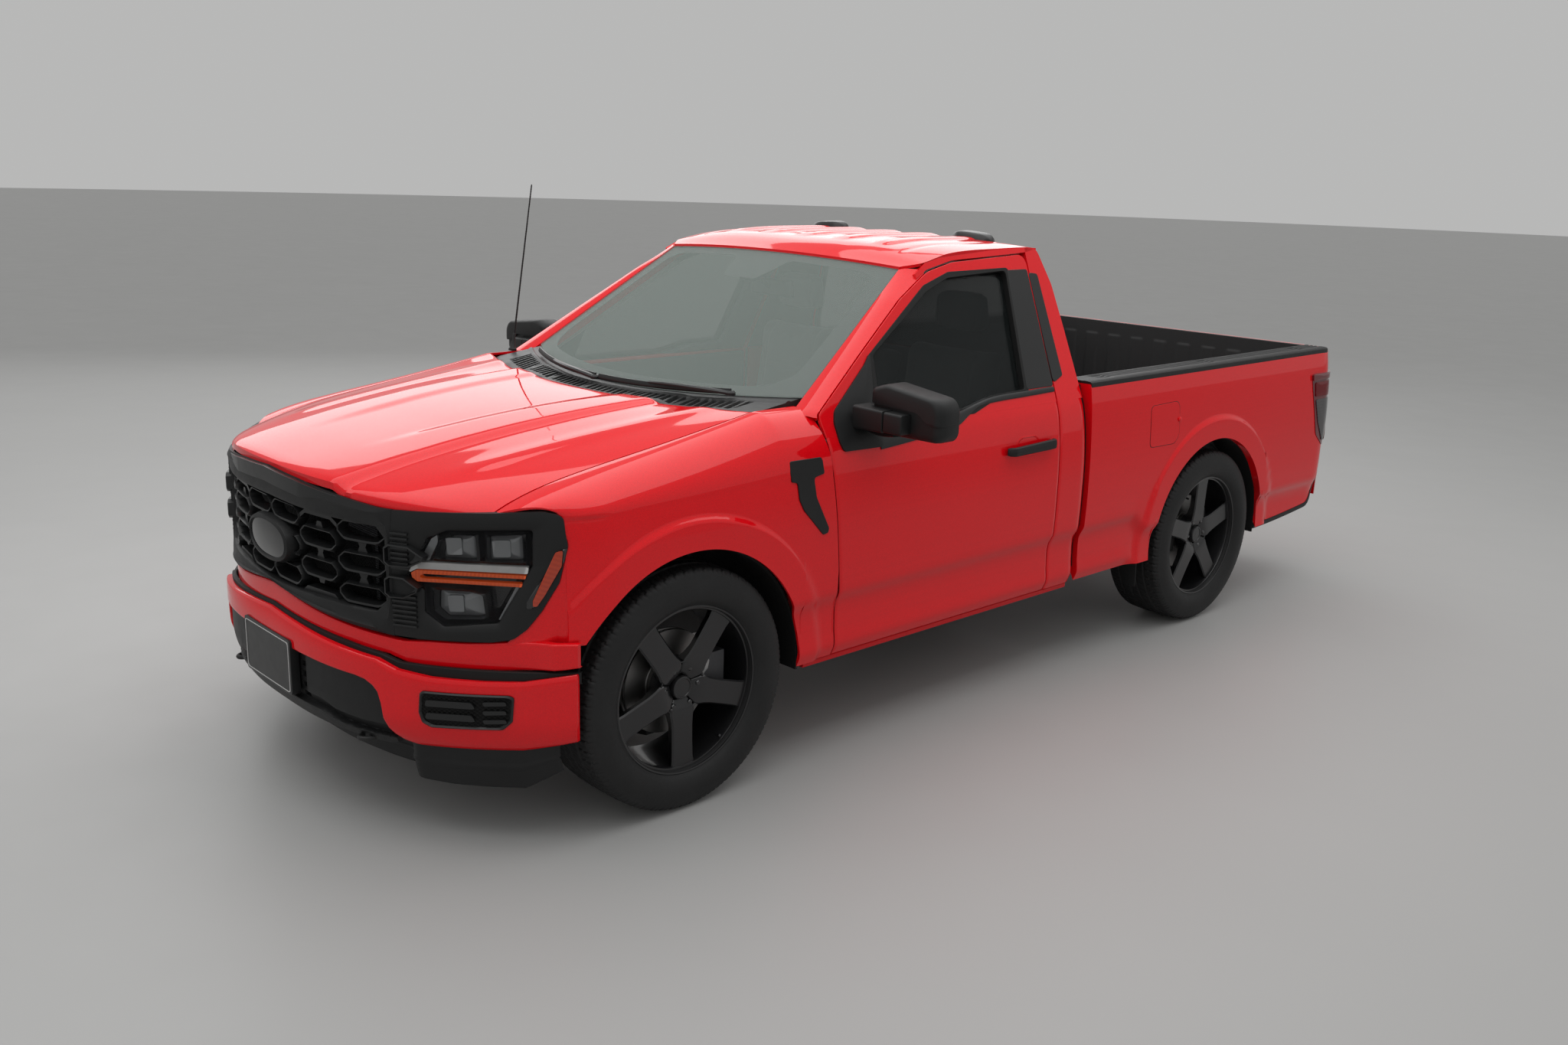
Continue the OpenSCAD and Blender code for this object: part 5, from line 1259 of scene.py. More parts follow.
def lamp_shapes():
    """Left headlamp: its bowl behind the lens, square reflectors with bright edges, a bright plate in each as
    a painted glint, a white bar and amber strips that join at the inner end, and the corner marker."""
    lens = rounded(LAMP, 9, 4)
    shapes = {"lens": patch(lens, LAMP_AT, on_fascia, 4, 9, 6, 120, -8)}
    back = (lens - LAMP_AT) * [0.86, 0.82] + LAMP_AT
    bowl = band(lens, back, LAMP_AT, on_fascia, [(0, 12), (1, 78), (1, 84), (0, 18)], 120)
    shapes["bowl"] = bowl + patch(back, LAMP_AT, on_fascia, 76, 84, 3, 100)
    empty = Shape(np.zeros((0, 3)), [])
    blocks, lenses = empty, empty
    for outline, hole in (
        ([[676, 898], [690, 960], [716, 982], [786, 984], [790, 898]],
         [[700, 904], [708, 952], [728, 972], [776, 974], [778, 904]]),
        ([[800, 898], [800, 984], [886, 992], [888, 900]],
         [[810, 904], [810, 974], [876, 981], [878, 906]]),
        ([[664, 742], [664, 812], [770, 812], [800, 800], [806, 722], [704, 712]],
         [[686, 746], [688, 802], [766, 804], [788, 794], [794, 730], [708, 724]]),
    ):
        o, h = rounded(outline, 10, 4), rounded(hole, 8, 4)
        c = h.mean(0)
        blocks += band(o, h, c, on_fascia, [(0, 64), (0, 22), (0.5, 16), (1, 44), (1, 64)], 60)
        lenses += patch(h, c, on_fascia, 40, 48, 4, 50, -14)
        # Painted glint: a bright plate over the middle of each reflector's lens stands for a highlight.
        glint = rounded([[c[0] - 24, c[1] - 26], [c[0] - 28, c[1] + 24], [c[0] + 10, c[1] + 27],
                         [c[0] + 12, c[1] - 24]], 5, 3)
        lenses += plate(glint, on_fascia, 20, 30)
    for outline in ([[640, 888], [674, 960], [690, 974], [690, 950], [664, 888]],
                    [[838, 722], [880, 838], [868, 838], [826, 724]]):
        lenses += plate(rounded(outline, 3, 3), on_fascia, 20, 30)
    shapes["blocks"], shapes["projectors_and_glints"] = blocks, lenses
    shapes["bar"] = plate(rounded([[612, 868], [630, 890], [892, 893], [890, 873], [640, 870],
                                   [622, 858]], 3, 3), on_fascia, 2, 22)
    shapes["ambers"] = plate(rounded([[624, 856], [638, 866], [887, 867], [885, 857], [656, 856],
                                      [648, 850], [648, 845], [654, 842], [880, 842], [877, 832],
                                      [640, 831], [626, 842]], 2, 3),
                                      on_fascia, 3, 24)
    marker = rounded([[957, 950], [943, 942], [900, 794], [900, 776], [908, 778], [923, 812], [954, 900]],
                     [5, 10, 20, 4, 4, 20, 20], 4)
    shapes["marker"] = patch(marker, np.array([925.0, 862.0]), on_fascia, -8, 6, 4, 60, -2)
    rim = (marker - [925, 862]) * [1.5, 1.09] + [925, 862]
    rim[:, 0] = np.minimum(rim[:, 0], np.interp(rim[:, 1], *np.array(SURROUND_EDGE).T) - 1)
    shapes["marker_rim"] = band(rim, marker, np.array([925.0, 862.0]), on_fascia,
                                [(0, 6), (0, -5), (0.5, -8), (1, -6), (1, 6)], 60)
    return shapes


# Edges of the strip under the grille and of the bumper, as (distance from the middle, height)
STRIP_TOP = [[0, 704], [85, 697], [250, 675], [464, 651], [590, 640], [662, 648], [755, 651], [863, 662],
             [940, 668], [1005, 668]]
STRIP_LOW = [[0, 634], [187, 622], [424, 603], [549, 590], [600, 572], [640, 567], [823, 568], [979, 588],
             [1005, 594]]
BUMPER_TOP = [[0, 628], [21, 627], [187, 616], [397, 598], [545, 585], [606, 561], [699, 549], [823, 547],
              [904, 549], [1005, 573]]
BUMPER_LOW = [[0, 531], [267, 526], [470, 518], [505, 512], [532, 497], [549, 477], [559, 440], [564, 389],
              [574, 360], [588, 342], [612, 324], [648, 312], [901, 317], [971, 339], [1005, 352]]


def across_shape(top, low, place, rows, thick, half=1005.0, roll=6.0):
    """A band across the nose between two edges given at places along x, with rolled edges."""
    half_x = np.unique(np.concatenate([np.linspace(0, half, 150), np.array(top)[:, 0],
                                       np.array(low)[:, 0]]))
    x = np.concatenate([-half_x[::-1], half_x[1:]])[:, None]
    k = np.concatenate([[0, 0.02, 0.06], np.linspace(0.12, 0.88, rows), [0.94, 0.98, 1]])[None]
    a = np.abs(x)
    z = mix(np.interp(a, *np.array(low).T), np.interp(a, *np.array(top).T), k)
    bend = roll * (np.clip((0.06 - k) / 0.06, 0, 1) ** 2 + np.clip((k - 0.94) / 0.06, 0, 1) ** 2)
    outer = np.stack(np.broadcast_arrays(*place(x + 0 * z, z, bend + 0 * z)), -1)
    away = np.array([0, 1.0, 0]) * thick
    inner = outer + away + np.stack([-np.sign(x) * thick * 0.5 * (a / half) ** 4 + 0 * z, 0 * z, 0 * z], -1)
    return slab(outer, inner)


def on_strip(x, z, depth):
    return x, fascia_y(x) + 4 + depth + (bumper_y(x) - fascia_y(x)) * np.clip((np.abs(x) - 840) / 120, 0,
        1) ** 2, z


def insert_shape():
    """Black centre of the bumper: a smooth raised panel each side, slots beside the plate holder and a lower
    lip that rises in a step towards its ends."""
    low = [[0, 303], [362, 303], [554, 300], [586, 312]]
    top = [[0, 533], [267, 528], [470, 521], [507, 514], [534, 499], [551, 478], [561, 440], [566, 389],
           [576, 360], [586, 344]]
    half_x = np.unique(np.concatenate([np.linspace(0, 586, 150), np.array(top)[:, 0]]))
    x = np.concatenate([-half_x[::-1], half_x[1:]])[:, None]
    a = np.abs(x)
    k = np.linspace(0, 1, 90)[None]
    z = mix(np.interp(a, *np.array(low).T), np.interp(a, *np.array(top).T), k)
    lip_z = np.interp(a, [0, 300, 360, 480, 586], [366, 366, 344, 336, 336])
    panel = ease((a - 218) / 8) * ease((z - lip_z - 26) / 8)
    slots = (a > 176) * (a < 212) * (np.abs(((z - 380) / 34.0) % 1 - 0.5) > 0.26) * (z > 370) * (z < 500)
    lip = ease((lip_z - z) / 8)
    px, y, pz = on_bumper(x + 0 * z, z, 26 - 14 * panel + 16 * slots - 24 * lip)
    outer = np.stack([px, y, pz], -1)
    return slab(outer, outer + [0, 16, 0])


def fog_blank_shape():
    """Long black pod in the bumper's corner: a rim, two bars along its inner half and three short ribs."""
    outline = rounded([[676, 498], [682, 508], [878, 510], [890, 504], [886, 428], [866, 400], [702, 394],
                       [680, 408], [672, 440]], 12, 4)
    centre = np.array([780.0, 452.0])
    hole = (outline - centre) * [0.93, 0.84] + centre
    shape = band(outline, hole, centre, on_bumper, [(0, 8), (0, -5), (0.45, -9), (1, -3), (1, 16)], 80)
    for z in (434, 474):
        shape += plate(rounded([[690, z - 11], [694, z + 9], [800, z + 11], [812, z - 9]], 6, 3),
                       on_bumper, -10, 10)
    for z in (426, 454, 482):
        shape += plate(rounded([[828, z - 7], [824, z + 6], [872, z + 9], [876, z - 3]], 4, 3), on_bumper,
                       -8, 10)
    return shape, patch(hole, centre, on_bumper, -1.8, 6, 5, 60)


def plate_holder_shapes():
    """Blank plate on its thick holder, with a fine raised border."""
    y = NOSE_Y + 3
    c = np.array([0.0, PLATE_AT])
    outer = rounded([[-170, PLATE_AT - 92], [-170, PLATE_AT + 92], [170, PLATE_AT + 92],
                     [170, PLATE_AT - 92]], 14, 5)
    board = patch(outer, c, on_flat(y), 0, 30, 3, 60, -1.0)
    border = band((outer - c) * [0.945, 0.91] + c, (outer - c) * [0.93, 0.885] + c, c, on_flat(y),
                  [(0, 1), (0, -2), (1, -2), (1, 1)], 60)
    return board, border


def air_dam_shape():
    """Lower lip under the bumper: a grid down from the bumper that curves back underneath, set back in the
    middle, with vertical notches each side of it."""
    low = [[0, 205], [362, 205], [554, 198], [700, 190], [869, 192], [941, 250]]
    top = [[0, 306], [554, 303], [600, 314], [869, 322], [941, 335]]
    x = np.linspace(-938, 938, 161)[:, None]
    k = np.concatenate([[0, 0.03], np.linspace(0.08, 1, 18)])[None]
    z = mix(np.interp(np.abs(x), *np.array(low).T), np.interp(np.abs(x), *np.array(top).T), k)
    y = bumper_y(x) + 56 + 14 * (1 - k) ** 2 - 4 * (np.abs(k - 0.55) < 0.06)
    y = y + 90 * ease((620 - np.abs(x)) / 120)
    outer = np.stack(np.broadcast_arrays(x, y, z), -1)
    return slab(outer, outer + [0, 14, 0])


def tow_hook_shape():
    """A bent bar that comes forward under the insert's lip and turns back to the frame."""
    t = np.linspace(0, math.pi, 26)
    y = float(bumper_y(np.array(455.0))) + 74 - 52 * np.sin(t)
    path = np.stack([455 - 24 * np.cos(t), y, np.full(26, 306.0)], -1)
    path = np.vstack([[[431, path[0, 1] + 70, 312]], path, [[479, path[-1, 1] + 70, 312]]])
    return sweep(path, circle(8, 12))


# ---- Wheels ---------------------------------------------------------------------------------------
SPOKE_W = 86.0
WHEEL_FACE = 96.0


def tyre_shape(axle):
    """a round the tyre and s across it: a rounded section with four grooves round it, and slanted sipes
    cut across the tread and shoulders."""
    w = TYRE_W / 2
    half = [(w - 26, RIM_R - 8), (w - 21, RIM_R + 2), (w - 14, RIM_R + 7), (w - 5, RIM_R + 22),
            (w - 0.5, RIM_R + 44), (w, RIM_R + 58), (w - 2, RIM_R + 74), (w - 6, RIM_R + 90),
            (w - 9.5, RIM_R + 100), (w - 10.5, RIM_R + 104), (w - 15, RIM_R + 111), (w - 21, RIM_R + 117)]
    half = np.array(half)
    tread_x = np.linspace(w - 28, 0, 26)
    tread_r = TYRE_R - 4.5 * np.clip((tread_x - 30) / (w - 58), 0, 1) ** 2.2
    side = np.vstack([half, np.stack([tread_x, tread_r], -1)])
    section = np.vstack([side, (side * [-1, 1])[-2::-1]])
    inner = np.array([[-w + 30, RIM_R - 10], [w - 30, RIM_R - 10]])
    x, r = np.vstack([section, inner]).T
    a = np.linspace(0, 2 * math.pi, 504, endpoint=False)[:, None]
    across = np.abs(x)
    groove = 6.5 * ((np.abs(across - 22) < 4.6) | (np.abs(across - 68) < 4.2)) * (r > TYRE_R - 8)
    slant = a * 63 / (2 * math.pi) + x * 0.011 * np.where(np.abs(x) > 72, 0.5, 1.2)
    phase = slant % 1
    sipe = np.where(phase < 0.14, 1.0, 0.0)
    zone = np.clip((r - (RIM_R + 101)) / 6, 0, 1) * np.where(across > 72, 4.4,
        np.where(across > 27, 2.6, 1.8))
    half_sipe = np.where((np.abs(phase - 0.55) < 0.07) & (across > 76), 0.55, 0.0)
    radius = r - groove - zone * np.maximum(sipe, half_sipe) * (groove == 0)
    rib = 0.9 * np.exp(-(((r - (RIM_R + 40)) / 3) ** 2)) + 1.1 * np.exp(-(((r - (RIM_R + 20)) / 2.5) ** 2))
    x_out = x + np.sign(x) * rib * (across > w - 16) + 0 * a
    lift = TYRE_R
    flat = np.minimum(lift + radius * np.cos(a), 1e9)
    z = np.maximum(flat, 0.0)
    y = axle + radius * np.sin(a)
    return surface(np.stack([x_out + 0.0, y, z], -1)[:, ::-1], wrap_u=True, wrap_v=True).moved(x=TYRE_X)


def rim_shapes(axle, turn):
    """Barrel with a stepped lip, five flat spokes with chamfered edges, and the hub with its nuts."""
    centre = (axle, TYRE_R)
    f = WHEEL_FACE
    barrel = [(f + 18, RIM_R + 1), (f + 24, RIM_R + 1.5), (f + 26, RIM_R - 2), (f + 24.5, RIM_R - 7),
              (f + 12, RIM_R - 8.5), (f + 9, RIM_R - 10), (f + 8, RIM_R - 16), (f + 5, RIM_R - 17.5),
              (f - 20, RIM_R - 19), (f - 60, RIM_R - 24), (-60, RIM_R - 30), (-104, RIM_R - 22),
              (-116, RIM_R - 10), (-120, RIM_R - 1), (-114, RIM_R + 1), (-108, RIM_R - 5),
              (-98, RIM_R - 12), (-60, RIM_R - 20), (40, RIM_R - 18), (f, RIM_R - 8)]
    shape = lathe(barrel[::-1], centre, 128)
    shape = Shape(np.vstack([shape.points]), shape.faces)
    n = 128
    m = len(barrel)
    ids = np.arange(n)
    close = np.stack([ids * m, ids * m + m - 1, ((ids + 1) % n) * m + m - 1, ((ids + 1) % n) * m], -1)
    shape.faces.append(close)
    shape = shape.moved(x=TYRE_X)
    r1 = RIM_R - 15
    spokes = None
    for i in range(5):
        # Half widths along the spoke: parallel sides that spread at the hub and a little at the rim
        rr = np.array([40, 66, 84, 104, 135, 190, 240, r1])
        hw = np.array([30, 47, 50, 45.5, SPOKE_W / 2, SPOKE_W / 2, SPOKE_W / 2 + 1, SPOKE_W / 2 + 5])
        face = np.array([f - 17, f - 5, f - 2, f - 1, f, f + 1, f + 2.5, f + 4])
        back = np.array([f - 60, f - 58, f - 50, f - 42, f - 34, f - 32, f - 30, f - 30])
        c = 5.0
        ring = np.stack([
            np.stack([back, -hw + 9], -1), np.stack([face - c, -hw], -1), np.stack([face, -hw + c], -1),
            np.stack([face, 0 * hw], -1), np.stack([face, hw - c], -1), np.stack([face - c, hw], -1),
            np.stack([back, hw - 9], -1)], 1)
        grid = np.stack([ring[..., 0], ring[..., 1], np.broadcast_to(rr[:, None], ring.shape[:2])], -1)
        spoke = capped(grid).turned((1, 0, 0), 72 * i + turn)
        spokes = spoke if spokes is None else spokes + spoke
    spokes = spokes.moved(TYRE_X, axle, TYRE_R)
    hub = lathe([[f - 62, 60], [f - 62, 92], [f - 10, 92], [f - 5.5, 90.5], [f - 4.5, 87], [f - 8, 84],
                 [f - 26, 82.5], [f - 28, 80], [f - 28, 58]], centre, 96)
    hub = hub.moved(x=TYRE_X)
    floor = lathe([[f - 27, 84], [f - 27, 42], [f - 25, 40], [f - 8, 39], [f - 4, 37.5], [f - 2, 35],
                   [f - 2, 31], [f - 4.5, 29.5], [f - 4.5, 12], [f - 4, 0.3]], centre, 96)
    floor = floor.moved(x=TYRE_X)
    nuts = None
    for i in range(6):
        a = np.linspace(0, 2 * math.pi, 6, endpoint=False)
        prof = [(f - 30, 11.5), (f - 12, 11.5), (f - 8, 10), (f - 5, 7), (f - 4, 0.3)]
        grid = np.stack([np.stack([np.full(6, x), r * np.cos(a), r * np.sin(a) + 67.5],
                                  -1) for x, r in prof])
        nut = surface(grid, wrap_v=True).turned((1, 0, 0), 60 * i + 30 + turn)
        seat = lathe([[f - 27.5, 18], [f - 24, 18], [f - 22.5, 16.5], [f - 27.5, 12.5]], (0, 67.5),
                     24).turned((1, 0, 0), 60 * i + 30 + turn)
        nut += seat
        nuts = nut if nuts is None else nuts + nut
    nuts = nuts.moved(TYRE_X, axle, TYRE_R)
    valve = sweep([[f - 4, 0, RIM_R - 32], [f + 10, 0, RIM_R - 37], [f + 18, 0, RIM_R - 40]],
                  circle(4.2, 10), (0, 1, 0))
    valve = valve.turned((1, 0, 0), 36 + turn).moved(TYRE_X, axle, TYRE_R)
    return {"rim": shape, "spokes": spokes, "hub": hub + floor, "nuts": nuts, "valve": valve}


def brake_shapes(axle):
    """Vented disc with its hat, and a caliper with a cast bracket behind the axle."""
    x0 = 858.5
    centre = (axle, TYRE_R)
    disc = lathe([[x0 - 15, 84], [x0 - 15, 174], [x0 - 13.5, 175], [x0 - 5.5, 175], [x0 - 4, 172],
                  [x0 - 4, 110], [x0 + 4, 110], [x0 + 4, 172], [x0 + 5.5, 175], [x0 + 13.5, 175],
                  [x0 + 15, 174], [x0 + 15, 92], [x0 + 17, 90], [x0 + 41, 86], [x0 + 44, 83], [x0 + 44, 45],
                  [x0 + 40, 45], [x0 + 40, 79], [x0 + 14, 84]], centre, 96)
    a = np.radians(np.linspace(-36, 36, 15))
    rim = [(x0 - 52, 118), (x0 - 54, 126), (x0 - 54, 178), (x0 - 44, 188), (x0 + 22, 188), (x0 + 33, 180),
           (x0 + 36, 168), (x0 + 36, 124), (x0 + 32, 118), (x0 + 18, 118), (x0 + 18, 181), (x0 - 18, 181),
           (x0 - 18, 118)]
    x, r = np.array(rim).T
    grid = np.stack(np.broadcast_arrays(x[None], axle + r[None] * np.cos(a)[:, None],
                                        TYRE_R + 6 + r[None] * np.sin(a)[:, None]), -1)
    caliper = capped(grid).turned((1, 0, 0), -4, (x0, axle, TYRE_R))
    outline = rounded([[0, -74], [0, 74], [20, 78], [34, 62], [30, 34], [16, 20], [16, -22], [32, -36],
                       [36, -62], [20, -78]], 7, 4)
    bracket = plate(outline, lambda y, z, d: (x0 + 30 + d, axle + 112 + y, TYRE_R + z), 0,
                    17).turned((1, 0, 0), -6, (x0, axle, TYRE_R))
    return disc, caliper, bracket


# ---- Mirrors --------------------------------------------------------------------------------------
def mirror_shapes():
    """Head with its domed cap, the mirror glass, the arm block with its split in front of the head's inner
    half, a thin lower arm and the sail."""
    y0, y1 = DOOR_Y0 + 112, DOOR_Y0 + 222
    x0, x1, z0, z1 = 984.0, 1303.0, 1161.0, 1338.0
    c = np.array([(x0 + x1) / 2, (z0 + z1) / 2])
    outline = rounded([[x0, z0 + 14], [x0, z1 - 20], [x0 + 70, z1], [x1 - 24, z1 - 26], [x1, z1 - 60],
                       [x1, z0 + 26], [x1 - 22, z0 + 4], [x0 + 30, z0]],
                      [16, 26, 90, 50, 60, 40, 40, 20], 7)

    def head_of(points, steps):
        return capped([np.stack([*(((points - c) * g + c).T), np.full(len(points), mix(y0, y1, k))],
                                -1)[:, [0, 2, 1]]
                       for k, g in steps])

    head = head_of(outline,
                   ((0.10, 0.80), (0.16, 0.92), (0.26, 0.975), (0.45, 0.997), (0.94, 0.997), (1.0, 0.97)))
    brow = rounded([[x0 + 2, z0 + 108], [x0 + 2, z1 - 20], [x0 + 70, z1], [x1 - 24, z1 - 26], [x1, z1 - 60],
                    [x1, z0 + 60], [x1 - 40, z0 + 70], [x1 - 90, z0 + 102]],
                   [4, 26, 90, 50, 60, 10, 40, 50], 7)
    cap = head_of(brow, ((0.02, 0.84), (0.05, 0.92), (0.14, 0.975), (0.34, 1.0), (0.90, 1.0), (0.92, 0.99)))
    face = (outline - c) * [0.93, 0.90] + c
    glass = patch(face, c, lambda x, z, d: (x, y1 - 1 - d, z), 0, 8, 3, 60, 0.6)

    def arm_of(steps, low_y, high_y, low_z, high_z, cut):
        """Rings across x of a box that is cut at its corners, each grown by a share."""
        ring = rounded([[low_y, low_z], [low_y, high_z], [high_y, high_z], [high_y, low_z]], cut, 4)
        mid = ring.mean(0)
        return capped([np.stack([np.full(len(ring), x), *(((ring - mid) * g + mid).T)],
                                -1) for x, g in steps])

    arm = arm_of(((958, 1.06), (968, 1.04), (1000, 1.0), (1088, 0.96), (1090, 0.9)), y0 - 44, y0 + 40,
                 1178, 1256, 9)
    end = arm_of(((1093, 0.90), (1095, 0.96), (1164, 0.94), (1170, 0.88), (1172, 0.78)), y0 - 42, y0 + 36,
                 1180, 1254, 10)
    t = np.linspace(0, 1, 16)
    low = np.stack([mix(950, 1120, t), mix(y0 + 40, y0 + 10, t), 1176 - 10 * np.sin(math.pi * t)], -1)
    low = sweep(low, rounded([[-24, -8], [-24, 8], [24, 8], [24, -8]], 5, 3))
    return {"head": head, "cap": cap, "glass": glass, "arm": arm + low, "end": end}


def cabin_x(z):
    """The door's outer face: the side profile up to the window line and the leaning plane above."""
    return np.where(z > BELT_Z, lean_x(z), side_x(z))


def on_cabin(y, z, depth):
    return cabin_x(z) - depth, y, z - depth * 0.3


# The plate at the foot of the mirror, as (place along the truck, height)
SAIL = [[-1034, 1104], [-1048, 1136], [-1052, 1200], [-1036, 1238], [-836, 1372], [-800, 1404],
        [-798, 1396], [-826, 1290], [-836, 1180], [-842, 1100]]


def sail_shape():
    return patch(rounded(SAIL, [24, 30, 50, 40, 40, 4, 4, 60, 30, 14], 5), np.array([-920.0, 1210.0]),
                 on_cabin, -7, 12, 5, 90, -5)


def belt_shape():
    """Trim under the side window: level to the rear, then stepping down and forwards under the mirror."""
    low = np.array([[-850, 1092], [-640, 1106], [-470, 1122], [-420, 1131], [-350, 1160], [-282, 1184],
                    [-200, 1190], [30, 1194], [196, 1197]])
    y = np.concatenate([np.linspace(-850, -430, 12), np.linspace(-420, -190, 16),
                        np.linspace(-180, 196, 10)])[:, None]
    z0 = curve(y, low)
    high = curve(y,
                 [[-850, 1150], [-640, 1160], [-470, 1170], [-404, 1176], [-330, 1189], [-250, 1203],
                  [-191, 1210], [30, 1214], [196, 1216]])
    k = np.array([[0, 0, 0.3, 0.75, 1, 1]])
    d = np.array([[14, -3, -6, -6, -3, 14]])
    z = mix(z0, high, k)
    x = cabin_x(z) - d
    x, y, z = np.broadcast_arrays(x, y, z)
    return capped(np.stack([x, y, z], -1))


def handle_shapes():
    """Pull handle on two feet over a cup pressed in the door, at its rear edge."""
    y0, y1, z = DOOR_Y1 - 344, DOOR_Y1 - 52, 1004.0
    t = np.linspace(0, 1, 40)
    y = mix(y0, y1, t)
    out = 34 * np.clip(np.sin(math.pi * np.clip(t * 0.93 + 0.035, 0, 1)) * 3.2, 0, 1) - 4
    path = np.stack([side_x(z) + out, y, z + 6 * t - 3], -1)
    size = np.interp(t, [0, 0.03, 0.12, 0.5, 0.85, 0.97, 1], [0.75, 0.98, 1, 1.06, 1.12, 1.05, 0.8])[:,
        None, None]
    section = rounded([[-8, -19], [-8, 19], [8, 16], [10, 0], [8, -16]], 5, 3)
    handle = sweep(path, section[None] * np.concatenate([np.ones_like(size), size], -1), (0, 0, 1))
    cup = rounded([[y0 + 66, z - 34], [y0 + 66, z + 30], [y0 + 104, z + 44], [y0 + 190, z + 42],
                   [y0 + 214, z + 26], [y0 + 206, z - 34]], 26, 6)
    place = on_side(lambda y, z: side_x(z))
    c = np.array([y0 + 138, z + 2])
    ring = band(cup, (cup - c) * 0.78 + c, c, lambda y, z, d: place(y, z, -d),
                [(0, 3), (0, -1.2), (0.5, -1.6), (1, 1.5), (1, 4)], 60)
    return handle, ring


def vent_shape():
    """Blank applique behind the front wheel: a wide bar whose rear end turns down and narrows."""
    outline = [[-1292, 1068], [-1290, 1104], [-1146, 1102], [-1140, 1090], [-1136, 1046], [-1186, 1038],
               [-1178, 972], [-1120, 858], [-1124, 842], [-1146, 838], [-1236, 934], [-1256, 972],
               [-1262, 1030], [-1288, 1036]]
    o = rounded(outline, [6, 8, 8, 6, 8, 12, 30, 8, 8, 8, 30, 30, 10, 6], 4)

    def place(y, z, d):
        return fender_x(y, z) + d, y, z

    return plate(o, place, -2, 5.0)


# ---- Bed and tail ---------------------------------------------------------------------------------
def rail_cap_shapes():
    """Ribbed cap along each bed side, with three closed stake pockets, and one across the front."""
    y = np.linspace(BED_Y0 + 2, GATE_Y - 66, 120)[:, None]
    u = np.array([0, 0.02, 0.09, 0.16, 0.22, 0.25, 0.29, 0.32, 0.38, 0.41, 0.45, 0.48, 0.54, 0.57, 0.61,
                  0.64, 0.72, 0.84, 0.94, 0.985, 1, 1])[None]
    x = mix(BED_IN_X - 6, bed_x(RAIL_Z) + 2 - tail_tuck(y), u)
    rib = np.array([-26, 2, 8, 9, 9, 6, 6, 9, 9, 6, 6, 9, 9, 6, 6, 9, 9.5, 9, 7, 3, -4, -27])[None]
    rib = mix(np.where((u > 0.2) & (u < 0.66), 8.0, rib), rib, ease((y - BED_Y0 - 150) / 10))
    z = RAIL_Z + 2.5 + rib
    pocket = sum(ease((38 - np.abs(y - c)) / 5) for c in (BED_Y0 + 170, REAR_AXLE, GATE_Y - 280))
    z = z - 4.5 * pocket * ((u > 0.2) & (u < 0.66))
    outer = np.stack(np.broadcast_arrays(x, y, z), -1)
    side = slab(outer, np.stack([x - 4 * (u == 1), y + 0 * x, np.minimum(z - 3, RAIL_Z + 1)], -1))
    xs = np.linspace(-BED_IN_X - 2, BED_IN_X + 2, 60)[:, None]
    v = np.array([[0, -16], [2, 4], [8, 8.5], [22, 8.5], [24, 6], [32, 6], [34, 8.5], [46, 8], [50, 2],
                  [50, -40], [46, -40], [44, -16]])
    front = capped(np.stack(np.broadcast_arrays(xs, BED_Y0 + v[None, :, 0], RAIL_Z + 2.5 + v[None, :, 1]),
                            -1))
    return side, front


def liner_side_shape():
    """Inner wall of the bed with its pressed panels: rows of raised bars that end in round bosses."""
    y = np.unique(np.concatenate([np.linspace(BED_Y0 + 42, GATE_Y - 62, 330)]))[:, None]
    z = np.linspace(FLOOR_Z - 2, RAIL_Z - 2, 100)[None]
    d = 0 * (y + z)
    for y0, y1, bars in ((BED_Y0 + 110, BED_Y0 + 560, (905, 985, 1065)),
                         (BED_Y0 + 640, BED_Y0 + 1420, (985, 1065)),
                         (BED_Y0 + 1500, BED_Y0 + 1990, (905, 985, 1065))):
        for zc in bars:
            bar = inside(y + 0 * z, z + 0 * y,
                         [[y0, zc - 13], [y0, zc + 13], [y1 - 60, zc + 13], [y1 - 60, zc - 13]])
            boss = 27 - np.hypot(y - y1 + 42, z - zc)
            d = np.maximum(d, 6 * ease(np.maximum(bar, boss) / 7))
            d = np.where(np.hypot(y - y1 + 42, z - zc) < 13, 2, d)
    d = np.maximum(d, 9 * ease((z - 1128) / 8) * ease((1176 - z) / 8))
    d = np.maximum(d, 7 * ease((z - 760) / 8) * ease((800 - z) / 8))
    rows = 5 * ease((np.abs(((y - BED_Y0) / 260.0) % 1 - 0.5) - 0.40) / 0.03) * (z > 800) * (z < 1130)
    d = np.maximum(d, rows)
    x = BED_IN_X - 1.0 - d
    x, y, z = np.broadcast_arrays(x, y, z)
    outer = np.stack([x, y, z], -1)
    return slab(outer, outer + [5, 0, 0]).flipped()


def bed_floor_shape():
    """The sprayed floor between the wheel housings: ridges run along the bed."""
    x = np.linspace(-BED_IN_X + 2, BED_IN_X - 2, 381)[:, None]
    y = np.concatenate([[BED_Y0 + 41], np.linspace(BED_Y0 + 60, GATE_Y - 80, 60), [GATE_Y - 62]])[None]
    rib = ease((np.abs(((x / 110.0) % 1) - 0.5) - 0.20) / 0.06)
    z = FLOOR_Z + 1 + 9 * rib * ease((y - BED_Y0 - 60) / 30) * ease((GATE_Y - 90 - y) / 30)
    x, y, z = np.broadcast_arrays(x, y, z)
    outer = np.stack([x, y, z], -1)
    return slab(outer, outer - [0, 0, 8])


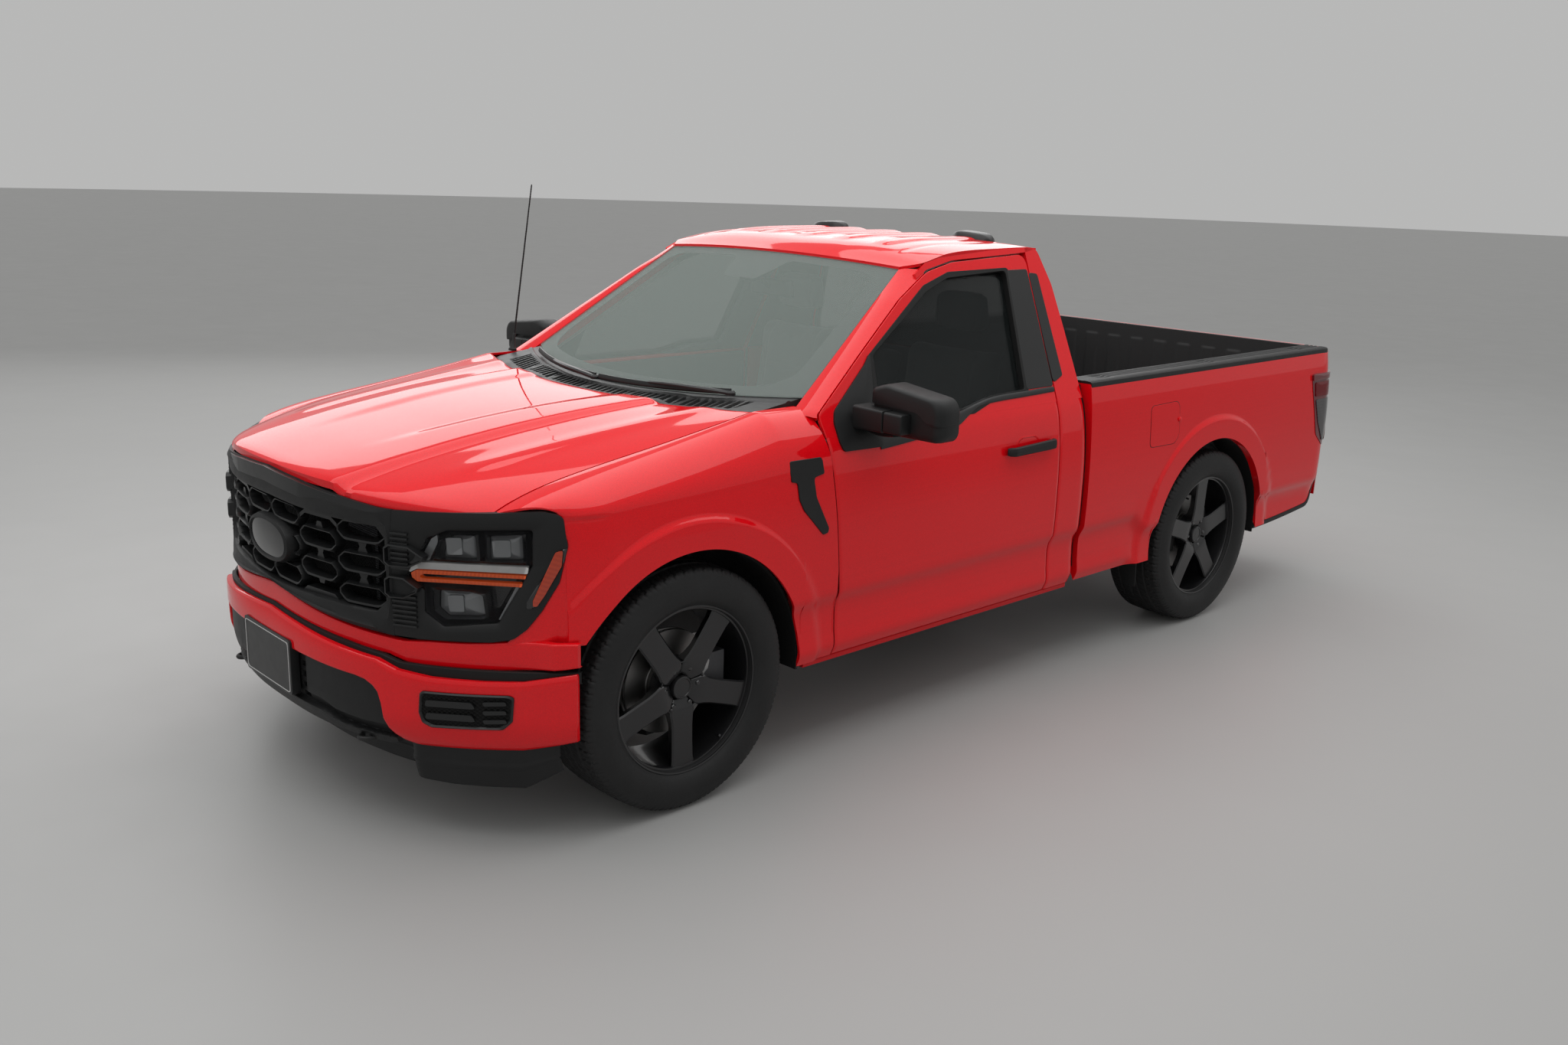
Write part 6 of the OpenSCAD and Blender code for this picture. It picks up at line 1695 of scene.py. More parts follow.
def housing_shape():
    """Wheel housing in the bed: s along it and t up over its rounded top."""
    t = np.linspace(0, math.pi, 60)[:, None]
    ring_r = 461.0
    zc, z0 = TYRE_R, FLOOR_Z - 2
    spread = np.arccos((z0 - zc) / ring_r)
    a = mix(-spread, spread, t / math.pi)
    y = REAR_AXLE + ring_r * np.sin(a)
    z = zc + ring_r * np.cos(a)
    k = np.array([[0, 0.02, 0.05, 0.10, 0.18, 0.5, 1.0]])
    x = mix(640.0, BED_IN_X - 1, k)
    drop = 26 * (1 - np.clip(k / 0.14, 0, 1)) ** 2.2
    shrink = (ring_r - drop) / ring_r
    y = REAR_AXLE + (y - REAR_AXLE) * shrink
    z = np.maximum(z0 - 6, zc + (z - zc) * shrink)
    x, y, z = np.broadcast_arrays(x, y, z)
    top = np.stack([x, y, z], -1)
    return slab(top, np.stack([x + 6, REAR_AXLE + (y - REAR_AXLE) * 0.985, np.maximum(z0 - 8, z - 8)], -1))


def housing_face_shape():
    """Upright inner face of a wheel housing, with two pressed bars."""
    s = np.linspace(-1, 1, 90)[:, None]
    ring_r = 436.0
    half = math.sqrt(ring_r**2 - (FLOOR_Z - TYRE_R) ** 2)
    y = REAR_AXLE + s * half
    high = TYRE_R + np.sqrt(np.maximum(ring_r**2 - (y - REAR_AXLE) ** 2, 0))
    k = np.linspace(0, 1, 26)[None]
    z = mix(FLOOR_Z - 2, high, k)
    d = 5 * ease((np.abs(z - FLOOR_Z - 70) - 12) / -5 + 0.0) * ease((half - 130 - np.abs(y - REAR_AXLE)) / 12)
    x = 640 + 0 * z - d
    x, y, z = np.broadcast_arrays(x, y, z)
    outer = np.stack([x, y, z], -1)
    return slab(outer, outer + [8, 0, 0])


def arch_lining_shape(axle, start=-6, end=184):
    """Black lining of a left wheel arch: a half tube just inside the side panel's edge."""
    t = np.linspace(math.radians(start), math.radians(end), 64)[:, None]
    x = np.linspace(843, HW - 34, 8)[None]
    r = ARCH_R - 3 + 0 * x
    ring = lambda grow: np.stack(np.broadcast_arrays(x, axle + (r + grow) * np.cos(t),
                                                     TYRE_R - 8 + (r + grow) * np.sin(t)), -1)
    return slab(ring(0)[:, ::-1], ring(8)[:, ::-1])


def bed_front_shape():
    """Front wall of the bed, pressed with upright ribs, and its smooth side towards the cab."""
    x = np.linspace(-BED_IN_X + 1, BED_IN_X - 1, 301)[:, None]
    z = np.concatenate([[652], np.linspace(660, 1196, 40), [1200]])[None]
    rib = ease((np.abs(((x / 190.0) % 1) - 0.5) - 0.24) / 0.05) * ease((z - 760) / 20) * ease((1120 - z) / 20)
    y = BED_Y0 + 42 + 7 * rib
    x, y, z = np.broadcast_arrays(x, y, z)
    outer = np.stack([x, y, z], -1)
    return slab(outer, np.stack([x, np.full_like(y, BED_Y0 + 2), z], -1))


def gap_seal_shape():
    """Black strip down the gap between cab and bed, behind their skins: painted shade in the gap."""
    z = np.linspace(SILL_Z + 60, RAIL_Z - 6, 60)[None]
    y = np.array([CAB_Y1 - 6, BED_Y0 + 6])[:, None]
    outer = np.stack(np.broadcast_arrays(side_x(z) - 24, y, z), -1)
    return slab(outer, outer - [10, 0, 0])


def rear_bumper_trim_shapes():
    """Rubber step pads along the top of the rear bumper, and a blank plate in its recess."""
    pad = [[-HW + 84, TAIL_Y - 84], [-HW + 92, TAIL_Y - 64], [-HW + 160, TAIL_Y - 20],
           [-HW + 330, TAIL_Y - 8], [-230, TAIL_Y - 8], [-230, TAIL_Y - 84]]
    z1 = FLOOR_Z - 66
    place = lambda x, y, d: (x, y, z1 + 9 - d)
    pads = plate(rounded(pad, 4, 3), place, 0, 10)
    tag = rounded([[-152, 466], [-152, z1 - 30], [152, z1 - 30], [152, 466]], 10, 4)
    return pair(pads), plate(tag, lambda x, z, d: (x, TAIL_Y - 9 - d, z), 0, 8)


def gate_profile_y(z):
    """Outer face of the tailgate: a crowned top edge, a shallow dished middle and a rolled lower edge."""
    return GATE_Y + 9 - np.interp(z, [644, 660, 700, 860, 1010, 1120, 1185, 1206, 1214],
                                  [16, 5, 2, 5, 6, 3, 0, 5, 16])


def tailgate_shapes():
    """Outer skin, pressed with a wide panel and a handle cup, and the lined inner face."""
    x = np.unique(np.concatenate([np.linspace(-852, 852, 215), [-850, 850]]))[:, None]
    z = np.unique(np.concatenate([np.linspace(644, 1214, 130), [646, 1212]]))[None]
    panel = inside(x + 0 * z, z + 0 * x,
                   rounded([[-640, 745], [-690, 1010], [-640, 1058], [640, 1058], [690, 1010],
                            [640, 745]], 40, 4))
    cup = inside(x + 0 * z, z + 0 * x,
                 rounded([[-118, 1082], [-104, 1158], [104, 1158], [118, 1082]], 20, 4))
    side = 8 * np.clip((np.abs(x) - 820) / 32, 0, 1) ** 2
    y = gate_profile_y(z) - 7 * ease(panel / 22) - 12 * ease(cup / 8) - side
    x, y, z = np.broadcast_arrays(x, y, z)
    outer = np.stack([x, y, z], -1)
    inner = np.stack([x, np.full_like(y, GATE_Y - 30), z], -1)
    skin = slab(outer, inner)
    rib = ease((np.abs(((x / 150.0) % 1) - 0.5) - 0.22) / 0.06)
    rib = rib * ease((z - 700) / 15) * ease((1150 - z) / 15) * ease((800 - np.abs(x)) / 20)
    lining = np.stack([x, GATE_Y - 56 - 5 * rib * 0.8, z], -1)
    lined = slab(np.stack([x, GATE_Y - 29 + 0 * y, z], -1), lining)
    return skin, lined


def tail_lamp_outline():
    return rounded([[BED_Y1 - 258, 1100], [BED_Y1 - 242, 1022], [BED_Y1 - 170, 788], [BED_Y1 - 88, 726],
                    [BED_Y1 - 18, 722], [BED_Y1 - 2, 800], [BED_Y1 - 2, 1090], [BED_Y1 - 14, 1100]],
                   [20, 60, 60, 30, 12, 20, 10, 8], 5)


def tail_x(y, z):
    return bed_x(z, y) - tail_tuck(y)


def tail_lamp_shapes():
    """Dark red housing with a bar across its top, a brighter red block, a clear wedge under it and a strip
    that faces the rear."""
    def on_tail(y, z, d):
        return tail_x(y, z) + d, y, z

    def set_in(points, cut, rise):
        o = rounded(np.array(points) + [BED_Y1, 0], cut, 5)
        return patch(o, o.mean(0), on_tail, rise, -4, 5, 60, 2)

    o = tail_lamp_outline()
    housing = patch(o, np.array([BED_Y1 - 122, 930.0]), on_tail, 3, -30, 6, 100, 3)
    housing += set_in([[-254, 1066], [-256, 1098], [-6, 1102], [-4, 1070]], 8, 11)
    housing += set_in([[-40, 742], [-60, 770], [-34, 836], [-6, 840], [-4, 760]], 8, 10)
    rear = rounded([[884, 730], [880, 1098], [946, 1098], [946, 800], [930, 730]], 8, 4)
    housing += patch(rear, np.array([914.0, 900.0]), lambda x, z, d: (x, BED_Y1 + 3 + d, z), 0, -30, 4,
                     60, 1)
    red = set_in([[-216, 984], [-226, 1056], [-24, 1058], [-24, 984]], 12, 8)
    clear = set_in([[-212, 970], [-30, 970], [-42, 850], [-84, 752], [-104, 752], [-168, 850]], 10, 8)
    return {"housings": housing, "reds": red, "clears": clear}


# ---- Glass ----------------------------------------------------------------------------------------
def windshield_shape(u0=-0.998, u1=0.998, k0=0.0, k1=1.0, depth=0.0, thick=GLASS_T):
    """u across and k up the windshield, on the two edge curves that shield_point joins."""
    u = np.linspace(u0, u1, 61)[:, None]
    k = np.linspace(k0, k1, 25)[None]
    return slab(shield_point(u, k, depth), shield_point(u, k, depth + thick))


def on_shield(a, b, depth):
    p = shield_point(a / 800.0, b / 900.0, depth)
    return p[..., 0], p[..., 1], p[..., 2]


def frit_shape():
    """Dark printed edge behind the windshield, with a tongue round the sensor at the top centre."""
    outer = [[-799, 2], [-799, 898], [799, 898], [799, 2]]
    inner = rounded([[-724, 62], [-716, 848], [-190, 858], [-150, 780], [-105, 716], [105, 716], [150, 780],
                     [190, 858], [716, 848], [724, 62]],
                    [150, 110, 50, 40, 30, 30, 40, 50, 110, 150], 9)

    def spread(points, n):
        p = np.asarray(points, float)
        k = np.linspace(0, 1, n, endpoint=False)[None, :, None]
        return (p[:, None] * (1 - k) + np.roll(p, -1, 0)[:, None] * k).reshape(-1, 2)

    return ring_plate(spread(outer, 30), spread(inner, 4), np.array([0.0, 430.0]), on_shield, 5.4, 7.2, 300)


def inside_mirror_shapes():
    """Rear-view mirror on its stalk and the sensor cover against the glass."""
    top = shield_point(np.array(0.0), np.array(0.90), 8.0)
    cover = []
    for k, w in ((0.97, 66), (0.93, 72), (0.86, 60), (0.83, 46)):
        p = shield_point(np.array(0.0), np.array(k), 9.0)
        ring = rounded([[-w, 0], [-w, 38], [w, 38], [w, 0]], 12, 4)
        cover.append(np.stack([ring[:, 0], p[1] + ring[:, 1] * 0.6, p[2] - ring[:, 1] * 0.8], -1))
    cover = capped(cover)
    cy, cz = float(top[1]) + 92, float(top[2]) - 92
    stalk = sweep([[0, top[1] + 20, top[2] - 26], [0, top[1] + 46, top[2] - 70], [0, cy - 6, cz]],
                  circle(8, 12), (1, 0, 0))
    body = []
    for d, g in ((0, 0.72), (6, 0.9), (16, 1.0), (26, 1.0), (30, 0.97)):
        ring = rounded([[-128, -36], [-120, 36], [120, 36], [128, -36]], 22, 5) * g
        body.append(np.stack([ring[:, 0], np.full(len(ring), cy + d - 12), cz + ring[:, 1]], -1))
    shell = capped(body)
    glass = rounded([[-120, -30], [-113, 30], [113, 30], [120, -30]], 18, 5)
    face = patch(glass, np.array([0.0, 0.0]), lambda a, b, d: (a, cy + 19.2 - d, cz + b), 0, 4, 3, 40)
    return cover + stalk + shell, face


# ---- Cabin ----------------------------------------------------------------------------------------
def dashboard_shape():
    """Sections through the dashboard at places across the cabin: a deep top that falls to the rear, a
    padded brow, an upright face and a kick panel below."""
    x = np.concatenate([[-796, -792], np.linspace(-780, 780, 131), [792, 796]])
    y0 = DOOR_Y0 - 105
    brow = 26 * np.exp(-(((x - 385) / 175) ** 4))
    side = 10 * np.clip((np.abs(x) - 770) / 26, 0, 1) ** 2
    centre = np.exp(-((x / 165) ** 6))
    knee = 60 * np.exp(-(((np.abs(x) - 400) / 200) ** 4))
    front = DOOR_Y0 + 165
    def col(y, z):
        return np.stack([x, y + 0 * x, z + 0 * x], -1)
    section = [
        col(y0 + 4 + side, 860 + 0 * x), col(y0 + 2 + side, 1096 - side), col(y0 + 20, 1112 - side),
        col(y0 + 90, 1116 - side),
        col(y0 + 150, 1116 + 0.3 * brow - side), col(front - 60, 1106 + brow - side),
        col(front - 26, 1100 + brow - side),
        col(front - 10, 1090 + brow * 0.9 - side), col(front - 6, 1074 + brow * 0.5),
        col(front - 16, 1062 + 0 * x),
        col(front - 26 + 4 * centre, 1050 + 0 * x), col(front - 30 + 10 * centre, 985 + 0 * x),
        col(front - 34 + 10 * centre, 948 + 0 * x),
        col(front - 20 + 2 * centre, 936 + 0 * x), col(front - 18, 925 + 0 * x),
        col(front - 34 - knee * 0.2, 850 + 0 * x),
        col(front - 70 - knee, 770 + 60 * (1 - centre)),
        col(front - 140 - knee * 0.6, 740 + 60 * (1 - centre)), col(y0 + 60, 790 + 0 * x)]
    return capped(np.stack(section, 1))


def dash_detail_shapes():
    """Vents with their vanes, the middle screen, switch rows, dials' hood, glove box lid, column and
    stalks."""
    front = DOOR_Y0 + 165
    parts = {}
    vents = None
    for x0, x1 in ((-740, -600), (-150, -40), (40, 150), (620, 750)):
        frame_o = rounded([[x0, 972], [x0, 1046], [x1, 1046], [x1, 972]], 12, 4)
        c = np.array([(x0 + x1) / 2, 1009.0])
        ring = band(frame_o, (frame_o - c) * [0.88, 0.8] + c, c, on_flat(front - 22),
                    [(0, 6), (0, -7), (0.5, -9), (1, -4), (1, 20), (0, 20)], 30)
        vents = ring if vents is None else vents + ring
        for z in np.arange(984, 1040, 11.0):
            vents += plate([[x0 + 8, z], [x0 + 8, z + 3], [x1 - 8, z + 3], [x1 - 8, z]],
                           on_flat(front - 22), -5, 16)
    parts["vents"] = vents
    screen = rounded([[-110, 948], [-110, 1080], [110, 1080], [110, 948]], 14, 5)
    parts["screen_frame"] = band(screen, (screen - [0, 1014]) * 0.93 + [0, 1014], np.array([0.0, 1014.0]),
                                 on_flat(front - 8),
                                 [(0, 30), (0, -2), (0.5, -5), (1, -1), (1, 8), (0.5, 30)],
                                 40).moved(0, 0, -70)
    parts["screen"] = patch((screen - [0, 1014]) * 0.93 + [0, 944], np.array([0.0, 944.0]),
                            on_flat(front - 8), 0, 12, 3, 40, -0.5)
    hood_in = rounded([[250, 1040], [262, 1104], [508, 1104], [520, 1040]], 20, 5)
    parts["dials"] = patch(hood_in, np.array([385.0, 1076.0]), on_flat(front - 20), 0, 20, 4, 50, 2)
    knobs = None
    for x in (-66, 66):
        k = lathe([[0, 0.3], [0, 17], [14, 16], [17, 13], [17, 0.3]], (0, 0), 32).turned((0, 0, 1),
            90).moved(x, front - 24, 848)
        knobs = k if knobs is None else knobs + k
    for i in range(6):
        knobs += plate(rounded([[-84 + i * 29, 802], [-84 + i * 29, 818], [-60 + i * 29, 818],
                                [-60 + i * 29, 802]], 3, 3), on_flat(front - 30), -6, 12)
    parts["knobs"] = knobs
    lid = rounded([[-640, 812], [-650, 930], [-250, 930], [-240, 812]], 22, 5)
    parts["glove_box"] = patch(lid, np.array([-445.0, 872.0]),
                               lambda x, z, d: (x, front - 22 - (930 - z) * 0.16 + d, z), -7, 20, 4, 60, -5)
    low, high = node_box("steering_wheel")
    c = (low + high) / 2
    t = np.linspace(0, 1, 12)
    axis = np.array([0, -0.883, -0.469])
    path = c + axis * mix(30, 200, t)[:, None]
    r = np.interp(t, [0, 0.1, 0.4, 1], [34, 46, 50, 56])[:, None, None]
    column = sweep(path, circle(1, 28)[None] * [1, 1.15] * r, (0, -0.469, 0.883))
    for s, tilt in ((1, 10), (-1, 6)):
        a = c + axis * 62
        stalk = np.array([a + [s * 30, 0, 0], a + [s * 90, 10, 8], a + [s * 150, 24, tilt + 6]])
        column += sweep(stalk, rounded([[-5, -8], [-5, 8], [5, 8], [5, -8]], 3, 3))
    parts["column"] = column
    console = []
    for y, w, z1 in ((front - 60, 118, 800), (front - 10, 118, 792), (front + 60, 116, 668),
                     (front + 150, 112, 640)):
        ring = rounded([[-w, 510], [-w, z1], [w, z1], [w, 510]], [2, 22, 22, 2], 4)
        console.append(np.stack([ring[:, 0], np.full(len(ring), y), ring[:, 1]], -1))
    parts["console"] = capped(console)
    return parts


def steering_wheel_shapes():
    """Rim, three spokes, hub pad and switch pods, made flat and then leaned on to the column."""
    low, high = node_box("steering_wheel")
    c = (low + high) / 2
    a = np.linspace(0, 2 * math.pi, 96, endpoint=False)
    ring = np.stack([180 * np.cos(a), 180 * np.sin(a), 0 * a], -1)
    rim = sweep(ring, circle(15, 18, 0.92), (0, 0, 1), closed=True)
    hub = []
    for z, g in ((-24, 0.8), (-18, 0.95), (-6, 1.0), (8, 0.97), (15, 0.86), (18, 0.60), (19, 0.2),
                 (19, 0.02)):
        h = rounded([[-78, -44], [-70, 42], [70, 42], [78, -44], [34, -66], [-34, -66]], 26, 5) * g
        hub.append(np.stack([h[:, 0], h[:, 1] - 4, np.full(len(h), z)], -1))
    hub = capped(hub)
    spokes = None
    for x0, y0, x1, y1, w in ((64, -4, 174, 10, 22), (-64, -4, -174, 10, 22), (0, -50, 0, -172, 26)):
        t = np.linspace(0, 1, 10)
        path = np.stack([mix(x0, x1, t), mix(y0, y1, t), -8 + 6 * t], -1)
        wide = np.interp(t, [0, 0.5, 1], [1.5, 0.95, 0.8])[:, None, None]
        section = rounded([[-w, -8], [-w, 8], [w, 8], [w, -8]], 6, 3)
        s = sweep(path, section[None] * np.concatenate([wide, np.ones_like(wide)], -1), (0, 0, 1))
        spokes = s if spokes is None else spokes + s
    for s in (-1, 1):
        spokes += capped([np.stack([p[:, 0] * g + s * 104, p[:, 1] * g + 2, np.full(len(p), z)], -1)
                          for z, g in ((-4, 1), (3, 1), (5, 0.9))
                          for p in [rounded([[-20, -16], [-20, 16], [20, 16], [20, -16]], 6, 3)]])

    def lean(shape):
        return shape.turned((0, 0, 1), 180).turned((1, 0, 0), -62).moved(*c)

    return lean(rim), lean(hub), lean(spokes)


def pad_rings(outline, levels, centre):
    """Rings of a rounded outline, each grown by a share and set at a height."""
    o = rounded(outline, 46, 7)
    return np.stack([np.concatenate([(o - centre) * g + centre, np.full((len(o), 1), z)],
                                    1) for g, z in levels])


# How a pad's rings grow and rise from its underside over its edge to its crown, as (size, height) shares
CROWN = [(0.02, 0.0), (0.5, 0.0), (0.9, 0.0), (0.97, 0.05), (1.0, 0.22), (1.0, 0.55), (0.97, 0.80),
         (0.90, 0.93), (0.72, 1.0), (0.4, 1.03), (0.02, 1.04)]


def seat_forms():
    """Starting forms of the left and middle seat pads, the back pads and a head restraint."""
    y0, y1 = DOOR_Y0 + 562, DOOR_Y0 + 1052
    forms = {}

    def cushion(x0, x1, low=690, high=800):
        """Its sides rise 16 mm, and its top falls 10 mm from front to back."""
        c = np.array([(x0 + x1) / 2, (y0 + y1) / 2])
        g = pad_rings([[x0, y0 + 8], [x0, y1 - 6], [x1, y1 - 6], [x1, y0 + 8]],
                      [(s, mix(low, high, k)) for s, k in CROWN], c)
        share = np.abs(g[..., 0] - c[0]) / ((x1 - x0) / 2)
        top = np.clip((g[..., 2] - low) / (high - low), 0, 1)
        g[..., 2] += top * (16 * (share ** 3) - 10 * (g[..., 1] - y0) / (y1 - y0))
        return g

    forms["cushion"] = cushion(190, 726)
    forms["middle_cushion"] = cushion(-172, 172, 690, 792)

    def back(x0, x1, top):
        """Leans back 92 mm in 620 mm, with its sides up to 14 mm further forward than its middle."""
        c = np.array([(x0 + x1) / 2, 1050.0])
        z0 = 760
        g = pad_rings([[x0, z0], [x0 + 14, top], [x1 - 14, top], [x1, z0]], CROWN, [c[0], (z0 + top) / 2])
        k = g[..., 2]
        z = g[..., 1]
        share = np.abs(g[..., 0] - c[0]) / ((x1 - x0) / 2)
        lean = (z - 735) / 620 * 92
        y = DOOR_Y1 - 80 + lean - k * (84 + 14 * share**3)
        return np.stack([g[..., 0], y, z], -1)

    forms["back"] = back(196, 724, 1340)
    forms["middle_back"] = back(-168, 168, 1290)
    g = pad_rings([[350, 1396], [362, 1552], [598, 1552], [610, 1396]], CROWN, [480, 1474])
    z = g[..., 1]
    forms["head_restraint"] = np.stack([g[..., 0], DOOR_Y1 + 8 - g[..., 2] * 78 - 0.06 * (z - 1400), z], -1)
    return {name: capped(grid) for name, grid in forms.items()}


SWELL_PRESSURE = 4.0
SWELL_FRAMES = 20
NO_SEAM = 99


def seam_distance(x, middle, along, half=150):
    """Distance to the nearest of two seams, each half to a side of a pad's middle, and one between them."""
    side = np.abs(np.abs(x) - middle)
    return np.minimum(np.abs(side - half), np.abs(along) + 1e3 * (side > half))


def swell(obj, limit, voxel=0.012):
    """Inflates a pad as cloth: a remeshed copy swells under pressure, no point moves past the limit, and
    the result gets one subdivision."""
    remesh = obj.modifiers.new("Even faces", "REMESH")
    remesh.mode, remesh.voxel_size = "VOXEL", voxel
    scene = bpy.context.scene

    def bake():
        """Replaces the mesh by what its modifiers give at this frame."""
        graph = bpy.context.evaluated_depsgraph_get()
        graph.update()
        done = bpy.data.meshes.new_from_object(obj.evaluated_get(graph))
        obj.modifiers.clear()
        obj.data = done

    bake()
    start = np.empty(len(obj.data.vertices) * 3)
    obj.data.vertices.foreach_get("co", start)
    cloth = obj.modifiers.new("Swell", "CLOTH")
    cloth.settings.use_pressure = True
    cloth.settings.uniform_pressure_force = SWELL_PRESSURE
    cloth.settings.effector_weights.gravity = 0.0
    cloth.settings.quality = 4
    cloth.point_cache.frame_start, cloth.point_cache.frame_end = 1, SWELL_FRAMES
    for f in range(1, SWELL_FRAMES + 1):
        scene.frame_set(f)
    bake()
    scene.frame_set(1)
    end = np.empty_like(start)
    obj.data.vertices.foreach_get("co", end)
    move = (end - start).reshape(-1, 3)
    far = np.linalg.norm(move, axis=1)[:, None]
    move *= np.minimum(1, limit / 1000 / np.maximum(far, 1e-9))
    obj.data.vertices.foreach_set("co", (start.reshape(-1, 3) + move).ravel())
    smooth = obj.modifiers.new("Finer", "SUBSURF")
    smooth.levels = smooth.render_levels = 1
    bake()
    obj.data.shade_smooth()


def sew(obj, distance, depth=3.5, width=5.0):
    """Presses sewn channels into a pad where the distance function is near 0, along the normals."""
    n = len(obj.data.vertices)
    co, normal = np.empty(n * 3), np.empty(n * 3)
    obj.data.vertices.foreach_get("co", co)
    obj.data.vertices.foreach_get("normal", normal)
    p = co.reshape(-1, 3)
    d = distance(p[:, 0] * 1000, p[:, 1] * 1000, p[:, 2] * 1000)
    p = p - normal.reshape(-1, 3) * (depth / 1000 * np.exp(-((d / width) ** 2)))[:, None]
    obj.data.vertices.foreach_set("co", p.ravel())
    obj.data.update()


# ---- Settings -------------------------------------------------------------------------------------
class PickupLook(bpy.types.PropertyGroup):
    """Colours and sizes that a user would change."""

    paint: bpy.props.FloatVectorProperty(
        name="Paint", description="Colour of the body panels", subtype="COLOR", size=3, min=0, max=1,
        default=(0.75, 0.003, 0.008))
    floor: bpy.props.FloatVectorProperty(
        name="Floor", description="Colour of the floor", subtype="COLOR", size=3, min=0, max=1,
        default=(0.40, 0.40, 0.395))
    sky: bpy.props.FloatVectorProperty(
        name="Surroundings", description="Colour and level of the light from all round", subtype="COLOR",
        size=3, min=0, max=1, default=(0.60, 0.60, 0.595))
    lamp_power: bpy.props.FloatProperty(
        name="Ceiling lamp", description="Power of the lamp over the truck", default=215.0, min=0,
        unit="POWER")
    lens: bpy.props.FloatProperty(
        name="Lens", description="Focal length of the camera", default=31.79, min=10, max=200,
        unit="CAMERA")


FINISH = {}


def finish(name):
    """A material by name; all are made from the scene's settings when the first is asked for."""
    if not FINISH:
        FINISH.update(make_finishes(bpy.context.scene.pickup_look))
    return FINISH[name]


class PickupOperator:
    bl_options = {"REGISTER", "UNDO"}


class PICKUP_OT_hood(PickupOperator, bpy.types.Operator):
    """Makes the hood"""
    bl_idname = "pickup.hood"
    bl_label = "Hood"

    def execute(self, context):
        piece("hood_panel", hood_shape(), "paint", "hood", replaces=["hood"], angle=50)
        return {"FINISHED"}


class PICKUP_OT_fenders(PickupOperator, bpy.types.Operator):
    """Makes the front fenders with their blank side appliques"""
    bl_idname = "pickup.fenders"
    bl_label = "Fenders"

    def execute(self, context):
        shape = fender_shape()
        piece("fender_panels", pair(shape), "paint", replaces=["fenders"], angle=50)
        arch = arch_lining_shape(FRONT_AXLE, -4, 118)
        piece("front_arch_linings", pair(arch), "seal", angle=40)
        both("fender_vent", vent_shape(), "trim", bevel=2.0)
        return {"FINISHED"}


class PICKUP_OT_doors(PickupOperator, bpy.types.Operator):
    """Makes the doors: skin, window frame, trims, handle and lining"""
    bl_idname = "pickup.doors"
    bl_label = "Doors"

    def execute(self, context):
        both("door_skin_{}", door_skin(), "paint", "door_{}", replaces=["door_{}"], angle=50)
        both("door_body_{}", door_body(), "jamb", "door_{}", bevel=6)
        both("door_card_{}", door_card_shape(), "dark_grey_trim", "door_{}", angle=40)
        frame, lining = door_frame()
        both("door_frame_{}", frame, "paint", "door_{}", bevel=2.0)
        both("door_frame_lining_{}", lining, "dark_grey_trim", "door_{}")
        both("window_seal_{}", window_trim(), "seal", "door_{}", bevel=1.5)
        door, cab = quarter_trim()
        both("door_pillar_trim_{}", door, "satin_trim", "door_{}", bevel=1.5)
        both("cab_pillar_trim", cab, "satin_trim", bevel=1.5)
        both("sail_{}", sail_shape(), "trim", "door_{}", bevel=1.5)
        both("belt_trim_{}", belt_shape(), "satin_trim", "door_{}")
        handle, cup = handle_shapes()
        both("door_handle_{}", handle, "trim", "door_{}", bevel=1.0)
        both("handle_cup_{}", cup, "paint", "door_{}")
        return {"FINISHED"}


class PICKUP_OT_cab(PickupOperator, bpy.types.Operator):
    """Makes the cab's sides, pillars, roof and rear wall"""
    bl_idname = "pickup.cab"
    bl_label = "Cab"

    def execute(self, context):
        side, sill = cab_side_shapes()
        piece("cab_side_panels", pair(side), "paint", replaces=["cab_sides"], angle=45)
        piece("door_sills", pair(sill), "jamb", bevel=2)
        pillar = pillar_shape()
        piece("windshield_pillars", pair(pillar), "paint", angle=40)
        lining = pillar_lining_shape()
        piece("pillar_linings", pair(lining), "headliner", angle=40)
        piece("roof_panel", roof_shape(), "paint", replaces=["roof"], angle=50)
        piece("headliner_panel", roof_shape(34.0, 6.0, 0.985), "headliner", angle=50)
        piece("roof_pods", roof_pods_shape(), "satin_trim", angle=40)
        wall, seal, lining = cab_back_shape()
        piece("cab_rear_wall", wall, "paint", replaces=["cab_back"], bevel=2)
        piece("rear_window_seal", seal, "seal", bevel=2)
        quarter = quarter_lining_shape()
        piece("cab_rear_lining", lining + pair(quarter), "dark_grey_trim")
        dress(["cab_floor"], "grey_trim")
        dress(["door_hinges"], "jamb")
        return {"FINISHED"}


class PICKUP_OT_cowl(PickupOperator, bpy.types.Operator):
    """Makes the slotted cowl, the wipers and the antenna"""
    bl_idname = "pickup.cowl"
    bl_label = "Cowl"

    def execute(self, context):
        piece("cowl_grille", cowl_shape(), "cowl_trim", replaces=["cowl"], angle=30)
        piece("wiper_arms", wiper_shapes(), "satin_trim", replaces=["wipers"])
        piece("antenna_whip", antenna_shape(), "trim", replaces=["antenna"])
        return {"FINISHED"}


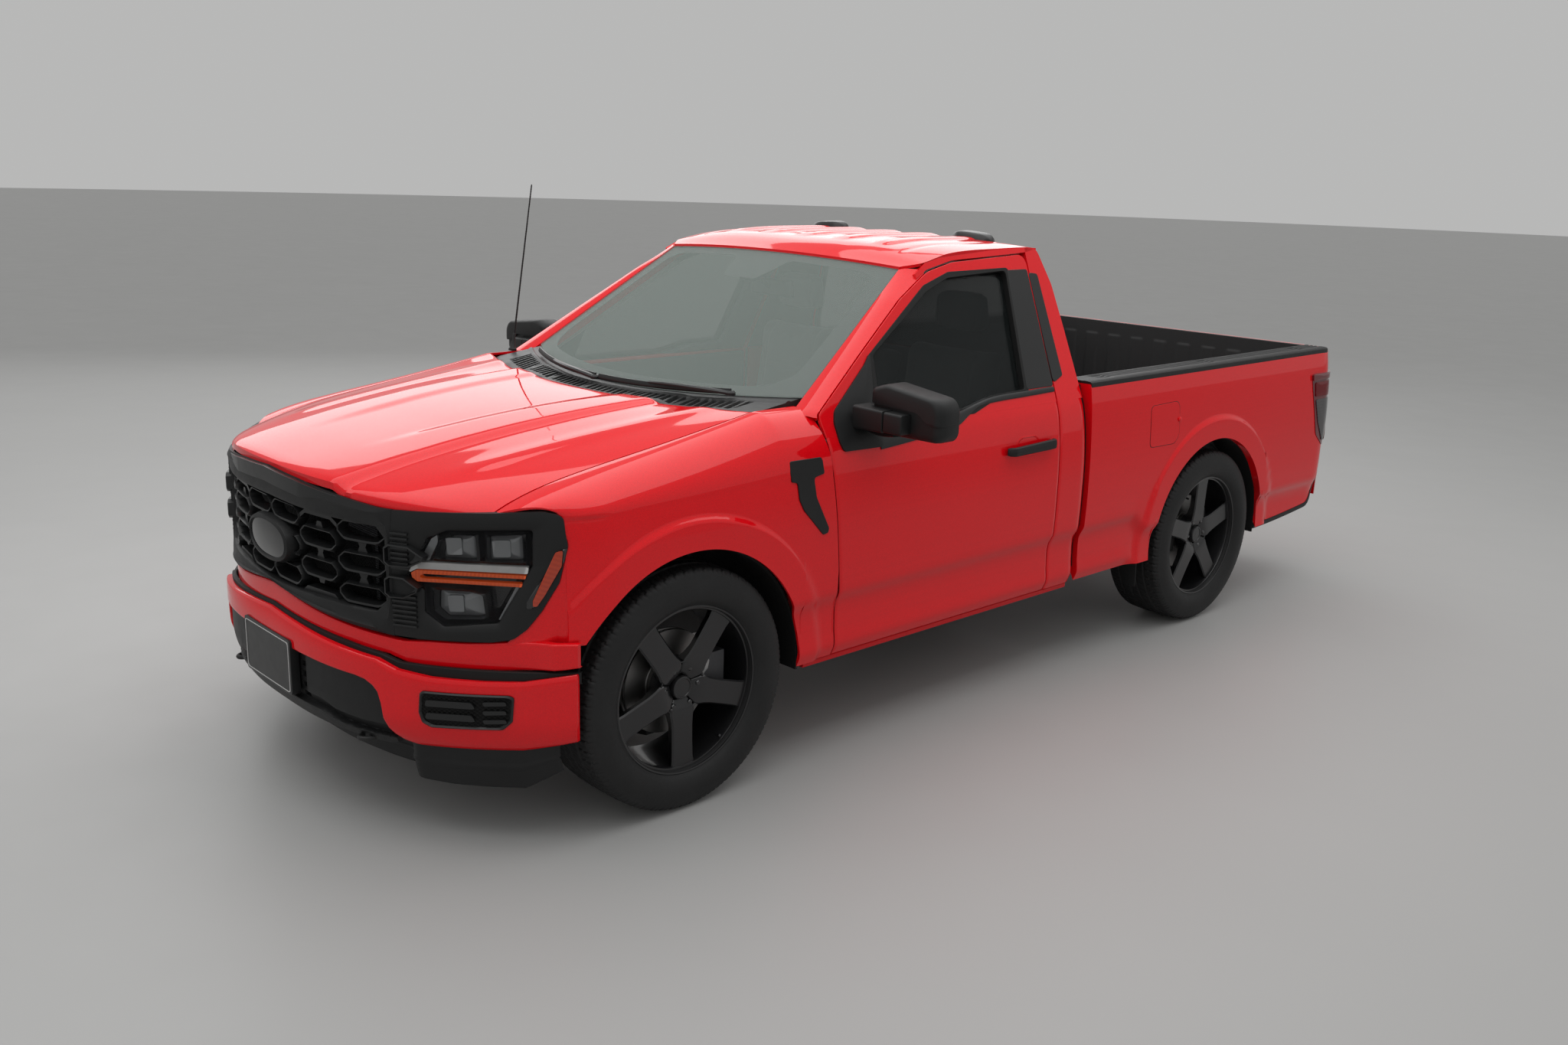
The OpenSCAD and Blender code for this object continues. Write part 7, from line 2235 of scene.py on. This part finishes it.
class PICKUP_OT_glass(PickupOperator, bpy.types.Operator):
    """Makes the windshield with its dark edge, the rear window and the inside mirror"""
    bl_idname = "pickup.glass"
    bl_label = "Glass"

    def execute(self, context):
        piece("windshield", windshield_shape(), "shield_glass", replaces=["fixed_glass"], angle=60)
        piece("windshield_edge", frit_shape(), "trim")
        rear = rounded([[-594, up(0.165)], [-535, up(0.735)], [535, up(0.735)], [594, up(0.165)]], 50, 8)
        pane = plate(rear,
                     lambda x, z, d: (x, CAB_Y1 - 12 - d - 8 * np.clip((z - up(0.6)) / 100, 0, 1), z), 0, 5)
        piece("rear_window", pane, "side_glass")
        shell, face = inside_mirror_shapes()
        piece("inside_mirror", shell, "trim", bevel=1.5)
        piece("inside_mirror_glass", face, "mirror")
        dress(["door_glass_left", "door_glass_right"], "side_glass")
        return {"FINISHED"}


class PICKUP_OT_nose(PickupOperator, bpy.types.Operator):
    """Makes the grille, its surround and the blank oval"""
    bl_idname = "pickup.nose"
    bl_label = "Grille"

    def execute(self, context):
        piece("grille_surround", surround_shape(), "trim", replaces=["grille"], angle=40)
        piece("surround_lip", lip_shape(), "satin_trim", bevel=1.5)
        piece("grille_rings", grille_shape(), "satin_trim", angle=25)
        nacelles = nacelle_shape()
        piece("grille_pockets", pair(nacelles), "satin_trim", angle=25)
        back = mirror_outline([[0, 1010], [590, 1004], [598, 700], [0, 690]])
        piece("grille_backing", plate(back, on_fascia, 66, 74), "mesh")
        rim = band(oval(146, 76), oval(124, 56), np.array([0.0, 853.0]), on_fascia,
                   [(0, 44), (0, 6), (0.3, -10), (0.8, -14), (1, -8), (1, 4), (0, 44)], 90)
        piece("oval_frame", rim, "trim")
        piece("oval_face", patch(oval(126, 58), np.array([0.0, 853.0]), on_fascia, -9, 6, 6, 90, -6),
              "gloss_black")
        return {"FINISHED"}


class PICKUP_OT_headlamps(PickupOperator, bpy.types.Operator):
    """Makes the headlamps and the amber corner markers"""
    bl_idname = "pickup.headlamps"
    bl_label = "Headlamps"

    def execute(self, context):
        made = lamp_shapes()
        # The bright projector piece also carries the painted glints.
        kinds = {"lens": "smoked_lens", "bowl": "gloss_black", "blocks": "gloss_black",
                 "projectors_and_glints": "bright",
                 "bar": "white_bar", "ambers": "amber", "marker": "marker", "marker_rim": "gloss_black"}
        names = {"lens": "headlamp_lenses", "bowl": "headlamp_bowls", "blocks": "headlamp_frames",
                 "projectors_and_glints": "headlamp_projectors",
                 "bar": "headlamp_bars", "ambers": "turn_strips", "marker": "corner_markers",
                 "marker_rim": "corner_marker_rims"}
        for key, shape in made.items():
            piece(names[key], pair(shape), kinds[key], replaces=["headlamps"] if key == "lens" else [])
        return {"FINISHED"}


class PICKUP_OT_front_bumper(PickupOperator, bpy.types.Operator):
    """Makes the front bumper, its insert, pods, blank plate, tow hooks and air dam"""
    bl_idname = "pickup.front_bumper"
    bl_label = "Front bumper"

    def execute(self, context):
        strip = across_shape(STRIP_TOP, STRIP_LOW, on_strip, 12, 16)
        piece("bumper_strip", strip, "paint", angle=50)
        bumper = across_shape(BUMPER_TOP, BUMPER_LOW, on_bumper, 24, 14)
        piece("bumper_skin", bumper, "paint", replaces=["front_bumper"], angle=50)
        # A black sheet behind the gap between the strip and the bumper: painted shade in the gap.
        gap = across_shape([[0, 640], [187, 628], [424, 610], [549, 596], [600, 580], [1000, 576]],
                           [[0, 600], [424, 590], [600, 545], [1000, 540]],
                           lambda x, z, d: (x, bumper_y(x) + 22 + d, z), 4, 8, 985)
        piece("bumper_gap_shade", gap, "seal")
        piece("bumper_insert", insert_shape(), "trim", angle=40)
        ring, back = fog_blank_shape()
        piece("bumper_pods", pair(ring), "satin_trim", angle=30)
        piece("bumper_pod_backs", pair(back), "mesh")
        board, border = plate_holder_shapes()
        piece("plate_holder", board, "satin_trim", bevel=1.5)
        piece("plate_border", border, "white_bar")
        piece("air_dam_lip", air_dam_shape(), "trim", replaces=["air_dam"])
        hook = tow_hook_shape()
        piece("tow_hooks", pair(hook), "chassis")
        return {"FINISHED"}


class PICKUP_OT_mirrors(PickupOperator, bpy.types.Operator):
    """Makes the outside mirrors"""
    bl_idname = "pickup.mirrors"
    bl_label = "Outside mirrors"

    def execute(self, context):
        m = mirror_shapes()
        both("mirror_head_{}", m["head"], "trim", "door_{}", replaces=["mirror_{}"], angle=40)
        both("mirror_cap_{}", m["cap"], "trim", "door_{}", angle=40)
        both("mirror_arm_{}", m["arm"], "trim", "door_{}", angle=40)
        both("mirror_arm_end_{}", m["end"], "trim", "door_{}", angle=40)
        both("mirror_glass_{}", m["glass"], "mirror", "door_{}")
        return {"FINISHED"}


class PICKUP_OT_wheels(PickupOperator, bpy.types.Operator):
    """Makes the tyres, wheels and brakes"""
    bl_idname = "pickup.wheels"
    bl_label = "Wheels"

    def execute(self, context):
        for end, axle, turn in (("front", FRONT_AXLE, 180), ("rear", REAR_AXLE, 0)):
            for side in ("left", "right"):
                body = f"wheel_{end}_{side}"
                turned = lambda s: s if side == "left" else s.mirrored()
                piece(f"tyre_tread_{end}_{side}", turned(tyre_shape(axle)), "tyre", body,
                      replaces=[f"tyre_{end}_{side}"], angle=28)
                parts = rim_shapes(axle, turn)
                piece(f"rim_{end}_{side}", turned(parts["rim"]), "wheel", body, replaces=[body], angle=30)
                piece(f"spokes_{end}_{side}", turned(parts["spokes"] + parts["hub"]), "wheel", body,
                      angle=25)
                piece(f"wheel_nuts_{end}_{side}", turned(parts["nuts"] + parts["valve"]), "gloss_black",
                      body, angle=30)
                disc, caliper, bracket = brake_shapes(axle)
                hold = f"knuckle_{side}" if end == "front" else "truck"
                piece(f"brake_disc_{end}_{side}", turned(disc), "steel", body, angle=30)
                piece(f"caliper_{end}_{side}", turned(caliper), "cast", hold, bevel=3)
                piece(f"caliper_bracket_{end}_{side}", turned(bracket), "bright_cast", hold, bevel=2)
        dress(["knuckle_left", "knuckle_right"], "cast")
        return {"FINISHED"}


class PICKUP_OT_bed(PickupOperator, bpy.types.Operator):
    """Makes the bed's sides, lining, rail caps and fuel door"""
    bl_idname = "pickup.bed"
    bl_label = "Bed"

    def execute(self, context):
        side = bed_side_shape()
        piece("bed_side_panels", pair(side), "paint", replaces=["bed_sides"], angle=45)
        edging = bed_trim_shape()
        piece("bed_edging", pair(edging), "trim")
        cap, front = rail_cap_shapes()
        piece("bed_rail_caps", pair(cap) + front, "trim", replaces=["rail_caps"], angle=40)
        wall = liner_side_shape()
        house = housing_shape() + housing_face_shape()
        piece("bed_lining", pair(wall) + pair(house), "liner", angle=40)
        piece("bed_lining_floor", bed_floor_shape(), "liner", angle=40)
        dress(["bed_floor"], "liner")
        arch = arch_lining_shape(REAR_AXLE)
        piece("rear_arch_linings", pair(arch), "seal", angle=40)
        # A black strip in the gap between cab and bed: painted shade.
        seal = gap_seal_shape()
        piece("bed_gap_shade_strips", pair(seal), "seal")
        piece("bed_front_wall", bed_front_shape(), "liner", replaces=["bed_front"], angle=40)
        door = rounded([[848, 900], [848, 1079], [1072, 1083], [1078, 930], [1046, 897]],
                       [26, 26, 40, 50, 50], 6)
        c = np.array([960.0, 990.0])
        place = lambda y, z, d: (bed_x(z, y) + flare(y, z, REAR_AXLE) - d, y, z)
        piece("fuel_door", patch(door, c, place, -1.6, 6, 8, 60), "paint", bevel=1.0)
        t = np.linspace(0, 2 * math.pi, 20, endpoint=False)
        knob = np.stack([1073 + 11 * np.cos(t), 1002 + 11 * np.sin(t)], -1)
        piece("fuel_door_pull", patch(knob, np.array([1073.0, 1002.0]), place, -5, 0, 4, 40, -5), "paint")
        ring = band((door - c) * 1.022 + c, (door - c) * 1.0 + c, c, place,
                    [(0, -0.4), (1, -0.4), (1, 6), (0, 6)], 90)
        piece("fuel_door_seam", ring, "seal")
        return {"FINISHED"}


class PICKUP_OT_tail(PickupOperator, bpy.types.Operator):
    """Makes the tailgate and tail lamps"""
    bl_idname = "pickup.tail"
    bl_label = "Tail"

    def execute(self, context):
        skin, lining = tailgate_shapes()
        piece("tailgate_skin", skin, "paint", "tailgate", replaces=["tailgate"], angle=45)
        piece("tailgate_lining", lining, "liner", "tailgate", angle=40)
        handle = rounded([[-96, 1122], [-90, 1150], [90, 1150], [96, 1122]], 10, 4)
        piece("tailgate_handle",
              patch(handle, np.array([0.0, 1136.0]), lambda x, z, d: (x, gate_profile_y(z) - 2 - d, z), 0,
                    12, 4, 60, -3), "trim", "tailgate", bevel=1.5)
        for name, shape in tail_lamp_shapes().items():
            kind = {"housings": "dark_red", "reds": "red_lens", "clears": "grey_lens"}[name]
            piece("tail_lamp_" + name, pair(shape), kind,
                  replaces=["tail_lamps"] if name == "housings" else [])
        return {"FINISHED"}


class PICKUP_OT_rear_bumper(PickupOperator, bpy.types.Operator):
    """Finishes the rear bumper"""
    bl_idname = "pickup.rear_bumper"
    bl_label = "Rear bumper"

    def execute(self, context):
        dress(["rear_bumper"], "paint")
        pads, tag = rear_bumper_trim_shapes()
        piece("bumper_step_pads", pads, "trim", bevel=1.5)
        piece("rear_blank_plate", tag, "satin_trim", bevel=1.0)
        return {"FINISHED"}


class PICKUP_OT_dashboard(PickupOperator, bpy.types.Operator):
    """Makes the dashboard, its fittings and the middle console"""
    bl_idname = "pickup.dashboard"
    bl_label = "Dashboard"

    def execute(self, context):
        piece("dashboard_pad", dashboard_shape(), "dark_grey_trim", replaces=["dashboard"], angle=35)
        parts = dash_detail_shapes()
        kinds = {"vents": "trim", "screen_frame": "trim", "screen": "gloss_black", "dials": "gloss_black",
                 "knobs": "satin_trim",
                 "glove_box": "dark_grey_trim", "column": "trim", "console": "dark_grey_trim"}
        for key, shape in parts.items():
            piece("dash_" + key, shape, kinds[key], bevel=1.0 if key != "screen" else 0)
        return {"FINISHED"}


class PICKUP_OT_steering_wheel(PickupOperator, bpy.types.Operator):
    """Makes the steering wheel"""
    bl_idname = "pickup.steering_wheel"
    bl_label = "Steering wheel"

    def execute(self, context):
        rim, hub, spokes = steering_wheel_shapes()
        piece("steering_rim", rim, "satin_trim", "steering_wheel", replaces=["steering_wheel"])
        piece("steering_hub", hub, "trim", "steering_wheel")
        piece("steering_spokes", spokes, "satin_trim", "steering_wheel")
        return {"FINISHED"}


class PICKUP_OT_seats(PickupOperator, bpy.types.Operator):
    """Makes the seats as swollen cloth pads with sewn channels"""
    bl_idname = "pickup.seats"
    bl_label = "Seats"

    def execute(self, context):
        forms = seat_forms()
        limits = {"cushion": 24, "middle_cushion": 22, "back": 24, "middle_back": 22, "head_restraint": 10}
        replaced = {"cushion": ["seat_cushion"], "back": ["seat_back"]}
        seams = {
            "cushion": lambda x, y, z: np.where(z > 760, seam_distance(x, 458, y - DOOR_Y0 - 760), NO_SEAM),
            "middle_cushion": lambda x, y, z: np.where(z > 760, np.abs(y - DOOR_Y0 - 760), NO_SEAM),
            "back": lambda x, y, z: np.where(y < DOOR_Y1 - 60, seam_distance(x, 460, z - 1130), NO_SEAM),
            "middle_back": lambda x, y, z: np.where(y < DOOR_Y1 - 60, np.abs(z - 1060), NO_SEAM),
            "head_restraint": lambda x, y, z: np.abs(np.abs(np.abs(x) - 480) - 96),
        }
        for key, shape in forms.items():
            obj = piece(f"seat_{key}", shape, "cloth", replaces=replaced.get(key, []), slot="seat_cloth")
            swell(obj, limits[key])
            sew(obj, seams[key])
            if not key.startswith("middle"):
                twin = obj.copy()
                twin.data = obj.data.copy()
                twin.name = twin.data.name = f"seat_{key}_right"
                n = len(twin.data.vertices)
                co = np.empty(n * 3)
                twin.data.vertices.foreach_get("co", co)
                twin.data.vertices.foreach_set("co", (co.reshape(-1, 3) * [-1, 1, 1]).ravel())
                twin.data.flip_normals()
                context.scene.collection.objects.link(twin)
                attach(twin, "truck")
        base = block((190, DOOR_Y0 + 575, 512), (720, DOOR_Y0 + 1040, 700))
        piece("seat_bases", pair(base) + block((-165, DOOR_Y0 + 575, 512), (165, DOOR_Y0 + 1040, 700)),
              "dark_grey_trim", bevel=14)
        return {"FINISHED"}


class PICKUP_OT_chassis(PickupOperator, bpy.types.Operator):
    """Gives the chassis pieces their finishes"""
    bl_idname = "pickup.chassis"
    bl_label = "Chassis"

    def execute(self, context):
        dress(["frame", "control_arms", "leaf_springs", "rear_axle", "fuel_tank"], "chassis")
        dress(["engine"], "cast")
        dress(["exhaust"], "exhaust")
        dress(["radiator"], "fins")
        dress(["wheel_liners"], "trim")
        dress(["spare_wheel"], "tyre")
        return {"FINISHED"}


class PICKUP_OT_stage(PickupOperator, bpy.types.Operator):
    """Makes the floor, light and camera"""
    bl_idname = "pickup.stage"
    bl_label = "Stage"

    def execute(self, context):
        look, scene = context.scene.pickup_look, context.scene
        a = np.linspace(0, 2 * math.pi, 96, endpoint=False)
        mesh = bpy.data.meshes.new("floor")
        ring = np.stack([60 * np.cos(a), 60 * np.sin(a), np.full(96, -0.0005)], -1)
        mesh.from_pydata(ring.tolist(), [], [list(range(96))])
        floor = bpy.data.objects.new("floor", mesh)
        scene.collection.objects.link(floor)
        f = Finish("pale_floor", tuple(look.floor), 0.5, "none")
        f.shade(f.noise(0.7), 0.94)
        f.set("Roughness", f.noise(3.0) * 0.12 + 0.42)
        mesh.materials.append(f.material)

        world = bpy.data.worlds.new("surroundings")
        world.use_nodes = True
        back = world.node_tree.nodes["Background"]
        back.inputs["Color"].default_value = (*look.sky, 1)
        rays = Socket(world.node_tree, None).node("ShaderNodeLightPath", output="Is Camera Ray")
        seen = rays + Socket(world.node_tree, rays.link.node.outputs["Is Glossy Ray"])
        seen = (seen + Socket(world.node_tree, rays.link.node.outputs["Is Transmission Ray"])).over(0.0,
            1.0)
        world.node_tree.links.new((seen * -0.2 + 1.0).link, back.inputs["Strength"])
        scene.world = world

        light = bpy.data.lights.new("ceiling", "AREA")
        light.shape, light.size, light.size_y, light.energy = "RECTANGLE", 6.0, 9.5, look.lamp_power
        lamp = bpy.data.objects.new("ceiling", light)
        lamp.location = (0.4, -0.6, 4.6)
        scene.collection.objects.link(lamp)

        light = bpy.data.lights.new("far_panel", "AREA")
        light.shape, light.size, light.size_y, light.energy = "RECTANGLE", 12.0, 3.4, look.lamp_power * 0.95
        lamp = bpy.data.objects.new("far_panel", light)
        away = Vector((-0.85, 0.52, 0.0)).normalized()
        lamp.location = away * 9.0 + Vector((0.6, -1.6, 4.4))
        lamp.rotation_euler = (-away - Vector((0, 0, 0.35))).to_track_quat("-Z", "Y").to_euler()
        scene.collection.objects.link(lamp)

        data = bpy.data.cameras.new("camera")
        data.lens, data.sensor_width, data.clip_end = look.lens, 36.0, 200.0
        camera = bpy.data.objects.new("camera", data)
        yaw, pitch, roll = math.radians(46.3), math.radians(-14.7), math.radians(1.8)
        turn = Matrix.Rotation(yaw, 3, "Z") @ Matrix.Rotation(math.pi / 2 + pitch, 3,
            "X") @ Matrix.Rotation(roll, 3, "Z")
        camera.matrix_world = Matrix.Translation((4.1766, -4.3599, 2.0601)) @ turn.to_4x4()
        scene.collection.objects.link(camera)
        scene.camera = camera
        scene.view_settings.view_transform = "Standard"
        return {"FINISHED"}


GROUPS = (PICKUP_OT_stage, PICKUP_OT_hood, PICKUP_OT_fenders, PICKUP_OT_doors, PICKUP_OT_cab,
          PICKUP_OT_cowl, PICKUP_OT_glass, PICKUP_OT_nose,
          PICKUP_OT_headlamps, PICKUP_OT_front_bumper, PICKUP_OT_mirrors, PICKUP_OT_wheels, PICKUP_OT_bed,
          PICKUP_OT_tail, PICKUP_OT_rear_bumper,
          PICKUP_OT_dashboard, PICKUP_OT_steering_wheel, PICKUP_OT_seats, PICKUP_OT_chassis)


class PICKUP_PT_panel(bpy.types.Panel):
    """Lists the settings and the truck's pieces"""
    bl_idname = "PICKUP_PT_panel"
    bl_label = "Pickup Truck"
    bl_space_type = "VIEW_3D"
    bl_region_type = "UI"
    bl_category = "Pickup"

    def draw(self, context):
        for name in PickupLook.__annotations__:
            self.layout.prop(context.scene.pickup_look, name)
        for group in GROUPS:
            self.layout.operator(group.bl_idname)


CLASSES = (PickupLook, *GROUPS, PICKUP_PT_panel)


def register():
    for c in CLASSES:
        bpy.utils.register_class(c)
    bpy.types.Scene.pickup_look = bpy.props.PointerProperty(type=PickupLook)


def unregister():
    del bpy.types.Scene.pickup_look
    for c in reversed(CLASSES):
        bpy.utils.unregister_class(c)


def main():
    register()
    for group in GROUPS:
        area, name = group.bl_idname.split(".")
        getattr(getattr(bpy.ops, area), name)()


if __name__ == "__main__":
    main()
